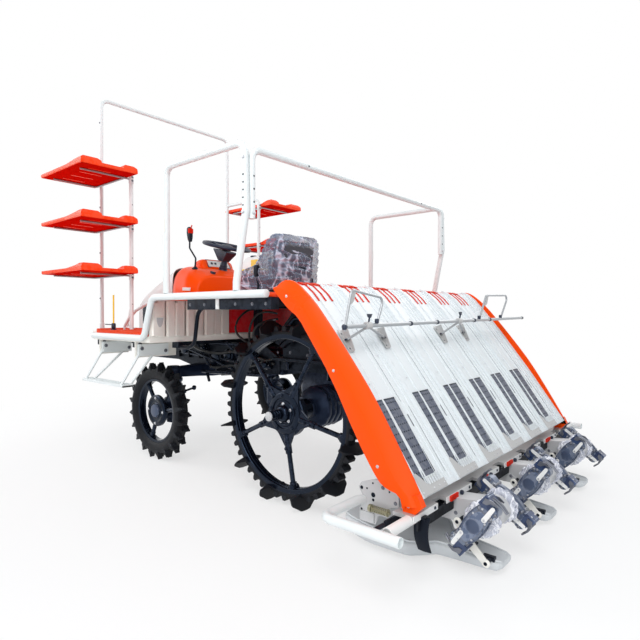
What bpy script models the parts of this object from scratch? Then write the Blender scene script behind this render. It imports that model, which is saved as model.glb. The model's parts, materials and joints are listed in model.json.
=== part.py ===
"""Six-row riding rice transplanter, metres, +Z up, nose towards -X.

Lengths along X are first measured from the rear axle. The whole machine hangs on one
empty that shifts it, so that the origin lies under the middle of its overall box.
"""

import math

import bmesh
import bpy
from mathutils import Matrix, Vector

# Overall places, measured from the rear axle
NOSE_TIP_X = -2.122
TAIL_TIP_X = 1.1909
ORIGIN_SHIFT_X = -(NOSE_TIP_X + TAIL_TIP_X) / 2
SEAT_GAP = 0.0003

# Wheels
FRONT_TRACK = 1.200
REAR_TRACK = 1.280
WHEELBASE = 1.2585
REAR_AXLE_Z = 0.475
REAR_RIM_OUTER = 0.425
REAR_RIM_INNER = 0.380
REAR_RIM_WIDTH = 0.060
REAR_LUG_RADIUS = 0.449
REAR_LUGS = 48
PADDLES = 12
PADDLE_START = math.radians(-75.0)
PADDLE_WIDTH = 0.176
PADDLE_TIP_THICK = 0.012
# The wheel stands on two paddles, half a pitch to each side of its lowest point
PADDLE_TILT = math.pi / PADDLES
PADDLE_TIP = (REAR_AXLE_Z - math.sin(PADDLE_TILT) * PADDLE_TIP_THICK / 2) / math.cos(PADDLE_TILT)
# Share of half width, inner radius, outer radius, thickness at the foot, thickness at the tip
PADDLE_SECTIONS = (
    (-1.0, 0.416, 0.450, 0.010, 0.006),
    (0.0, 0.400, PADDLE_TIP, 0.036, PADDLE_TIP_THICK),
    (1.0, 0.416, 0.450, 0.010, 0.006),
)
SPOKES = 5
SPOKE_START = math.radians(61.0)
SPOKE_RADIUS = 0.013
STAR_TIP = 0.190
STAR_WAIST = 0.112
STAR_OFFSET = 0.018
# Radius and distance from the middle of the machine
REAR_HUB_PROFILE = ((0.055, 0.500), (0.055, 0.612), (0.122, 0.618), (0.122, 0.652), (0.106, 0.671), (0.078, 0.671),
                    (0.072, 0.663), (0.046, 0.665), (0.040, 0.690), (0.026, 0.694), (0.026, 0.780))
FRONT_WHEEL_RADIUS = 0.325
FRONT_TYRE_RADIUS = 0.283
FRONT_TYRE_BULGE = 0.255
FRONT_TYRE_INNER = 0.214
FRONT_TYRE_WIDTH = 0.092
FRONT_LUGS = 20
FRONT_SPOKES = 3
FRONT_SPOKE_START = math.radians(7.0)
FRONT_HUB_PROFILE = ((0.048, 0.552), (0.048, 0.592), (0.106, 0.600), (0.106, 0.622), (0.084, 0.628), (0.070, 0.622),
                     (0.046, 0.624), (0.042, 0.640))

# Axles and steering
KINGPIN_Y = 0.480
KNUCKLE_TOP_Z = 0.418
KNUCKLE_RADIUS = 0.050
FRONT_AXLE_Z = 0.575
BELLOWS_RADIUS = 0.060
BELLOWS_RIBS = 3
DRUM_RADIUS = 0.115
DRUM_INNER_Y = 0.265
DRUM_OUTER_Y = 0.450
DRUM_RIBS = 4
AXLE_CASE_TOP_Z = 0.625

# Frame
RAIL_Y = 0.200
RAIL_WIDTH = 0.060
RAIL_BOTTOM_Z = 0.630
RAIL_TOP_Z = 0.700
FRAME_FRONT_X = -2.020
FRAME_REAR_X = 0.160
LINK_PLATE_Y = 0.118
LINK_PLATE_THICK = 0.012
OUTRIGGER_X = (-1.980, -1.450, -1.010)
STAY_Y = 0.750

# Decks
DECK_HALF_WIDTH = 0.9447
FRONT_DECK_X0 = -2.110
DECK_TAPER_X = -1.470
RISER_X = -0.800
FRONT_DECK_BOTTOM_Z = 0.815
FRONT_DECK_TOP_Z = 0.850
MAT_THICK = 0.018
REAR_DECK_BOTTOM_Z = 1.060
REAR_DECK_TOP_Z = 1.082
REAR_DECK_X1 = 0.190
PANEL_THICK = 0.010
FLUTE_DEPTH = 0.016
# Inner and outer edge of each flute, as shares of the deck's half width
FLUTES = ((0.428, 0.471), (0.513, 0.559), (0.613, 0.674), (0.784, 0.833), (0.897, 0.993))

# Cowl, hood and controls
COWL_X0 = -1.550
COWL_X1 = -1.180
COWL_HALF_WIDTH = 0.370
HOOD_HALF_WIDTH = 0.300
HOOD_WALL = 0.005
HOOD_HINGE = (NOSE_TIP_X, 0.0, FRONT_DECK_TOP_Z + SEAT_GAP)
# Place along X, half width, top, drop of the shoulder
COWL_SECTIONS = (
    (COWL_X0 + 0.004, 0.300, 1.330, 0.15),
    (-1.450, 0.345, 1.345, 0.16),
    (-1.300, COWL_HALF_WIDTH, 1.315, 0.17),
    (COWL_X1, 0.350, 1.255, 0.17),
)
STEERING_CENTRE = (-1.270, 0.0, 1.500)
STEERING_TILT = math.radians(15.0)
STEERING_RADIUS = 0.1875
STEERING_GRIP = 0.014
COLUMN_FOOT_RADIUS = 0.036
SEAT_PAN_Z = 1.135

# White tubes
TUBE_RADIUS = 0.019
SIDE_TUBE_Y = DECK_HALF_WIDTH + TUBE_RADIUS + SEAT_GAP
HOOP_TOP_Z = 1.774
HOOP_FRONT_X = -0.596
HOOP_REAR_X = 0.040
CROSS_HOOP_X = HOOP_REAR_X + 0.010
CROSS_HOOP_TOP_Z = 1.747
CROSS_HOOP_FOOT_Z = 1.424
HOOP_RADIUS = 0.018
CROSS_HOOP_RADIUS = 0.017
HOOP_FACET_SHARE = 0.962
UPPER_RAIL_Z = 1.075
LOWER_RAIL_Z = 0.842

# Seedling racks
RACK_Y = 0.617
RACK_POST_RADIUS = 0.014
RACK_FRONT_X = -2.020
RACK_REAR_X = -1.580
RACK_TOP_Z = 2.630
RACK_REAR_TOP_Z = 2.010
RACK_TRAY_Z = (1.262, 1.607, 1.952)
RACK_TRAY_NAMES = ("low", "mid", "high")
RACK_TRAY_X = (-2.075, -1.450)
RACK_TRAY_Y = (0.640, 1.035)
RACK_ROD_RADIUS = 0.008

# Lift linkage
LINK_LENGTH = 0.500
LINK_REST = math.radians(-35.0)
UPPER_PIVOT = (0.120, 0.0, 0.720)
LOWER_PIVOT = (0.120, 0.0, 0.520)
CRANK_RADIUS = 0.120
CRANK_REST = math.radians(60.0)
CYLINDER_PIVOT = (-0.400, 0.0, 0.800)
PIN_SIDES = 10
FRAME_PIN_RADIUS = 0.014
PLANTER_PIN_RADIUS = 0.0125
CYLINDER_PIN_RADIUS = 0.012
ROD_RADIUS = 0.016

# Planting section
# The tray's sheet from its front lip over the top to its foot, X and Z
TRAY_LINE = ((0.262, 1.122), (0.300, 1.110), (0.345, 1.075), (0.405, 1.008), (0.519, 0.872), (0.718, 0.612),
             (0.926, 0.318))
TRAY_HALF_WIDTH = 0.885
TRAY_CENTRE_Y = -0.030
TRAY_THICK = 0.014
TRAY_SIDE_WIDTH = 0.042
LANES = 6
LANE_PITCH = 0.300
ROW_PITCH = 0.300
GUIDE_HALF_LENGTH = 1.100
GUIDE_BOTTOM_Z = 0.262
GUIDE_TOP_Z = 0.276
SUPPORT_HALF = 0.720
SUPPORT_RADIUS = 0.018
ROTOR_AXIS = (1.060, 0.220)
ROTOR_REACH = 0.140
ROTOR_SHAFT_RADIUS = 0.018
CASE_HALF = 0.045
PRESS_ROD_ENDS = ((0.575, -0.900, 0.933), (0.600, 1.060, 0.958))
# Clamp place and its top, then the hoop's points across and up
PRESS_HOOPS = (
    ((-0.674, 0.014), ((-0.910, 0.915), (-0.863, 1.082), (-0.628, 1.055), (-0.680, 0.938))),
    ((0.621, 0.014), ((0.362, 0.949), (0.462, 1.096), (0.824, 1.106), (0.690, 0.953))),
)
CASE_Y = (-0.600, 0.0, 0.600)
CASE_NAMES = ("left", "centre", "right")
BEAM_X = 0.730
BEAM_Z = 0.225
BEAM_SIZE = 0.060
FLOAT_BOTTOM_Z = 0.020
FLOAT_LINK = ((0.966, 0.189), (1.079, 0.063))
FLOAT_LINK_Y = 0.100
GUARD_Y = GUIDE_HALF_LENGTH + 0.020
GUARD_Z = 0.250

# Finishes: colour, roughness, metallic
FINISHES = {
    "black_paint": ((0.035, 0.038, 0.045), 0.45, 0.3),
    "white_tube": ((0.85, 0.86, 0.87), 0.30, 0.0),
    "cream_plastic": ((0.80, 0.78, 0.72), 0.45, 0.0),
    "orange_paint": ((0.90, 0.13, 0.02), 0.35, 0.0),
    "hood_grey": ((0.72, 0.73, 0.74), 0.35, 0.0),
    "tyre_rubber": ((0.030, 0.032, 0.036), 0.75, 0.0),
    "seat_cloth": ((0.045, 0.050, 0.060), 0.60, 0.0),
    "tray_metal": ((0.70, 0.72, 0.74), 0.35, 0.6),
    "bare_steel": ((0.45, 0.46, 0.48), 0.35, 0.9),
    "float_plastic": ((0.70, 0.72, 0.73), 0.50, 0.0),
    "cast_grey": ((0.22, 0.26, 0.33), 0.50, 0.5),
}


for old in list(bpy.data.objects):
    bpy.data.objects.remove(old)

MATERIALS = {}
for finish_name, (colour, roughness, metallic) in FINISHES.items():
    material = bpy.data.materials.new(finish_name)
    material.use_nodes = True
    shader = material.node_tree.nodes["Principled BSDF"]
    shader.inputs["Base Color"].default_value = (*colour, 1.0)
    shader.inputs["Roughness"].default_value = roughness
    shader.inputs["Metallic"].default_value = metallic
    MATERIALS[finish_name] = material

MACHINE = bpy.data.objects.new("machine", None)
MACHINE.location.x = ORIGIN_SHIFT_X
bpy.context.scene.collection.objects.link(MACHINE)


def add_object(name, bm, finish, origin):
    """Put a closed mesh under the machine with its origin at the given place."""
    bmesh.ops.recalc_face_normals(bm, faces=bm.faces)
    bmesh.ops.translate(bm, verts=bm.verts, vec=-Vector(origin))
    mesh = bpy.data.meshes.new(name)
    bm.to_mesh(mesh)
    bm.free()
    obj = bpy.data.objects.new(name, mesh)
    obj.location = origin
    obj.parent = MACHINE
    mesh.materials.append(MATERIALS[finish])
    bpy.context.scene.collection.objects.link(obj)
    return obj


class Piece:
    """One sub-part: a first solid, the solids fused to it, and the solids cut from it."""

    def __init__(self, name, finish, origin=(0.0, 0.0, 0.0)):
        self.name = name
        self.finish = finish
        self.origin = origin
        self.base = bmesh.new()
        self.fused = bmesh.new()
        self.cuts = bmesh.new()

    def solid(self):
        """Mesh that takes the next solid: the first one is the base."""
        return self.fused if self.base.verts else self.base

    def make(self):
        obj = add_object(self.name, self.base, self.finish, self.origin)
        for bm, operation, suffix in ((self.fused, "UNION", "fused"), (self.cuts, "DIFFERENCE", "cuts")):
            if not bm.verts:
                bm.free()
                continue
            tool = add_object(self.name + "." + suffix, bm, self.finish, self.origin)
            tool.hide_render = True
            tool.display_type = "WIRE"
            boolean = obj.modifiers.new(suffix, "BOOLEAN")
            boolean.object = tool
            boolean.operation = operation
            boolean.solver = "EXACT"
            boolean.use_self = True
        return obj


def box(bm, x0, x1, y0, y1, z0, z1):
    """Block between two corners."""
    loft(bm, [[(x, y0, z0), (x, y1, z0), (x, y1, z1), (x, y0, z1)] for x in (x0, x1)])


def loft(bm, sections, closed_ends=True, closed_loops=True):
    """Skin over sections with equal numbers of points."""
    rows = [[bm.verts.new(point) for point in section] for section in sections]
    count = len(rows[0])
    for low, high in zip(rows, rows[1:]):
        for i in range(count if closed_loops else count - 1):
            j = (i + 1) % count
            bm.faces.new((low[i], low[j], high[j], high[i]))
    if closed_ends:
        bm.faces.new(rows[0])
        bm.faces.new(rows[-1])


def plate_y(bm, outline, y0, y1):
    """Outline of (x, z) points, extruded along Y."""
    loft(bm, [[(x, y, z) for x, z in outline] for y in (y0, y1)])


def plate_x(bm, outline, x0, x1):
    """Outline of (y, z) points, extruded along X."""
    loft(bm, [[(x, y, z) for y, z in outline] for x in (x0, x1)])


def plate_z(bm, outline, z0, z1):
    """Outline of (x, y) points, extruded along Z."""
    loft(bm, [[(x, y, z) for x, y in outline] for z in (z0, z1)])


def rounded(points, radius, steps=3):
    """Open polyline whose inner corners become arcs of one bend radius."""
    points = [Vector(p) for p in points]
    result = [points[0]]
    for before, corner, after in zip(points, points[1:], points[2:]):
        back = (before - corner).normalized()
        ahead = (after - corner).normalized()
        half = back.angle(ahead) / 2
        if half > math.radians(88):
            result.append(corner)
            continue
        room = 0.49 * min((before - corner).length, (after - corner).length)
        reach = min(radius / math.tan(half), room)
        arc_radius = reach * math.tan(half)
        centre = corner + (back + ahead).normalized() * (arc_radius / math.sin(half))
        start = (corner + back * reach - centre).normalized()
        end = (corner + ahead * reach - centre).normalized()
        for k in range(steps + 1):
            result.append(centre + start.slerp(end, k / steps) * arc_radius)
    result.append(points[-1])
    return result


def tube(bm, points, radius, bend=0.06, sides=8, steps=2):
    """Round bar along a polyline with bent corners."""
    path = rounded(points, bend, steps)
    tangents = []
    for i in range(len(path)):
        tangents.append((path[min(i + 1, len(path) - 1)] - path[max(i - 1, 0)]).normalized())
    side = tangents[0].orthogonal().normalized()
    sections = []
    for point, tangent in zip(path, tangents):
        side = (side - tangent * side.dot(tangent)).normalized()
        up = tangent.cross(side)
        ring_points = []
        for k in range(sides):
            angle = 2 * math.pi * (k + 0.5) / sides
            ring_points.append(point + (side * math.cos(angle) + up * math.sin(angle)) * radius)
        sections.append(ring_points)
    loft(bm, sections)


def disc_y(bm, centre, radius, y0, y1, sides=16):
    """Round disc about an axis along Y through (x, z)."""
    outline = []
    for k in range(sides):
        angle = 2 * math.pi * (k + 0.5) / sides
        outline.append((centre[0] + radius * math.cos(angle), centre[1] + radius * math.sin(angle)))
    plate_y(bm, outline, y0, y1)


def ring_y(bm, centre, profile, sides, turn=0.0):
    """Ring about Y: a closed profile of (radius, y) turned round (x, z). Returns its faces."""
    rows = []
    for i in range(sides):
        angle = turn + 2 * math.pi * i / sides
        cos, sin = math.cos(angle), math.sin(angle)
        rows.append([bm.verts.new((centre[0] + r * cos, y, centre[1] + r * sin)) for r, y in profile])
    faces = []
    count = len(profile)
    for i in range(sides):
        after = rows[(i + 1) % sides]
        strip = []
        for j in range(count):
            k = (j + 1) % count
            strip.append(bm.faces.new((rows[i][j], rows[i][k], after[k], after[j])))
        faces.append(strip)
    return faces


def turned_y(bm, centre, profile, sides):
    """Solid of revolution about Y through (x, z), from a profile of (radius, y) with capped ends."""
    sections = []
    for r, y in profile:
        section = []
        for k in range(sides):
            angle = 2 * math.pi * (k + 0.5) / sides
            section.append((centre[0] + r * math.cos(angle), y, centre[1] + r * math.sin(angle)))
        sections.append(section)
    loft(bm, sections)


def raise_lugs(bm, faces, centre, tip_radius, taper_round, taper_across):
    """Push each face outwards to the tip radius and draw its top in, round the tyre and across it."""
    axle = Vector((centre[0], 0.0, centre[1]))
    for face in bmesh.ops.extrude_discrete_faces(bm, faces=faces)["faces"]:
        middle = face.calc_center_median()
        outward = middle - axle
        outward.y = 0.0
        height = tip_radius - outward.length
        outward.normalize()
        for vert in face.verts:
            aside = vert.co - middle
            across = aside.y * taper_across
            aside *= taper_round
            aside.y = across
            vert.co = middle + aside + outward * height


def ribbon(points, thickness):
    """Closed outline of a sheet that follows (x, z) points and hangs below them."""
    points = [Vector((x, z)) for x, z in points]
    lower = []
    for i, point in enumerate(points):
        ahead = (points[min(i + 1, len(points) - 1)] - points[max(i - 1, 0)]).normalized()
        lower.append(point + Vector((-ahead.y, ahead.x)) * -thickness)
    return [tuple(p) for p in points] + [tuple(p) for p in reversed(lower)]


def mirror_y(points, side):
    """Points with their Y turned to the side, -1 left and +1 right."""
    return [(x, side * abs(y) if y else 0.0, z) for x, y, z in points]


def span(side, y0, y1):
    """Y range on one side, low end first."""
    return sorted((side * y0, side * y1))


SIDES = (("left", -1), ("right", 1))


def bore_radius(shaft, sides):
    """Radius of a faceted bore whose flats clear a faceted shaft by the seat gap at any turn."""
    return (shaft + SEAT_GAP) / math.cos(math.pi / sides)


def make_rear_wheel(name, side):
    """Rim band with small lugs and wide wedge paddles, five tube spokes on a star flange, hub and stub."""
    centre = (0.0, REAR_AXLE_Z)
    ring_place = side * REAR_TRACK / 2
    hub = Vector((0.0, ring_place, REAR_AXLE_Z))
    piece = Piece(name, "tyre_rubber", tuple(hub))
    half = REAR_RIM_WIDTH / 2
    profile = ((REAR_RIM_INNER, ring_place - half * 0.8), (REAR_RIM_OUTER, ring_place - half),
               (REAR_RIM_OUTER, ring_place + half), (REAR_RIM_INNER, ring_place + half * 0.8))
    faces = ring_y(piece.solid(), centre, profile, REAR_LUGS, -math.pi / REAR_LUGS)
    step = REAR_LUGS // PADDLES
    first = round(PADDLE_START * REAR_LUGS / (2 * math.pi))
    lugs = [faces[k][1] for k in range(REAR_LUGS) if (k - first) % step]
    raise_lugs(piece.base, lugs, centre, REAR_LUG_RADIUS, 0.45, 0.95)
    for k in range(PADDLES):
        angle = PADDLE_START + 2 * math.pi * k / PADDLES
        out = Vector((math.cos(angle), 0.0, math.sin(angle)))
        along = Vector((-out.z, 0.0, out.x))
        sections = []
        for across, inner, outer, base, tip in PADDLE_SECTIONS:
            middle = hub + Vector((0.0, across * PADDLE_WIDTH / 2, 0.0))
            sections.append([middle + out * inner - along * base / 2, middle + out * inner + along * base / 2,
                             middle + out * outer + along * tip / 2, middle + out * outer - along * tip / 2])
        loft(piece.solid(), sections)
    flange = hub + Vector((0.0, side * STAR_OFFSET, 0.0))
    for k in range(SPOKES):
        angle = SPOKE_START + 2 * math.pi * k / SPOKES
        out = Vector((math.cos(angle), 0.0, math.sin(angle)))
        tube(piece.solid(), [flange + out * 0.11, hub + out * (REAR_RIM_INNER + 0.012)], SPOKE_RADIUS, sides=7)
    star = []
    for k in range(SPOKES):
        for share in (0.0, 0.09, 0.25, 0.50, 0.75, 0.91):
            angle = SPOKE_START + 2 * math.pi * (k + share) / SPOKES
            reach = STAR_WAIST + (STAR_TIP - STAR_WAIST) * (2 * share - 1) ** 2
            star.append((reach * math.cos(angle), REAR_AXLE_Z + reach * math.sin(angle)))
    plate_y(piece.solid(), star, *span(side, abs(flange.y) - 0.006, abs(flange.y) + 0.006))
    turned_y(piece.solid(), centre, [(r, side * y) for r, y in REAR_HUB_PROFILE], 14)
    return piece.make()


def make_front_wheel(name, side):
    """Tyre with tall pointed lugs in two staggered rows, three tube spokes and a dished hub disc."""
    centre = (-WHEELBASE, FRONT_WHEEL_RADIUS)
    middle = side * FRONT_TRACK / 2
    hub = Vector((-WHEELBASE, middle, FRONT_WHEEL_RADIUS))
    piece = Piece(name, "tyre_rubber", tuple(hub))
    half = FRONT_TYRE_WIDTH / 2
    profile = ((FRONT_TYRE_INNER, middle - 0.55 * half), (FRONT_TYRE_BULGE, middle - half),
               (FRONT_TYRE_RADIUS, middle - 0.85 * half), (FRONT_TYRE_RADIUS, middle),
               (FRONT_TYRE_RADIUS, middle + 0.85 * half), (FRONT_TYRE_BULGE, middle + half),
               (FRONT_TYRE_INNER, middle + 0.55 * half))
    faces = ring_y(piece.solid(), centre, profile, 2 * FRONT_LUGS, math.pi / (2 * FRONT_LUGS))
    lugs = [strip[2] for strip in faces[::2]] + [strip[3] for strip in faces[1::2]]
    raise_lugs(piece.base, lugs, centre, FRONT_WHEEL_RADIUS, 0.25, 0.85)
    for k in range(FRONT_SPOKES):
        angle = FRONT_SPOKE_START + 2 * math.pi * k / FRONT_SPOKES
        out = Vector((math.cos(angle), 0.0, math.sin(angle)))
        tube(piece.solid(), [hub + out * 0.05, hub + out * (FRONT_TYRE_INNER + 0.012)], 0.014, sides=7)
    turned_y(piece.solid(), centre, [(r, side * y) for r, y in FRONT_HUB_PROFILE], 14)
    return piece.make()


def make_knuckle(name, side):
    """Final case under the kingpin, with its round gear case behind the wheel and the steering arm."""
    y = side * KINGPIN_Y
    piece = Piece(name, "black_paint", (-WHEELBASE, y, FRONT_WHEEL_RADIUS))
    tube(piece.solid(), [(-WHEELBASE, y, 0.232), (-WHEELBASE, y, KNUCKLE_TOP_Z)], KNUCKLE_RADIUS, sides=12)
    profile = ((0.060, KINGPIN_Y), (0.086, KINGPIN_Y + 0.012), (0.086, KINGPIN_Y + 0.046),
               (0.066, KINGPIN_Y + 0.058), (0.050, FRONT_HUB_PROFILE[0][1] - SEAT_GAP))
    turned_y(piece.solid(), (-WHEELBASE, FRONT_WHEEL_RADIUS), [(r, side * place) for r, place in profile], 14)
    y0, y1 = span(side, KINGPIN_Y - 0.030, KINGPIN_Y)
    box(piece.solid(), -WHEELBASE, -WHEELBASE + 0.125, y0, y1, KNUCKLE_TOP_Z - 0.050, KNUCKLE_TOP_Z - 0.032)
    return piece.make()


def make_front_axle():
    """Portal axle under the frame; each end turns down into a ribbed kingpin boss."""
    piece = Piece("front_axle", "black_paint")
    x = -WHEELBASE
    loft(piece.solid(), [[(x + a * w, y, FRONT_AXLE_Z + b * h) for a, b in ((-1, -1), (1, -1), (1, 1), (-1, 1))]
                         for y, w, h in ((-KINGPIN_Y, 0.040, 0.032), (-0.30, 0.045, 0.040), (-0.20, 0.080, 0.045),
                                         (0.20, 0.080, 0.045), (0.30, 0.045, 0.040), (KINGPIN_Y, 0.040, 0.032))])
    foot = KNUCKLE_TOP_Z + SEAT_GAP
    pitch = (FRONT_AXLE_Z - 0.030 - foot) / BELLOWS_RIBS
    for side in (-1, 1):
        sections = []
        for k in range(BELLOWS_RIBS):
            for share, radius in ((0.0, 0.050), (0.3, BELLOWS_RADIUS), (0.7, BELLOWS_RADIUS)):
                sections.append((foot + (k + share) * pitch, radius))
        sections += [(FRONT_AXLE_Z - 0.030, 0.050), (FRONT_AXLE_Z + 0.030, 0.054), (FRONT_AXLE_Z + 0.045, 0.035)]
        rows = []
        for z, radius in sections:
            row = []
            for j in range(10):
                turn = 2 * math.pi * (j + 0.5) / 10
                row.append((x + radius * math.cos(turn), side * KINGPIN_Y + radius * math.sin(turn), z))
            rows.append(row)
        loft(piece.solid(), rows)
    return piece.make()


def make_rear_axle():
    """Gear case, axle tube and ribbed final-drive drums with a rounded inner end."""
    piece = Piece("rear_axle", "black_paint")
    z = REAR_AXLE_Z
    tube(piece.solid(), [(0, -0.30, z), (0, 0.30, z)], 0.058, sides=12)
    case = []
    for x, half, z0, z1 in ((-0.40, 0.105, 0.50, 0.600), (-0.34, 0.150, 0.42, AXLE_CASE_TOP_Z),
                            (-0.12, 0.165, 0.372, AXLE_CASE_TOP_Z), (0.040, 0.165, 0.372, 0.600), (0.072, 0.105, 0.430, 0.560)):
        case.append([(x, -half, z0 + 0.03), (x, -half + 0.04, z0), (x, half - 0.04, z0), (x, half, z0 + 0.03),
                     (x, half, z1), (x, -half, z1)])
    loft(piece.solid(), case)
    for side in (-1, 1):
        profile = [(0.070, side * (DRUM_INNER_Y - 0.010)), (0.098, side * (DRUM_INNER_Y + 0.006))]
        step = (DRUM_OUTER_Y - DRUM_INNER_Y - 0.02) / (2 * DRUM_RIBS)
        for k in range(DRUM_RIBS):
            y = DRUM_INNER_Y + 0.02 + 2 * k * step
            profile += [(DRUM_RADIUS, side * (y + 0.3 * step)), (DRUM_RADIUS, side * (y + 1.2 * step)),
                        (DRUM_RADIUS - 0.012, side * (y + 1.6 * step))]
        profile += [(0.078, side * (DRUM_OUTER_Y + 0.012)), (0.052, side * (DRUM_OUTER_Y + 0.018)),
                    (0.052, side * (REAR_HUB_PROFILE[0][1] - SEAT_GAP))]
        turned_y(piece.solid(), (0, z), profile, 12)
        y0, y1 = span(side, RAIL_Y - 0.025, RAIL_Y + 0.025)
        box(piece.solid(), -0.045, 0.045, y0, y1, z, RAIL_BOTTOM_Z - SEAT_GAP)
    return piece.make()


def make_main_frame():
    """Two rails, cross members, deck posts and the plates that carry the lift links and cylinder."""
    piece = Piece("main_frame", "black_paint")
    for side in (-1, 1):
        y0, y1 = span(side, RAIL_Y - RAIL_WIDTH / 2, RAIL_Y + RAIL_WIDTH / 2)
        box(piece.solid(), FRAME_FRONT_X, FRAME_REAR_X, y0, y1, RAIL_BOTTOM_Z, RAIL_TOP_Z)
        y0, y1 = span(side, LINK_PLATE_Y, LINK_PLATE_Y + LINK_PLATE_THICK)
        box(piece.solid(), 0.105, FRAME_REAR_X, *span(side, LINK_PLATE_Y, RAIL_Y), RAIL_BOTTOM_Z + 0.01, RAIL_TOP_Z - 0.01)
        plate_y(piece.solid(), [(0.085, 0.485), (0.155, 0.485), (0.155, 0.755), (0.085, 0.755)], y0, y1)
        y0, y1 = span(side, 0.034, 0.044)
        plate_y(piece.solid(), [(-0.45, 0.64), (-0.35, 0.64), (-0.37, 0.83), (-0.43, 0.83)], y0, y1)
    for x in (-1.98, -0.93, -0.44, -0.36):
        box(piece.solid(), x - 0.025, x + 0.025, -RAIL_Y, RAIL_Y, RAIL_BOTTOM_Z + 0.005, RAIL_TOP_Z - 0.005)
    box(piece.solid(), -WHEELBASE - 0.09, -WHEELBASE + 0.09, -RAIL_Y, RAIL_Y, FRONT_AXLE_Z + 0.0453, RAIL_BOTTOM_Z + 0.02)
    for pivot in (UPPER_PIVOT, LOWER_PIVOT):
        disc_y(piece.solid(), (pivot[0], pivot[2]), FRAME_PIN_RADIUS, -LINK_PLATE_Y - 0.006, LINK_PLATE_Y + 0.006, PIN_SIDES)
    disc_y(piece.solid(), (CYLINDER_PIVOT[0], CYLINDER_PIVOT[2]), CYLINDER_PIN_RADIUS, -0.040, 0.040, PIN_SIDES)
    return piece.make()


def make_outriggers():
    """Cross beams and posts that carry the front deck, and those under the rear deck with its bent stays."""
    front = Piece("front_outriggers", "black_paint")
    top = FRONT_DECK_BOTTOM_Z - SEAT_GAP
    reach = DECK_HALF_WIDTH - 0.025
    foot = RAIL_TOP_Z + SEAT_GAP
    for side in (-1, 1):
        y0, y1 = span(side, RAIL_Y - 0.02, RAIL_Y + 0.02)
        for x in OUTRIGGER_X:
            box(front.solid(), x - 0.02, x + 0.02, y0, y1, foot, top)
        box(front.solid(), OUTRIGGER_X[0], OUTRIGGER_X[-1], *span(side, 0.53, 0.57), top - 0.030, top - 0.004)
    for x in OUTRIGGER_X:
        half = reach if x > DECK_TAPER_X else RACK_Y + 0.045
        box(front.solid(), x - 0.02, x + 0.02, -half, half, top - 0.035, top)
    front.make()
    rear = Piece("rear_outriggers", "black_paint")
    top = REAR_DECK_BOTTOM_Z - SEAT_GAP
    for side in (-1, 1):
        for x in (-0.70, 0.13):
            box(rear.solid(), x - 0.022, x + 0.022, *span(side, RAIL_Y - 0.022, RAIL_Y + 0.022), foot, top - 0.01)
        y0, y1 = span(side, reach - 0.034, reach + 0.016)
        box(rear.solid(), -0.447, 0.185, y0, y1, top - 0.055, top)
        y = side * STAY_Y
        tube(rear.solid(), [(-0.36, y, 1.024), (-0.559, y, 1.024), (-0.611, y, 0.986), (-0.644, y, 0.805),
                            (-0.700, y, 0.784), (-0.800, y, 0.784)], 0.012, 0.05, sides=6, steps=2)
        box(rear.solid(), -0.845, -0.780, y - 0.016, y + 0.016, 0.778, FRONT_DECK_BOTTOM_Z - SEAT_GAP)
        box(rear.solid(), -0.70, 0.13, *span(side, RAIL_Y - 0.02, RAIL_Y + 0.02), top - 0.040, top - 0.005)
    for x in (-0.70, -0.40, 0.13):
        half = reach if x > -0.5 else 0.55
        box(rear.solid(), x - 0.02, x + 0.02, -half, half, top - 0.040, top)
    rear.make()


def make_transmission():
    """Gear housing between and above the rails, with its side covers and the shaft housing behind it."""
    piece = Piece("transmission_case", "cast_grey")
    z0 = RAIL_TOP_Z + SEAT_GAP
    axle_x = -WHEELBASE
    rear_x = -0.50
    sections = []
    for x, half, top in ((axle_x - 0.3565, 0.13, 0.755), (axle_x - 0.3015, 0.17, 0.775), (axle_x + 0.2285, 0.17, 0.775),
                         (axle_x + 0.2785, 0.12, 0.755), (rear_x, 0.11, 0.745)):
        sections.append([(x, -half, z0), (x, half, z0), (x, half, top - 0.03), (x, half - 0.03, top),
                         (x, -half + 0.03, top), (x, -half, top - 0.03)])
    loft(piece.solid(), sections)
    inner = RAIL_Y - RAIL_WIDTH / 2 - SEAT_GAP
    box(piece.solid(), axle_x + 0.0985, axle_x + 0.2985, -inner, inner, RAIL_BOTTOM_Z - 0.075, z0 + 0.02)
    box(piece.solid(), axle_x + 0.3585, rear_x, -inner, inner, RAIL_BOTTOM_Z - 0.045, z0 + 0.02)
    for side in (-1, 1):
        for x, rise, profile in ((axle_x - 0.0515, 0.052, ((0.050, 0.160), (0.050, 0.205), (0.038, 0.215))),
                                 (axle_x + 0.1085, 0.046, ((0.044, 0.160), (0.044, 0.200), (0.028, 0.214)))):
            turned_y(piece.solid(), (x, z0 + rise), [(r, side * y) for r, y in profile], 12)
    return piece.make()


def make_engine():
    piece = Piece("engine_block", "cast_grey")
    box(piece.solid(), -1.95, -1.64, -0.19, 0.19, RAIL_TOP_Z + SEAT_GAP, 1.02)
    return piece.make()


def deck_corners(inset):
    """Corners of the front deck's right half from the riser forward, drawn in by the inset: it narrows to the racks."""
    w = DECK_HALF_WIDTH - inset
    return [(RISER_X - inset * 0.6, w), (DECK_TAPER_X, w), (RACK_FRONT_X + inset, RACK_Y + 0.073 - inset),
            (FRONT_DECK_X0 + inset, RACK_Y - 0.03 - inset)]


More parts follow.
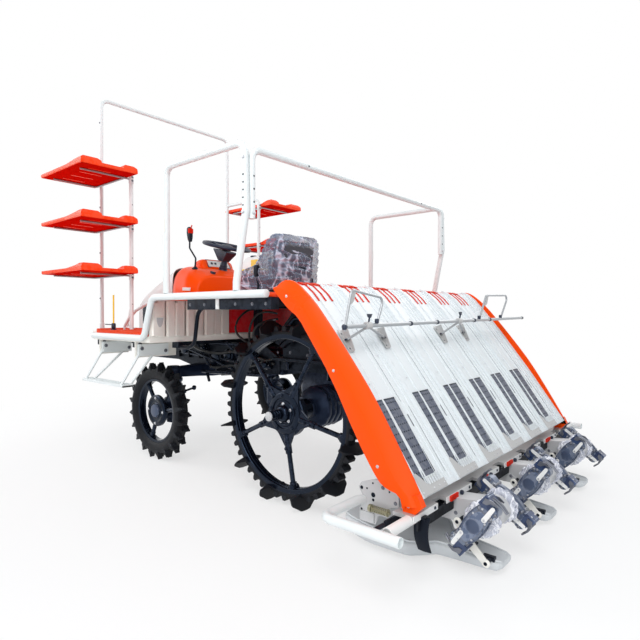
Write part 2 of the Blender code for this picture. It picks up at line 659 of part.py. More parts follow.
def make_front_deck():
    """Deck tray with an opening over the engine and the cream bracket plates of the footsteps."""
    piece = Piece("front_deck", "cream_plastic")
    w = DECK_HALF_WIDTH
    corners = deck_corners(0.0)
    outline = corners + [(x, -y) for x, y in reversed(corners)]
    plate_z(piece.solid(), outline, FRONT_DECK_BOTTOM_Z, FRONT_DECK_TOP_Z)
    box(piece.cuts, -2.0, -1.60, -0.23, 0.23, 0.7, 0.9)
    for side in (-1, 1):
        for x, depth in ((OUTRIGGER_X[1], 0.215), (OUTRIGGER_X[2], 0.295)):
            y0, y1 = span(side, w - depth, w - 0.015)
            box(piece.solid(), x + 0.0205, x + 0.032, y0, y1, 0.72, FRONT_DECK_BOTTOM_Z + 0.01)
    return piece.make()


def make_deck_mat():
    """Ribbed orange mat round the cowl and the hood."""
    piece = Piece("deck_mat", "orange_paint")
    inner_w = COWL_HALF_WIDTH + 0.006
    corners = deck_corners(0.02)
    outline = corners + [(corners[-1][0], inner_w), (COWL_X1 + 0.006, inner_w)]
    outline += [(x, -y) for x, y in reversed(outline)]
    plate_z(piece.solid(), outline, FRONT_DECK_TOP_Z + SEAT_GAP, FRONT_DECK_TOP_Z + MAT_THICK)
    for side in (-1, 1):
        for x in (RACK_FRONT_X, RACK_REAR_X, RACK_REAR_X - 0.11):
            y0, y1 = span(side, RACK_Y - 0.03, RACK_Y + 0.03)
            box(piece.cuts, x - 0.03, x + 0.03, y0, y1, 0.8, 0.9)
    return piece.make()


def make_riser():
    """Wall between the two decks: wide standing flutes on its rear face, flat in the middle."""
    piece = Piece("riser_panel", "cream_plastic")
    z0, z1 = FRONT_DECK_TOP_Z + SEAT_GAP, REAR_DECK_BOTTOM_Z - SEAT_GAP
    x0 = RISER_X - PANEL_THICK
    box(piece.solid(), x0, RISER_X, -DECK_HALF_WIDTH, DECK_HALF_WIDTH, z0, z1)
    for side in (-1, 1):
        for inner, outer in FLUTES:
            inner, outer = inner * DECK_HALF_WIDTH, outer * DECK_HALF_WIDTH
            outline = [(side * inner, RISER_X - 0.004), (side * outer, RISER_X - 0.004),
                       (side * (outer - 0.010), RISER_X + FLUTE_DEPTH), (side * (inner + 0.010), RISER_X + FLUTE_DEPTH)]
            loft(piece.solid(), [[(x, y, z) for y, x in outline] for z in (z0 + 0.004, z1 - 0.012)])
    return piece.make()


def make_rear_deck():
    piece = Piece("rear_deck", "orange_paint")
    x0, x1, w = RISER_X - PANEL_THICK, REAR_DECK_X1, DECK_HALF_WIDTH - 0.006
    outline = [(x0, -w), (x1 - 0.03, -w), (x1, -w + 0.03), (x1, w - 0.03), (x1 - 0.03, w), (x0, w)]
    plate_z(piece.solid(), outline, REAR_DECK_BOTTOM_Z, REAR_DECK_TOP_Z)
    return piece.make()


def make_cowl():
    """Dash cowl: lofted sections along X, with the instrument hump at the rear."""
    piece = Piece("dash_cowl", "orange_paint")
    z0 = FRONT_DECK_TOP_Z + SEAT_GAP
    sections = []
    for x, half, top, shoulder in COWL_SECTIONS:
        sections.append([(x, -half, z0), (x, half, z0), (x, half, top - shoulder), (x, half * 0.93, top - 0.05),
                         (x, half * 0.72, top), (x, -half * 0.72, top), (x, -half * 0.93, top - 0.05),
                         (x, -half, top - shoulder)])
    loft(piece.solid(), sections)
    hump = []
    for x, half, top in ((-1.50, 0.13, 1.350), (-1.44, 0.15, 1.405), (-1.385, 0.15, 1.405), (-1.36, 0.13, 1.335)):
        hump.append([(x, -half, 1.25), (x, half, 1.25), (x, half, top - 0.03), (x, half * 0.8, top),
                     (x, -half * 0.8, top), (x, -half, top - 0.03)])
    loft(piece.solid(), hump)
    return piece.make()


def make_hood():
    """Nose hood: one bent shell over the engine, open below and at the rear."""
    bm = bmesh.new()
    sections = []
    z0 = HOOD_HINGE[2]
    for x, half, top in ((NOSE_TIP_X, 0.235, 0.965), (-2.085, 0.270, 1.100), (-1.90, 0.290, 1.190),
                         (-1.70, 0.297, 1.272), (COWL_X0 - 0.004, HOOD_HALF_WIDTH, 1.340)):
        sections.append([(x, -half, z0), (x, -half, top - 0.12 * (top - z0) - 0.02), (x, -half * 0.90, top - 0.02),
                         (x, -half * 0.70, top), (x, half * 0.70, top), (x, half * 0.90, top - 0.02),
                         (x, half, top - 0.12 * (top - z0) - 0.02), (x, half, z0)])
    loft(bm, sections, closed_ends=False, closed_loops=False)
    bm.verts.ensure_lookup_table()
    bm.faces.new([bm.verts[i] for i in range(8)])
    obj = add_object("nose_hood", bm, "hood_grey", HOOD_HINGE)
    wall = obj.modifiers.new("wall", "SOLIDIFY")
    wall.thickness = HOOD_WALL
    wall.offset = -1.0
    return obj


def steering_axis():
    return Vector((math.sin(STEERING_TILT), 0.0, math.cos(STEERING_TILT)))


def make_steering():
    """Column with its foot cut to the cowl's slope, and the wheel with three spokes round its hub."""
    axis = steering_axis()
    centre = Vector(STEERING_CENTRE)
    column = Piece("steering_column", "black_paint")
    (xa, _, za, _), (xb, _, zb, _) = COWL_SECTIONS[1:3]
    slope = (zb - za) / (xb - xa)
    foot = centre - axis * 0.150
    forward = Vector((axis.z, 0.0, -axis.x))
    across = Vector((0.0, 1.0, 0.0))
    lower, upper = [], []
    for k in range(10):
        angle = 2 * math.pi * k / 10
        point = foot + (forward * math.cos(angle) + across * math.sin(angle)) * COLUMN_FOOT_RADIUS
        drop = (za + slope * (point.x - xa) + SEAT_GAP - point.z) / (axis.z - slope * axis.x)
        lower.append(tuple(point + axis * drop))
        upper.append(tuple(point + axis * 0.012))
    loft(column.solid(), [lower, upper])
    tube(column.solid(), [foot, centre - axis * 0.032], 0.022)
    column.make()
    wheel = Piece("steering_wheel", "seat_cloth", STEERING_CENTRE)
    sides, grip_sides = 24, 6
    bm = wheel.solid()
    rows = []
    middle = STEERING_RADIUS - STEERING_GRIP
    for i in range(sides):
        a = 2 * math.pi * i / sides
        out = forward * math.cos(a) + across * math.sin(a)
        row = []
        for j in range(grip_sides):
            b = 2 * math.pi * j / grip_sides
            reach = middle + STEERING_GRIP * math.cos(b)
            row.append(bm.verts.new(centre + out * reach + axis * (STEERING_GRIP * math.sin(b))))
        rows.append(row)
    for i in range(sides):
        for j in range(grip_sides):
            k = (j + 1) % grip_sides
            after = rows[(i + 1) % sides]
            bm.faces.new((rows[i][j], rows[i][k], after[k], after[j]))
    tube(wheel.solid(), [centre - axis * 0.0317, centre + axis * 0.012], 0.038, sides=10)
    for k in range(3):
        a = 2 * math.pi * k / 3 + math.pi
        out = forward * math.cos(a) + across * math.sin(a)
        tube(wheel.solid(), [centre - axis * 0.012 + out * 0.02, centre + out * (middle + 0.004)], 0.009, sides=6)
    wheel.make()


def make_lever():
    piece = Piece("shift_lever", "black_paint")
    tube(piece.solid(), [(-1.330, -0.25, 1.3235), (-1.330, -0.25, 1.345), (-1.375, -0.25, 1.45), (-1.40, -0.25, 1.56)],
         0.008, 0.02, sides=6)
    tube(piece.solid(), [(-1.395, -0.25, 1.54), (-1.405, -0.25, 1.63)], 0.017)
    return piece.make()


def make_seat():
    """Pedestal on the rear deck, cushion and back."""
    base = Piece("seat_base", "black_paint")
    box(base.solid(), -0.88, -0.52, -0.17, 0.17, REAR_DECK_TOP_Z + SEAT_GAP, 1.120)
    box(base.solid(), -0.90, -0.50, -0.19, 0.19, 1.110, SEAT_PAN_Z)
    box(base.solid(), -0.5205, -0.500, -0.05, 0.05, 1.11, 1.32)
    base.make()
    cushion = Piece("seat_cushion", "seat_cloth")
    sections = []
    for x, half, z1 in ((-0.93, 0.19, 1.215), (-0.90, 0.215, 1.245), (-0.66, 0.215, 1.225), (-0.635, 0.20, 1.215)):
        z0 = SEAT_PAN_Z + SEAT_GAP
        sections.append([(x, -half, z0), (x, half, z0), (x, half, z1 - 0.03), (x, half - 0.03, z1),
                         (x, -half + 0.03, z1), (x, -half, z1 - 0.03)])
    loft(cushion.solid(), sections)
    cushion.make()
    back = Piece("seat_back", "seat_cloth")
    sections = []
    rear = -0.5205 - SEAT_GAP
    for z, half, x0, x1 in ((1.20, 0.19, -0.628, rear), (1.24, 0.21, -0.630, rear),
                            (1.34, 0.205, -0.617, rear), (1.44, 0.20, -0.605, -0.500), (1.50, 0.16, -0.575, -0.505)):
        sections.append([(x0, -half + 0.03, z), (x0 + 0.03, -half, z), (x1, -half, z), (x1, half, z),
                         (x0 + 0.03, half, z), (x0, half - 0.03, z)])
    loft(back.solid(), sections)
    back.make()


def make_side_tubes(word, side):
    """Side rail, guard hoop and footstep of one side."""
    y = SIDE_TUBE_Y
    rail = Piece("side_rail_" + word, "white_tube")
    path = [(0.185, y, UPPER_RAIL_Z), (-0.74, y, UPPER_RAIL_Z), (-0.825, y, LOWER_RAIL_Z), (-1.43, y, LOWER_RAIL_Z)]
    tube(rail.solid(), mirror_y(path, side), TUBE_RADIUS, 0.05)
    foot = REAR_DECK_TOP_Z + SEAT_GAP
    for x in (0.10, -0.62):
        box(rail.solid(), x - 0.02, x + 0.02, *span(side, y - 0.049, y), foot, UPPER_RAIL_Z + 0.016)
    rail.make()
    hoop = Piece("guard_hoop_" + word, "white_tube")
    foot_z = UPPER_RAIL_Z + TUBE_RADIUS * math.cos(math.pi / 8) + SEAT_GAP
    path = [(-0.017, y, foot_z), (-0.017, y, 1.13), (0.012, y, 1.28), (0.049, y, 1.46), (HOOP_REAR_X, y, HOOP_TOP_Z),
            (HOOP_FRONT_X, y, HOOP_TOP_Z), (HOOP_FRONT_X, y, foot_z)]
    tube(hoop.solid(), mirror_y(path, side), HOOP_RADIUS, 0.05)
    hoop.make()
    step = Piece("footstep_" + word, "white_tube")
    box(step.solid(), -1.435, -0.935, *span(side, y + 0.001, y + 0.071), 0.555, 0.573)
    for x, ends in ((OUTRIGGER_X[1], ((0.894, 0.787, 1.03, 0.565), (0.733, 0.77, 0.972, 0.565))),
                    (OUTRIGGER_X[2], ((0.915, 0.74, 1.03, 0.565), (0.822, 0.735, 0.972, 0.565)))):
        shift = y - 0.964
        for ya, za, yb, zb in ends:
            tube(step.solid(), [(x + 0.045, side * (ya + shift), za), (x + 0.045, side * (yb + shift), zb)], 0.008, sides=6)
        box(step.solid(), x + 0.0325, x + 0.055, *span(side, y - 0.244, y - 0.044), 0.73, 0.80)
    step.make()


def make_cross_hoop():
    piece = Piece("rear_cross_hoop", "white_tube")
    x, y = CROSS_HOOP_X, SIDE_TUBE_Y - (HOOP_RADIUS + CROSS_HOOP_RADIUS) * HOOP_FACET_SHARE - SEAT_GAP
    tube(piece.solid(), [(x, -y, CROSS_HOOP_FOOT_Z), (x, -y, CROSS_HOOP_TOP_Z), (x, y, CROSS_HOOP_TOP_Z),
                         (x, y, CROSS_HOOP_FOOT_Z)], CROSS_HOOP_RADIUS, 0.05)
    return piece.make()


def make_racks():
    """Front portal and two side frames with the rods that carry the trays."""
    z0 = FRONT_DECK_TOP_Z + SEAT_GAP
    portal = Piece("rack_portal", "white_tube")
    y = RACK_Y
    tube(portal.solid(), [(RACK_FRONT_X, -y, z0), (RACK_FRONT_X, -y, RACK_TOP_Z), (RACK_FRONT_X, y, RACK_TOP_Z),
                          (RACK_FRONT_X, y, z0)], RACK_POST_RADIUS, 0.05)
    portal.make()
    for word, side in SIDES:
        frame = Piece("rack_side_" + word, "white_tube")
        x = RACK_REAR_X
        top_x = RACK_FRONT_X + RACK_POST_RADIUS + SEAT_GAP
        path = [(x, y, z0), (x, y, RACK_REAR_TOP_Z), (top_x, y, RACK_REAR_TOP_Z)]
        tube(frame.solid(), mirror_y(path, side), RACK_POST_RADIUS, 0.04)
        path = [(x, y, 1.05), (x - 0.03, y, 0.96), (x - 0.10, y, z0 + 0.04), (x - 0.10, y, z0)]
        tube(frame.solid(), mirror_y(path, side), 0.009, 0.03, sides=6)
        for tray_z in RACK_TRAY_Z:
            rod_z = tray_z - RACK_ROD_RADIUS - SEAT_GAP
            tube(frame.solid(), [(x, side * y, rod_z), (x, side * 0.98, rod_z)], RACK_ROD_RADIUS, sides=6)
            front_x = RACK_FRONT_X + RACK_POST_RADIUS + 0.006
            path = [(x + 0.003, y + 0.05, rod_z), (front_x, y + 0.05, rod_z), (front_x, 0.98, rod_z)]
            tube(frame.solid(), mirror_y(path, side), RACK_ROD_RADIUS - 0.0005, 0.02, sides=6)
        frame.make()
        for tray_name, tray_z in zip(RACK_TRAY_NAMES, RACK_TRAY_Z):
            tray = Piece("rack_tray_" + word + "_" + tray_name, "orange_paint")
            x0, x1 = RACK_TRAY_X
            y0, y1 = RACK_TRAY_Y
            floor = tray_z + 0.004
            rows = []
            for inset, z in ((0.0, tray_z), (0.0, tray_z + 0.024), (0.006, tray_z + 0.024), (0.006, floor)):
                ya, yb = span(side, y0 + inset, y1 - inset)
                rows.append([(x0 + inset, ya, z), (x1 - inset, ya, z), (x1 - inset, yb, z), (x0 + inset, yb, z)])
            loft(tray.solid(), rows)
            for a, b in ((y0, y0 + 0.10), (y1 - 0.12, y1)):
                outline = [(x1 - 0.10, floor - 0.002), (x1 + 0.002, floor - 0.002), (x1 - 0.01, tray_z + 0.05),
                           (x1 - 0.07, tray_z + 0.05)]
                plate_y(tray.solid(), outline, *span(side, a, b))
            tray.make()


def make_tank():
    piece = Piece("side_tank", "white_tube")
    sections = []
    for z, inset in ((FRONT_DECK_TOP_Z + MAT_THICK + SEAT_GAP, 0.0), (1.235, 0.0), (1.262, 0.02)):
        sections.append([(-1.60 + inset, 0.41 + inset, z), (-1.36 - inset, 0.41 + inset, z),
                         (-1.36 - inset, 0.56 - inset, z), (-1.60 + inset, 0.56 - inset, z)])
    loft(piece.solid(), sections)
    return piece.make()


def swing(pivot, length, angle):
    """Point on a link: angle 0 points rearwards, positive turns upwards."""
    return (pivot[0] + length * math.cos(angle), pivot[2] + length * math.sin(angle))


def make_lift():
    """Lower and upper links, and the cylinder that pulls the upper link's crank."""
    lower = Piece("lower_links", "black_paint", LOWER_PIVOT)
    upper = Piece("upper_link", "black_paint", UPPER_PIVOT)
    for piece, pivot, spread in ((lower, LOWER_PIVOT, 0.095), (upper, UPPER_PIVOT, 0.075)):
        rear = swing(pivot, LINK_LENGTH, LINK_REST)
        for side in (-1, 1):
            y0, y1 = span(side, spread - 0.010, spread + 0.010)
            along = Vector((math.cos(LINK_REST), math.sin(LINK_REST)))
            across = Vector((-along.y, along.x)) * 0.022
            a = Vector((pivot[0], pivot[2]))
            b = Vector(rear)
            plate_y(piece.solid(), [tuple(a - across), tuple(b - across), tuple(b + across), tuple(a + across)], y0, y1)
            disc_y(piece.solid(), (pivot[0], pivot[2]), 0.028, y0, y1, 12)
            disc_y(piece.solid(), rear, 0.028, y0, y1, 12)
            for place, shaft in (((pivot[0], pivot[2]), FRAME_PIN_RADIUS), (rear, PLANTER_PIN_RADIUS)):
                disc_y(piece.cuts, place, bore_radius(shaft, PIN_SIDES), y0 - 0.02, y1 + 0.02, PIN_SIDES)
        middle = swing(pivot, LINK_LENGTH * 0.5, LINK_REST)
        disc_y(piece.solid(), middle, 0.016, -spread, spread, 10)
    crank = swing(UPPER_PIVOT, CRANK_RADIUS, CRANK_REST)
    for side in (-1, 1):
        y0, y1 = span(side, 0.066, 0.084)
        a = Vector((UPPER_PIVOT[0], UPPER_PIVOT[2]))
        b = Vector(crank)
        along = (b - a).normalized()
        across = Vector((-along.y, along.x)) * 0.018
        plate_y(upper.solid(), [tuple(a + along * 0.021 - across), tuple(b - across), tuple(b + along * 0.018),
                                tuple(b + across), tuple(a + along * 0.021 + across)], y0, y1)
        disc_y(upper.solid(), crank, 0.022, y0, y1, 12)
    lower.make()
    upper.make()
    start = Vector(CYLINDER_PIVOT)
    end = Vector((crank[0], 0.0, crank[1]))
    along = (end - start).normalized()
    barrel = Piece("lift_cylinder", "black_paint", CYLINDER_PIVOT)
    tube(barrel.solid(), [start + along * 0.014, start + along * 0.33], 0.032, sides=12)
    disc_y(barrel.solid(), (start.x, start.z), 0.026, -0.028, 0.028, 12)
    disc_y(barrel.cuts, (start.x, start.z), bore_radius(CYLINDER_PIN_RADIUS, PIN_SIDES), -0.06, 0.06, PIN_SIDES)
    tube(barrel.cuts, [start + along * 0.10, start + along * 0.40], bore_radius(ROD_RADIUS, 12), sides=12)
    barrel.make()
    rod = Piece("lift_rod", "bare_steel", tuple(end))
    tube(rod.solid(), [start + along * 0.215, end - along * 0.004], ROD_RADIUS, sides=12)
    disc_y(rod.solid(), crank, 0.024, -0.020, 0.020, 12)
    disc_y(rod.solid(), crank, 0.013, -0.066 + SEAT_GAP, 0.066 - SEAT_GAP, 10)
    rod.make()


def tray_place(share, height):
    """Point over the tray's long slope: share 0 at its top corner, 1 at the next, raised square to it."""
    (xa, za), (xb, zb) = TRAY_LINE[4:6]
    along = Vector((xb - xa, zb - za))
    square = Vector((-along.y, along.x)).normalized()
    return Vector((xa, za)) + along * share + square * height


def make_planter_frame():
    """Hitch plates, cross beam, case arms to the rotors, uprights and the tube the tray slides on."""
    lower = swing(LOWER_PIVOT, LINK_LENGTH, LINK_REST)
    upper = swing(UPPER_PIVOT, LINK_LENGTH, LINK_REST)
    piece = Piece("planter_frame", "cast_grey", (lower[0], 0.0, lower[1]))
    half = BEAM_SIZE / 2
    box(piece.solid(), BEAM_X - half, BEAM_X + half, -0.86, 0.86, BEAM_Z - half, BEAM_Z + half)
    (xa, za), (xb, zb) = TRAY_LINE[3:5]
    along = Vector((xb - xa, zb - za))
    square = Vector((-along.y, along.x)).normalized()
    support = Vector((xa, za)) + along * 0.5 - square * (TRAY_THICK + SEAT_GAP + SUPPORT_RADIUS)
    for side in (-1, 1):
        y0, y1 = span(side, 0.110, 0.122)
        outline = [(lower[0] - 0.025, lower[1] - 0.025), (BEAM_X, BEAM_Z - half + 0.004), (BEAM_X + 0.02, BEAM_Z + half),
                   (upper[0] + 0.03, upper[1] + 0.03), (upper[0] - 0.025, upper[1] + 0.03)]
        plate_y(piece.solid(), outline, y0, y1)
        tube(piece.solid(), [(BEAM_X - 0.03, side * 0.45, BEAM_Z), (0.55, side * 0.45, 0.45),
                             (support.x, side * 0.45, support.y)], 0.016)
    for pin in (upper, lower):
        disc_y(piece.solid(), pin, PLANTER_PIN_RADIUS, -0.116, 0.116, PIN_SIDES)
    tube(piece.solid(), [(support.x, -SUPPORT_HALF, support.y), (support.x, SUPPORT_HALF, support.y)], SUPPORT_RADIUS)
    for y in CASE_Y:
        sections = []
        for x, z, h in ((BEAM_X, BEAM_Z, 0.034), (0.84, 0.212, 0.042), (0.90, 0.212, 0.042), (*ROTOR_AXIS, 0.050)):
            sections.append([(x, y - CASE_HALF, z - h), (x, y + CASE_HALF, z - h),
                             (x, y + CASE_HALF, z + h), (x, y - CASE_HALF, z + h)])
        loft(piece.solid(), sections)
        disc_y(piece.solid(), ROTOR_AXIS, 0.056, y - CASE_HALF - 0.007, y + CASE_HALF + 0.007, 16)
        disc_y(piece.cuts, ROTOR_AXIS, bore_radius(ROTOR_SHAFT_RADIUS, 12), y - 0.08, y + 0.08, 12)
    return piece.make()


def make_tray():
    """Seedling tray: sheet bent over its top edge, with a divider between the lanes."""
    centre = TRAY_CENTRE_Y
    tray = Piece("seedling_tray", "tray_metal")
    outline = ribbon(TRAY_LINE, TRAY_THICK)
    plate_y(tray.solid(), outline, centre - TRAY_HALF_WIDTH, centre + TRAY_HALF_WIDTH)
    rib_line = ribbon([(x + 0.012, z + 0.010) for x, z in TRAY_LINE[2:]], 0.024)
    for k in range(LANES + 1):
        y = centre + (k - LANES / 2) * LANE_PITCH
        if k == 0:
            y0, y1 = centre - TRAY_HALF_WIDTH, centre - TRAY_HALF_WIDTH + 0.010
        elif k == LANES:
            y0, y1 = centre + TRAY_HALF_WIDTH - 0.010, centre + TRAY_HALF_WIDTH
        else:
            y0, y1 = y - 0.008, y + 0.008
        plate_y(tray.solid(), rib_line, y0, y1)
    tray.make()
    foot = GUIDE_TOP_Z + SEAT_GAP
    upper = [(0.215, 1.108), (0.245, 1.131), (0.290, 1.134), (0.335, 1.117), (0.425, 1.043), (0.528, 0.924),
             (0.649, 0.776), (0.746, 0.648), (0.905, 0.390), (0.951, 0.300)]
    lower = [(0.922, foot), (0.880, foot), (0.865, 0.335), (0.800, 0.345), (0.765, 0.370), (0.675, 0.500),
             (0.542, 0.735), (0.425, 0.890), (0.368, 0.968), (0.300, 1.008), (0.225, 1.085)]
    for word, side in SIDES:
        panel = Piece("tray_side_" + word, "orange_paint")
        edge = centre + side * (TRAY_HALF_WIDTH + SEAT_GAP)
        y0, y1 = sorted((edge, edge + side * TRAY_SIDE_WIDTH))
        plate_y(panel.solid(), upper + lower, y0, y1)
        panel.make()
    make_press_rods()


def make_press_rods():
    """Long rod over the seedlings on two clamp brackets, each with a bent hoop above it."""
    rods = Piece("press_rods", "bare_steel")
    tube(rods.solid(), [(*PRESS_ROD_ENDS[0],), (*PRESS_ROD_ENDS[1],)], 0.009)
    a, b = (Vector(end) for end in PRESS_ROD_ENDS)
    for (y, z_rise), hoop in PRESS_HOOPS:
        share = (y - a.y) / (b.y - a.y)
        rod = a.lerp(b, share)
        foot = [tray_place(0.12, SEAT_GAP), tray_place(0.34, SEAT_GAP), tray_place(0.34, 0.010)]
        outline = [tuple(p) for p in foot] + [(rod.x + 0.012, rod.z - 0.006), (rod.x + 0.004, rod.z + z_rise),
                                              (rod.x - 0.016, rod.z + 0.010)]
        plate_y(rods.solid(), outline, y - 0.012, y + 0.012)
        tube(rods.solid(), [(rod.x, py, pz) for py, pz in hoop], 0.006, 0.02, sides=6)
    rods.make()


def make_guide_rail():
    """Channel at the foot of the tray with a gate for each row."""
    piece = Piece("guide_rail", "white_tube")
    outline = [(0.842, GUIDE_BOTTOM_Z), (0.925, GUIDE_BOTTOM_Z), (0.925, GUIDE_TOP_Z), (0.842, GUIDE_TOP_Z)]
    plate_y(piece.solid(), outline, -GUIDE_HALF_LENGTH, GUIDE_HALF_LENGTH)
    for k in range(LANES):
        y = (k - (LANES - 1) / 2) * ROW_PITCH
        box(piece.cuts, 0.897, 0.95, y - 0.035, y + 0.035, 0.25, 0.30)
    for y in CASE_Y:
        box(piece.solid(), 0.845, 0.885, y - 0.03, y + 0.03, 0.254 + SEAT_GAP, GUIDE_BOTTOM_Z + 0.006)
    return piece.make()


def make_rotor(word, case_y):
    """Two rotary cases on one shaft, each with two planting arms and their claws."""
    x, z = ROTOR_AXIS
    piece = Piece("rotor_" + word, "cast_grey", (x, case_y, z))
    disc_y(piece.solid(), ROTOR_AXIS, ROTOR_SHAFT_RADIUS, case_y - 0.17, case_y + 0.17, 12)
    for side in (-1, 1):
        disc_y(piece.solid(), ROTOR_AXIS, 0.030, *sorted((case_y + side * (CASE_HALF + 0.0073), case_y + side * 0.13)), 12)
        y = case_y + side * ROW_PITCH / 2
        angle = math.radians(55 if side < 0 else 145)
        out = Vector((math.cos(angle), math.sin(angle)))
        across = Vector((-out.y, out.x))
        axis = Vector((x, z))
        body = []
        for a, b in ((-0.095, -0.022), (0.0, -0.045), (0.095, -0.022), (0.095, 0.022), (0.0, 0.045), (-0.095, 0.022)):
            body.append(tuple(axis + out * a + across * b))
        plate_y(piece.solid(), body, y - 0.028, y + 0.028)
        for end in (-1, 1):
            arm = []
            for a, b in ((0.055, -0.035), (0.100, -0.045), (ROTOR_REACH - 0.015, 0.02),
                         (ROTOR_REACH - 0.004, 0.034), (0.08, 0.03)):
                arm.append(tuple(axis + (out * a + across * b) * end))
            plate_y(piece.solid(), arm, y - 0.024, y + 0.024)
    return piece.make()


def make_float(word, case_y):
    """Sled float: wide upturned nose, narrow tail, and the rear link that hangs it on the case arm."""
    piece = Piece("float_" + word, "float_plastic")
    sections = []
    for x, half, z0, z1 in ((0.46, 0.17, 0.085, 0.115), (0.52, 0.195, 0.035, 0.115), (0.60, 0.20, FLOAT_BOTTOM_Z, 0.105),
                            (0.80, 0.19, FLOAT_BOTTOM_Z, 0.085), (0.86, 0.085, FLOAT_BOTTOM_Z, 0.075),
                            (1.09, 0.070, FLOAT_BOTTOM_Z, 0.060), (1.12, 0.050, 0.030, 0.055)):
        sections.append([(x, case_y - half * 0.94, z0), (x, case_y + half * 0.94, z0), (x, case_y + half, z1),
                         (x, case_y - half, z1)])
    loft(piece.solid(), sections)
    box(piece.solid(), 0.66, 0.72, case_y - 0.02, case_y + 0.02, 0.08, BEAM_Z - BEAM_SIZE / 2 - SEAT_GAP)
    (xa, za), (xb, zb) = FLOAT_LINK
    a, b = Vector((xa, za)), Vector((xb, zb))
    across = Vector((b.y - a.y, a.x - b.x)).normalized() * 0.010
    link_y = case_y - FLOAT_LINK_Y
    plate_y(piece.solid(), [tuple(a - across), tuple(b - across), tuple(b + across), tuple(a + across)],
            link_y - 0.004, link_y + 0.004)
    disc_y(piece.solid(), FLOAT_LINK[0], 0.016, link_y - 0.006, link_y + 0.006, 10)
    disc_y(piece.solid(), FLOAT_LINK[1], 0.016, link_y - 0.006, link_y + 0.006, 10)
    disc_y(piece.solid(), FLOAT_LINK[0], 0.008, link_y, case_y - CASE_HALF - SEAT_GAP, 8)
    disc_y(piece.solid(), FLOAT_LINK[1], 0.008, link_y, case_y, 8)
    box(piece.solid(), xb - 0.03, xb + 0.015, case_y - 0.06, case_y - 0.04, 0.05, zb + 0.010)
    return piece.make()


def make_float_guard(word, side):
    """Bent bumper tube in front of the float, its inner end against the cross beam."""
    piece = Piece("float_guard_" + word, "white_tube")
    beam_face = BEAM_X - BEAM_SIZE / 2 - SEAT_GAP
    path = [(beam_face, 0.80, BEAM_Z), (0.64, 0.80, BEAM_Z), (0.64, 0.90, GUARD_Z), (0.64, GUARD_Y, GUARD_Z),
            (0.97, GUARD_Y, GUARD_Z)]
    tube(piece.solid(), mirror_y(path, side), TUBE_RADIUS, 0.04)
    return piece.make()


make_main_frame()
make_outriggers()
make_transmission()
make_engine()
make_front_axle()
make_rear_axle()
make_front_deck()
make_deck_mat()
make_riser()
make_rear_deck()
make_cowl()
make_hood()
make_steering()
make_lever()
make_seat()
make_cross_hoop()
make_racks()
make_tank()
make_lift()
make_planter_frame()
make_tray()
make_guide_rail()
for side_word, side_sign in SIDES:
    make_knuckle("knuckle_" + side_word, side_sign)
    make_front_wheel("front_wheel_" + side_word, side_sign)
    make_rear_wheel("rear_wheel_" + side_word, side_sign)
    make_side_tubes(side_word, side_sign)
    make_float_guard(side_word, side_sign)
for case_word, case_place in zip(CASE_NAMES, CASE_Y):
    make_rotor(case_word, case_place)
    make_float(case_word, case_place)
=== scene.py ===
"""Looks of a six-row riding rice transplanter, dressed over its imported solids."""

import json
import math

import bmesh
import bpy
import numpy as np
from mathutils import Matrix, Vector


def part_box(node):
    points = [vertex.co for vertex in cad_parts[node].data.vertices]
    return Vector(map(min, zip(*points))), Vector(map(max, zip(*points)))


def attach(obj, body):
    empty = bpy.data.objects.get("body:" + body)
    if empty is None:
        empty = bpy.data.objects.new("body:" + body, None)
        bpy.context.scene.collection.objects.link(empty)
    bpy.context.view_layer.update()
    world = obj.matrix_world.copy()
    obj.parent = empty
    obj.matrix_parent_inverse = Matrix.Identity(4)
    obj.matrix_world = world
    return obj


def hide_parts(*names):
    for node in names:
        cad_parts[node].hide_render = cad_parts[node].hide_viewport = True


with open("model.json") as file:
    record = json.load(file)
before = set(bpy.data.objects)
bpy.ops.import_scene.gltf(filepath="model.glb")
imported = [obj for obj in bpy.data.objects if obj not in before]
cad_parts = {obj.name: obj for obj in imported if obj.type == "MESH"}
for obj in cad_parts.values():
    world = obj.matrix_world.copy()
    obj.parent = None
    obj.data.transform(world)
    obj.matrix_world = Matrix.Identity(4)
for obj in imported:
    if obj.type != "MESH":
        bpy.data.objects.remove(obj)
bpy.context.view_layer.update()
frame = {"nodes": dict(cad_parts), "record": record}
NODES = frame["nodes"]

# Places are written from the rear axle's line; the row's own origin lies this far from it along X
REAR_WHEEL_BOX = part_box("rear_wheel_left")
SHIFT_X = (REAR_WHEEL_BOX[0].x + REAR_WHEEL_BOX[1].x) / 2

# Camera, solved from the photograph of 640 by 640 pixels
CAMERA_PLACE = (1.8253, -2.5227, 0.9869)
CAMERA_YAW = 0.7062
CAMERA_PITCH = 0.0131
CAMERA_ROLL = 0.0017
FOCAL_PIXELS = 509.15
PHOTO_SIZE = 640.0
SENSOR = 36.0

# Driving sizes, the same as the solids'
SIDES = (("left", -1), ("right", 1))
REAR_AXLE = (0.0, 0.475)
FRONT_AXLE = (-1.2585, 0.325)
REAR_WHEEL_Y = 0.640
FRONT_WHEEL_Y = 0.600
SIDE_TUBE_Y = 0.964
RACK_Y = 0.617
RACK_FRONT_X = -2.020
RACK_REAR_X = -1.580
RACK_TRAY_Z = (1.262, 1.607, 1.952)
RACK_TRAY_NAMES = ("low", "mid", "high")
RAIL_RADIUS = 0.0188
HOOP_RADIUS = 0.0178
CROSS_RADIUS = 0.0168
RACK_RADIUS = 0.0138
TRAY_ROD_RADIUS = 0.0065
RISER_X = -0.800
DECK_HALF = 0.9447
REAR_DECK_TOP = 1.082
DECK_SEAT_Z = 1.0823
MAT_SEAT_Z = 0.8683
POST_FOOT_Z = 0.8505
CASE_Y = (-0.600, 0.0, 0.600)
CASE_NAMES = ("left", "centre", "right")
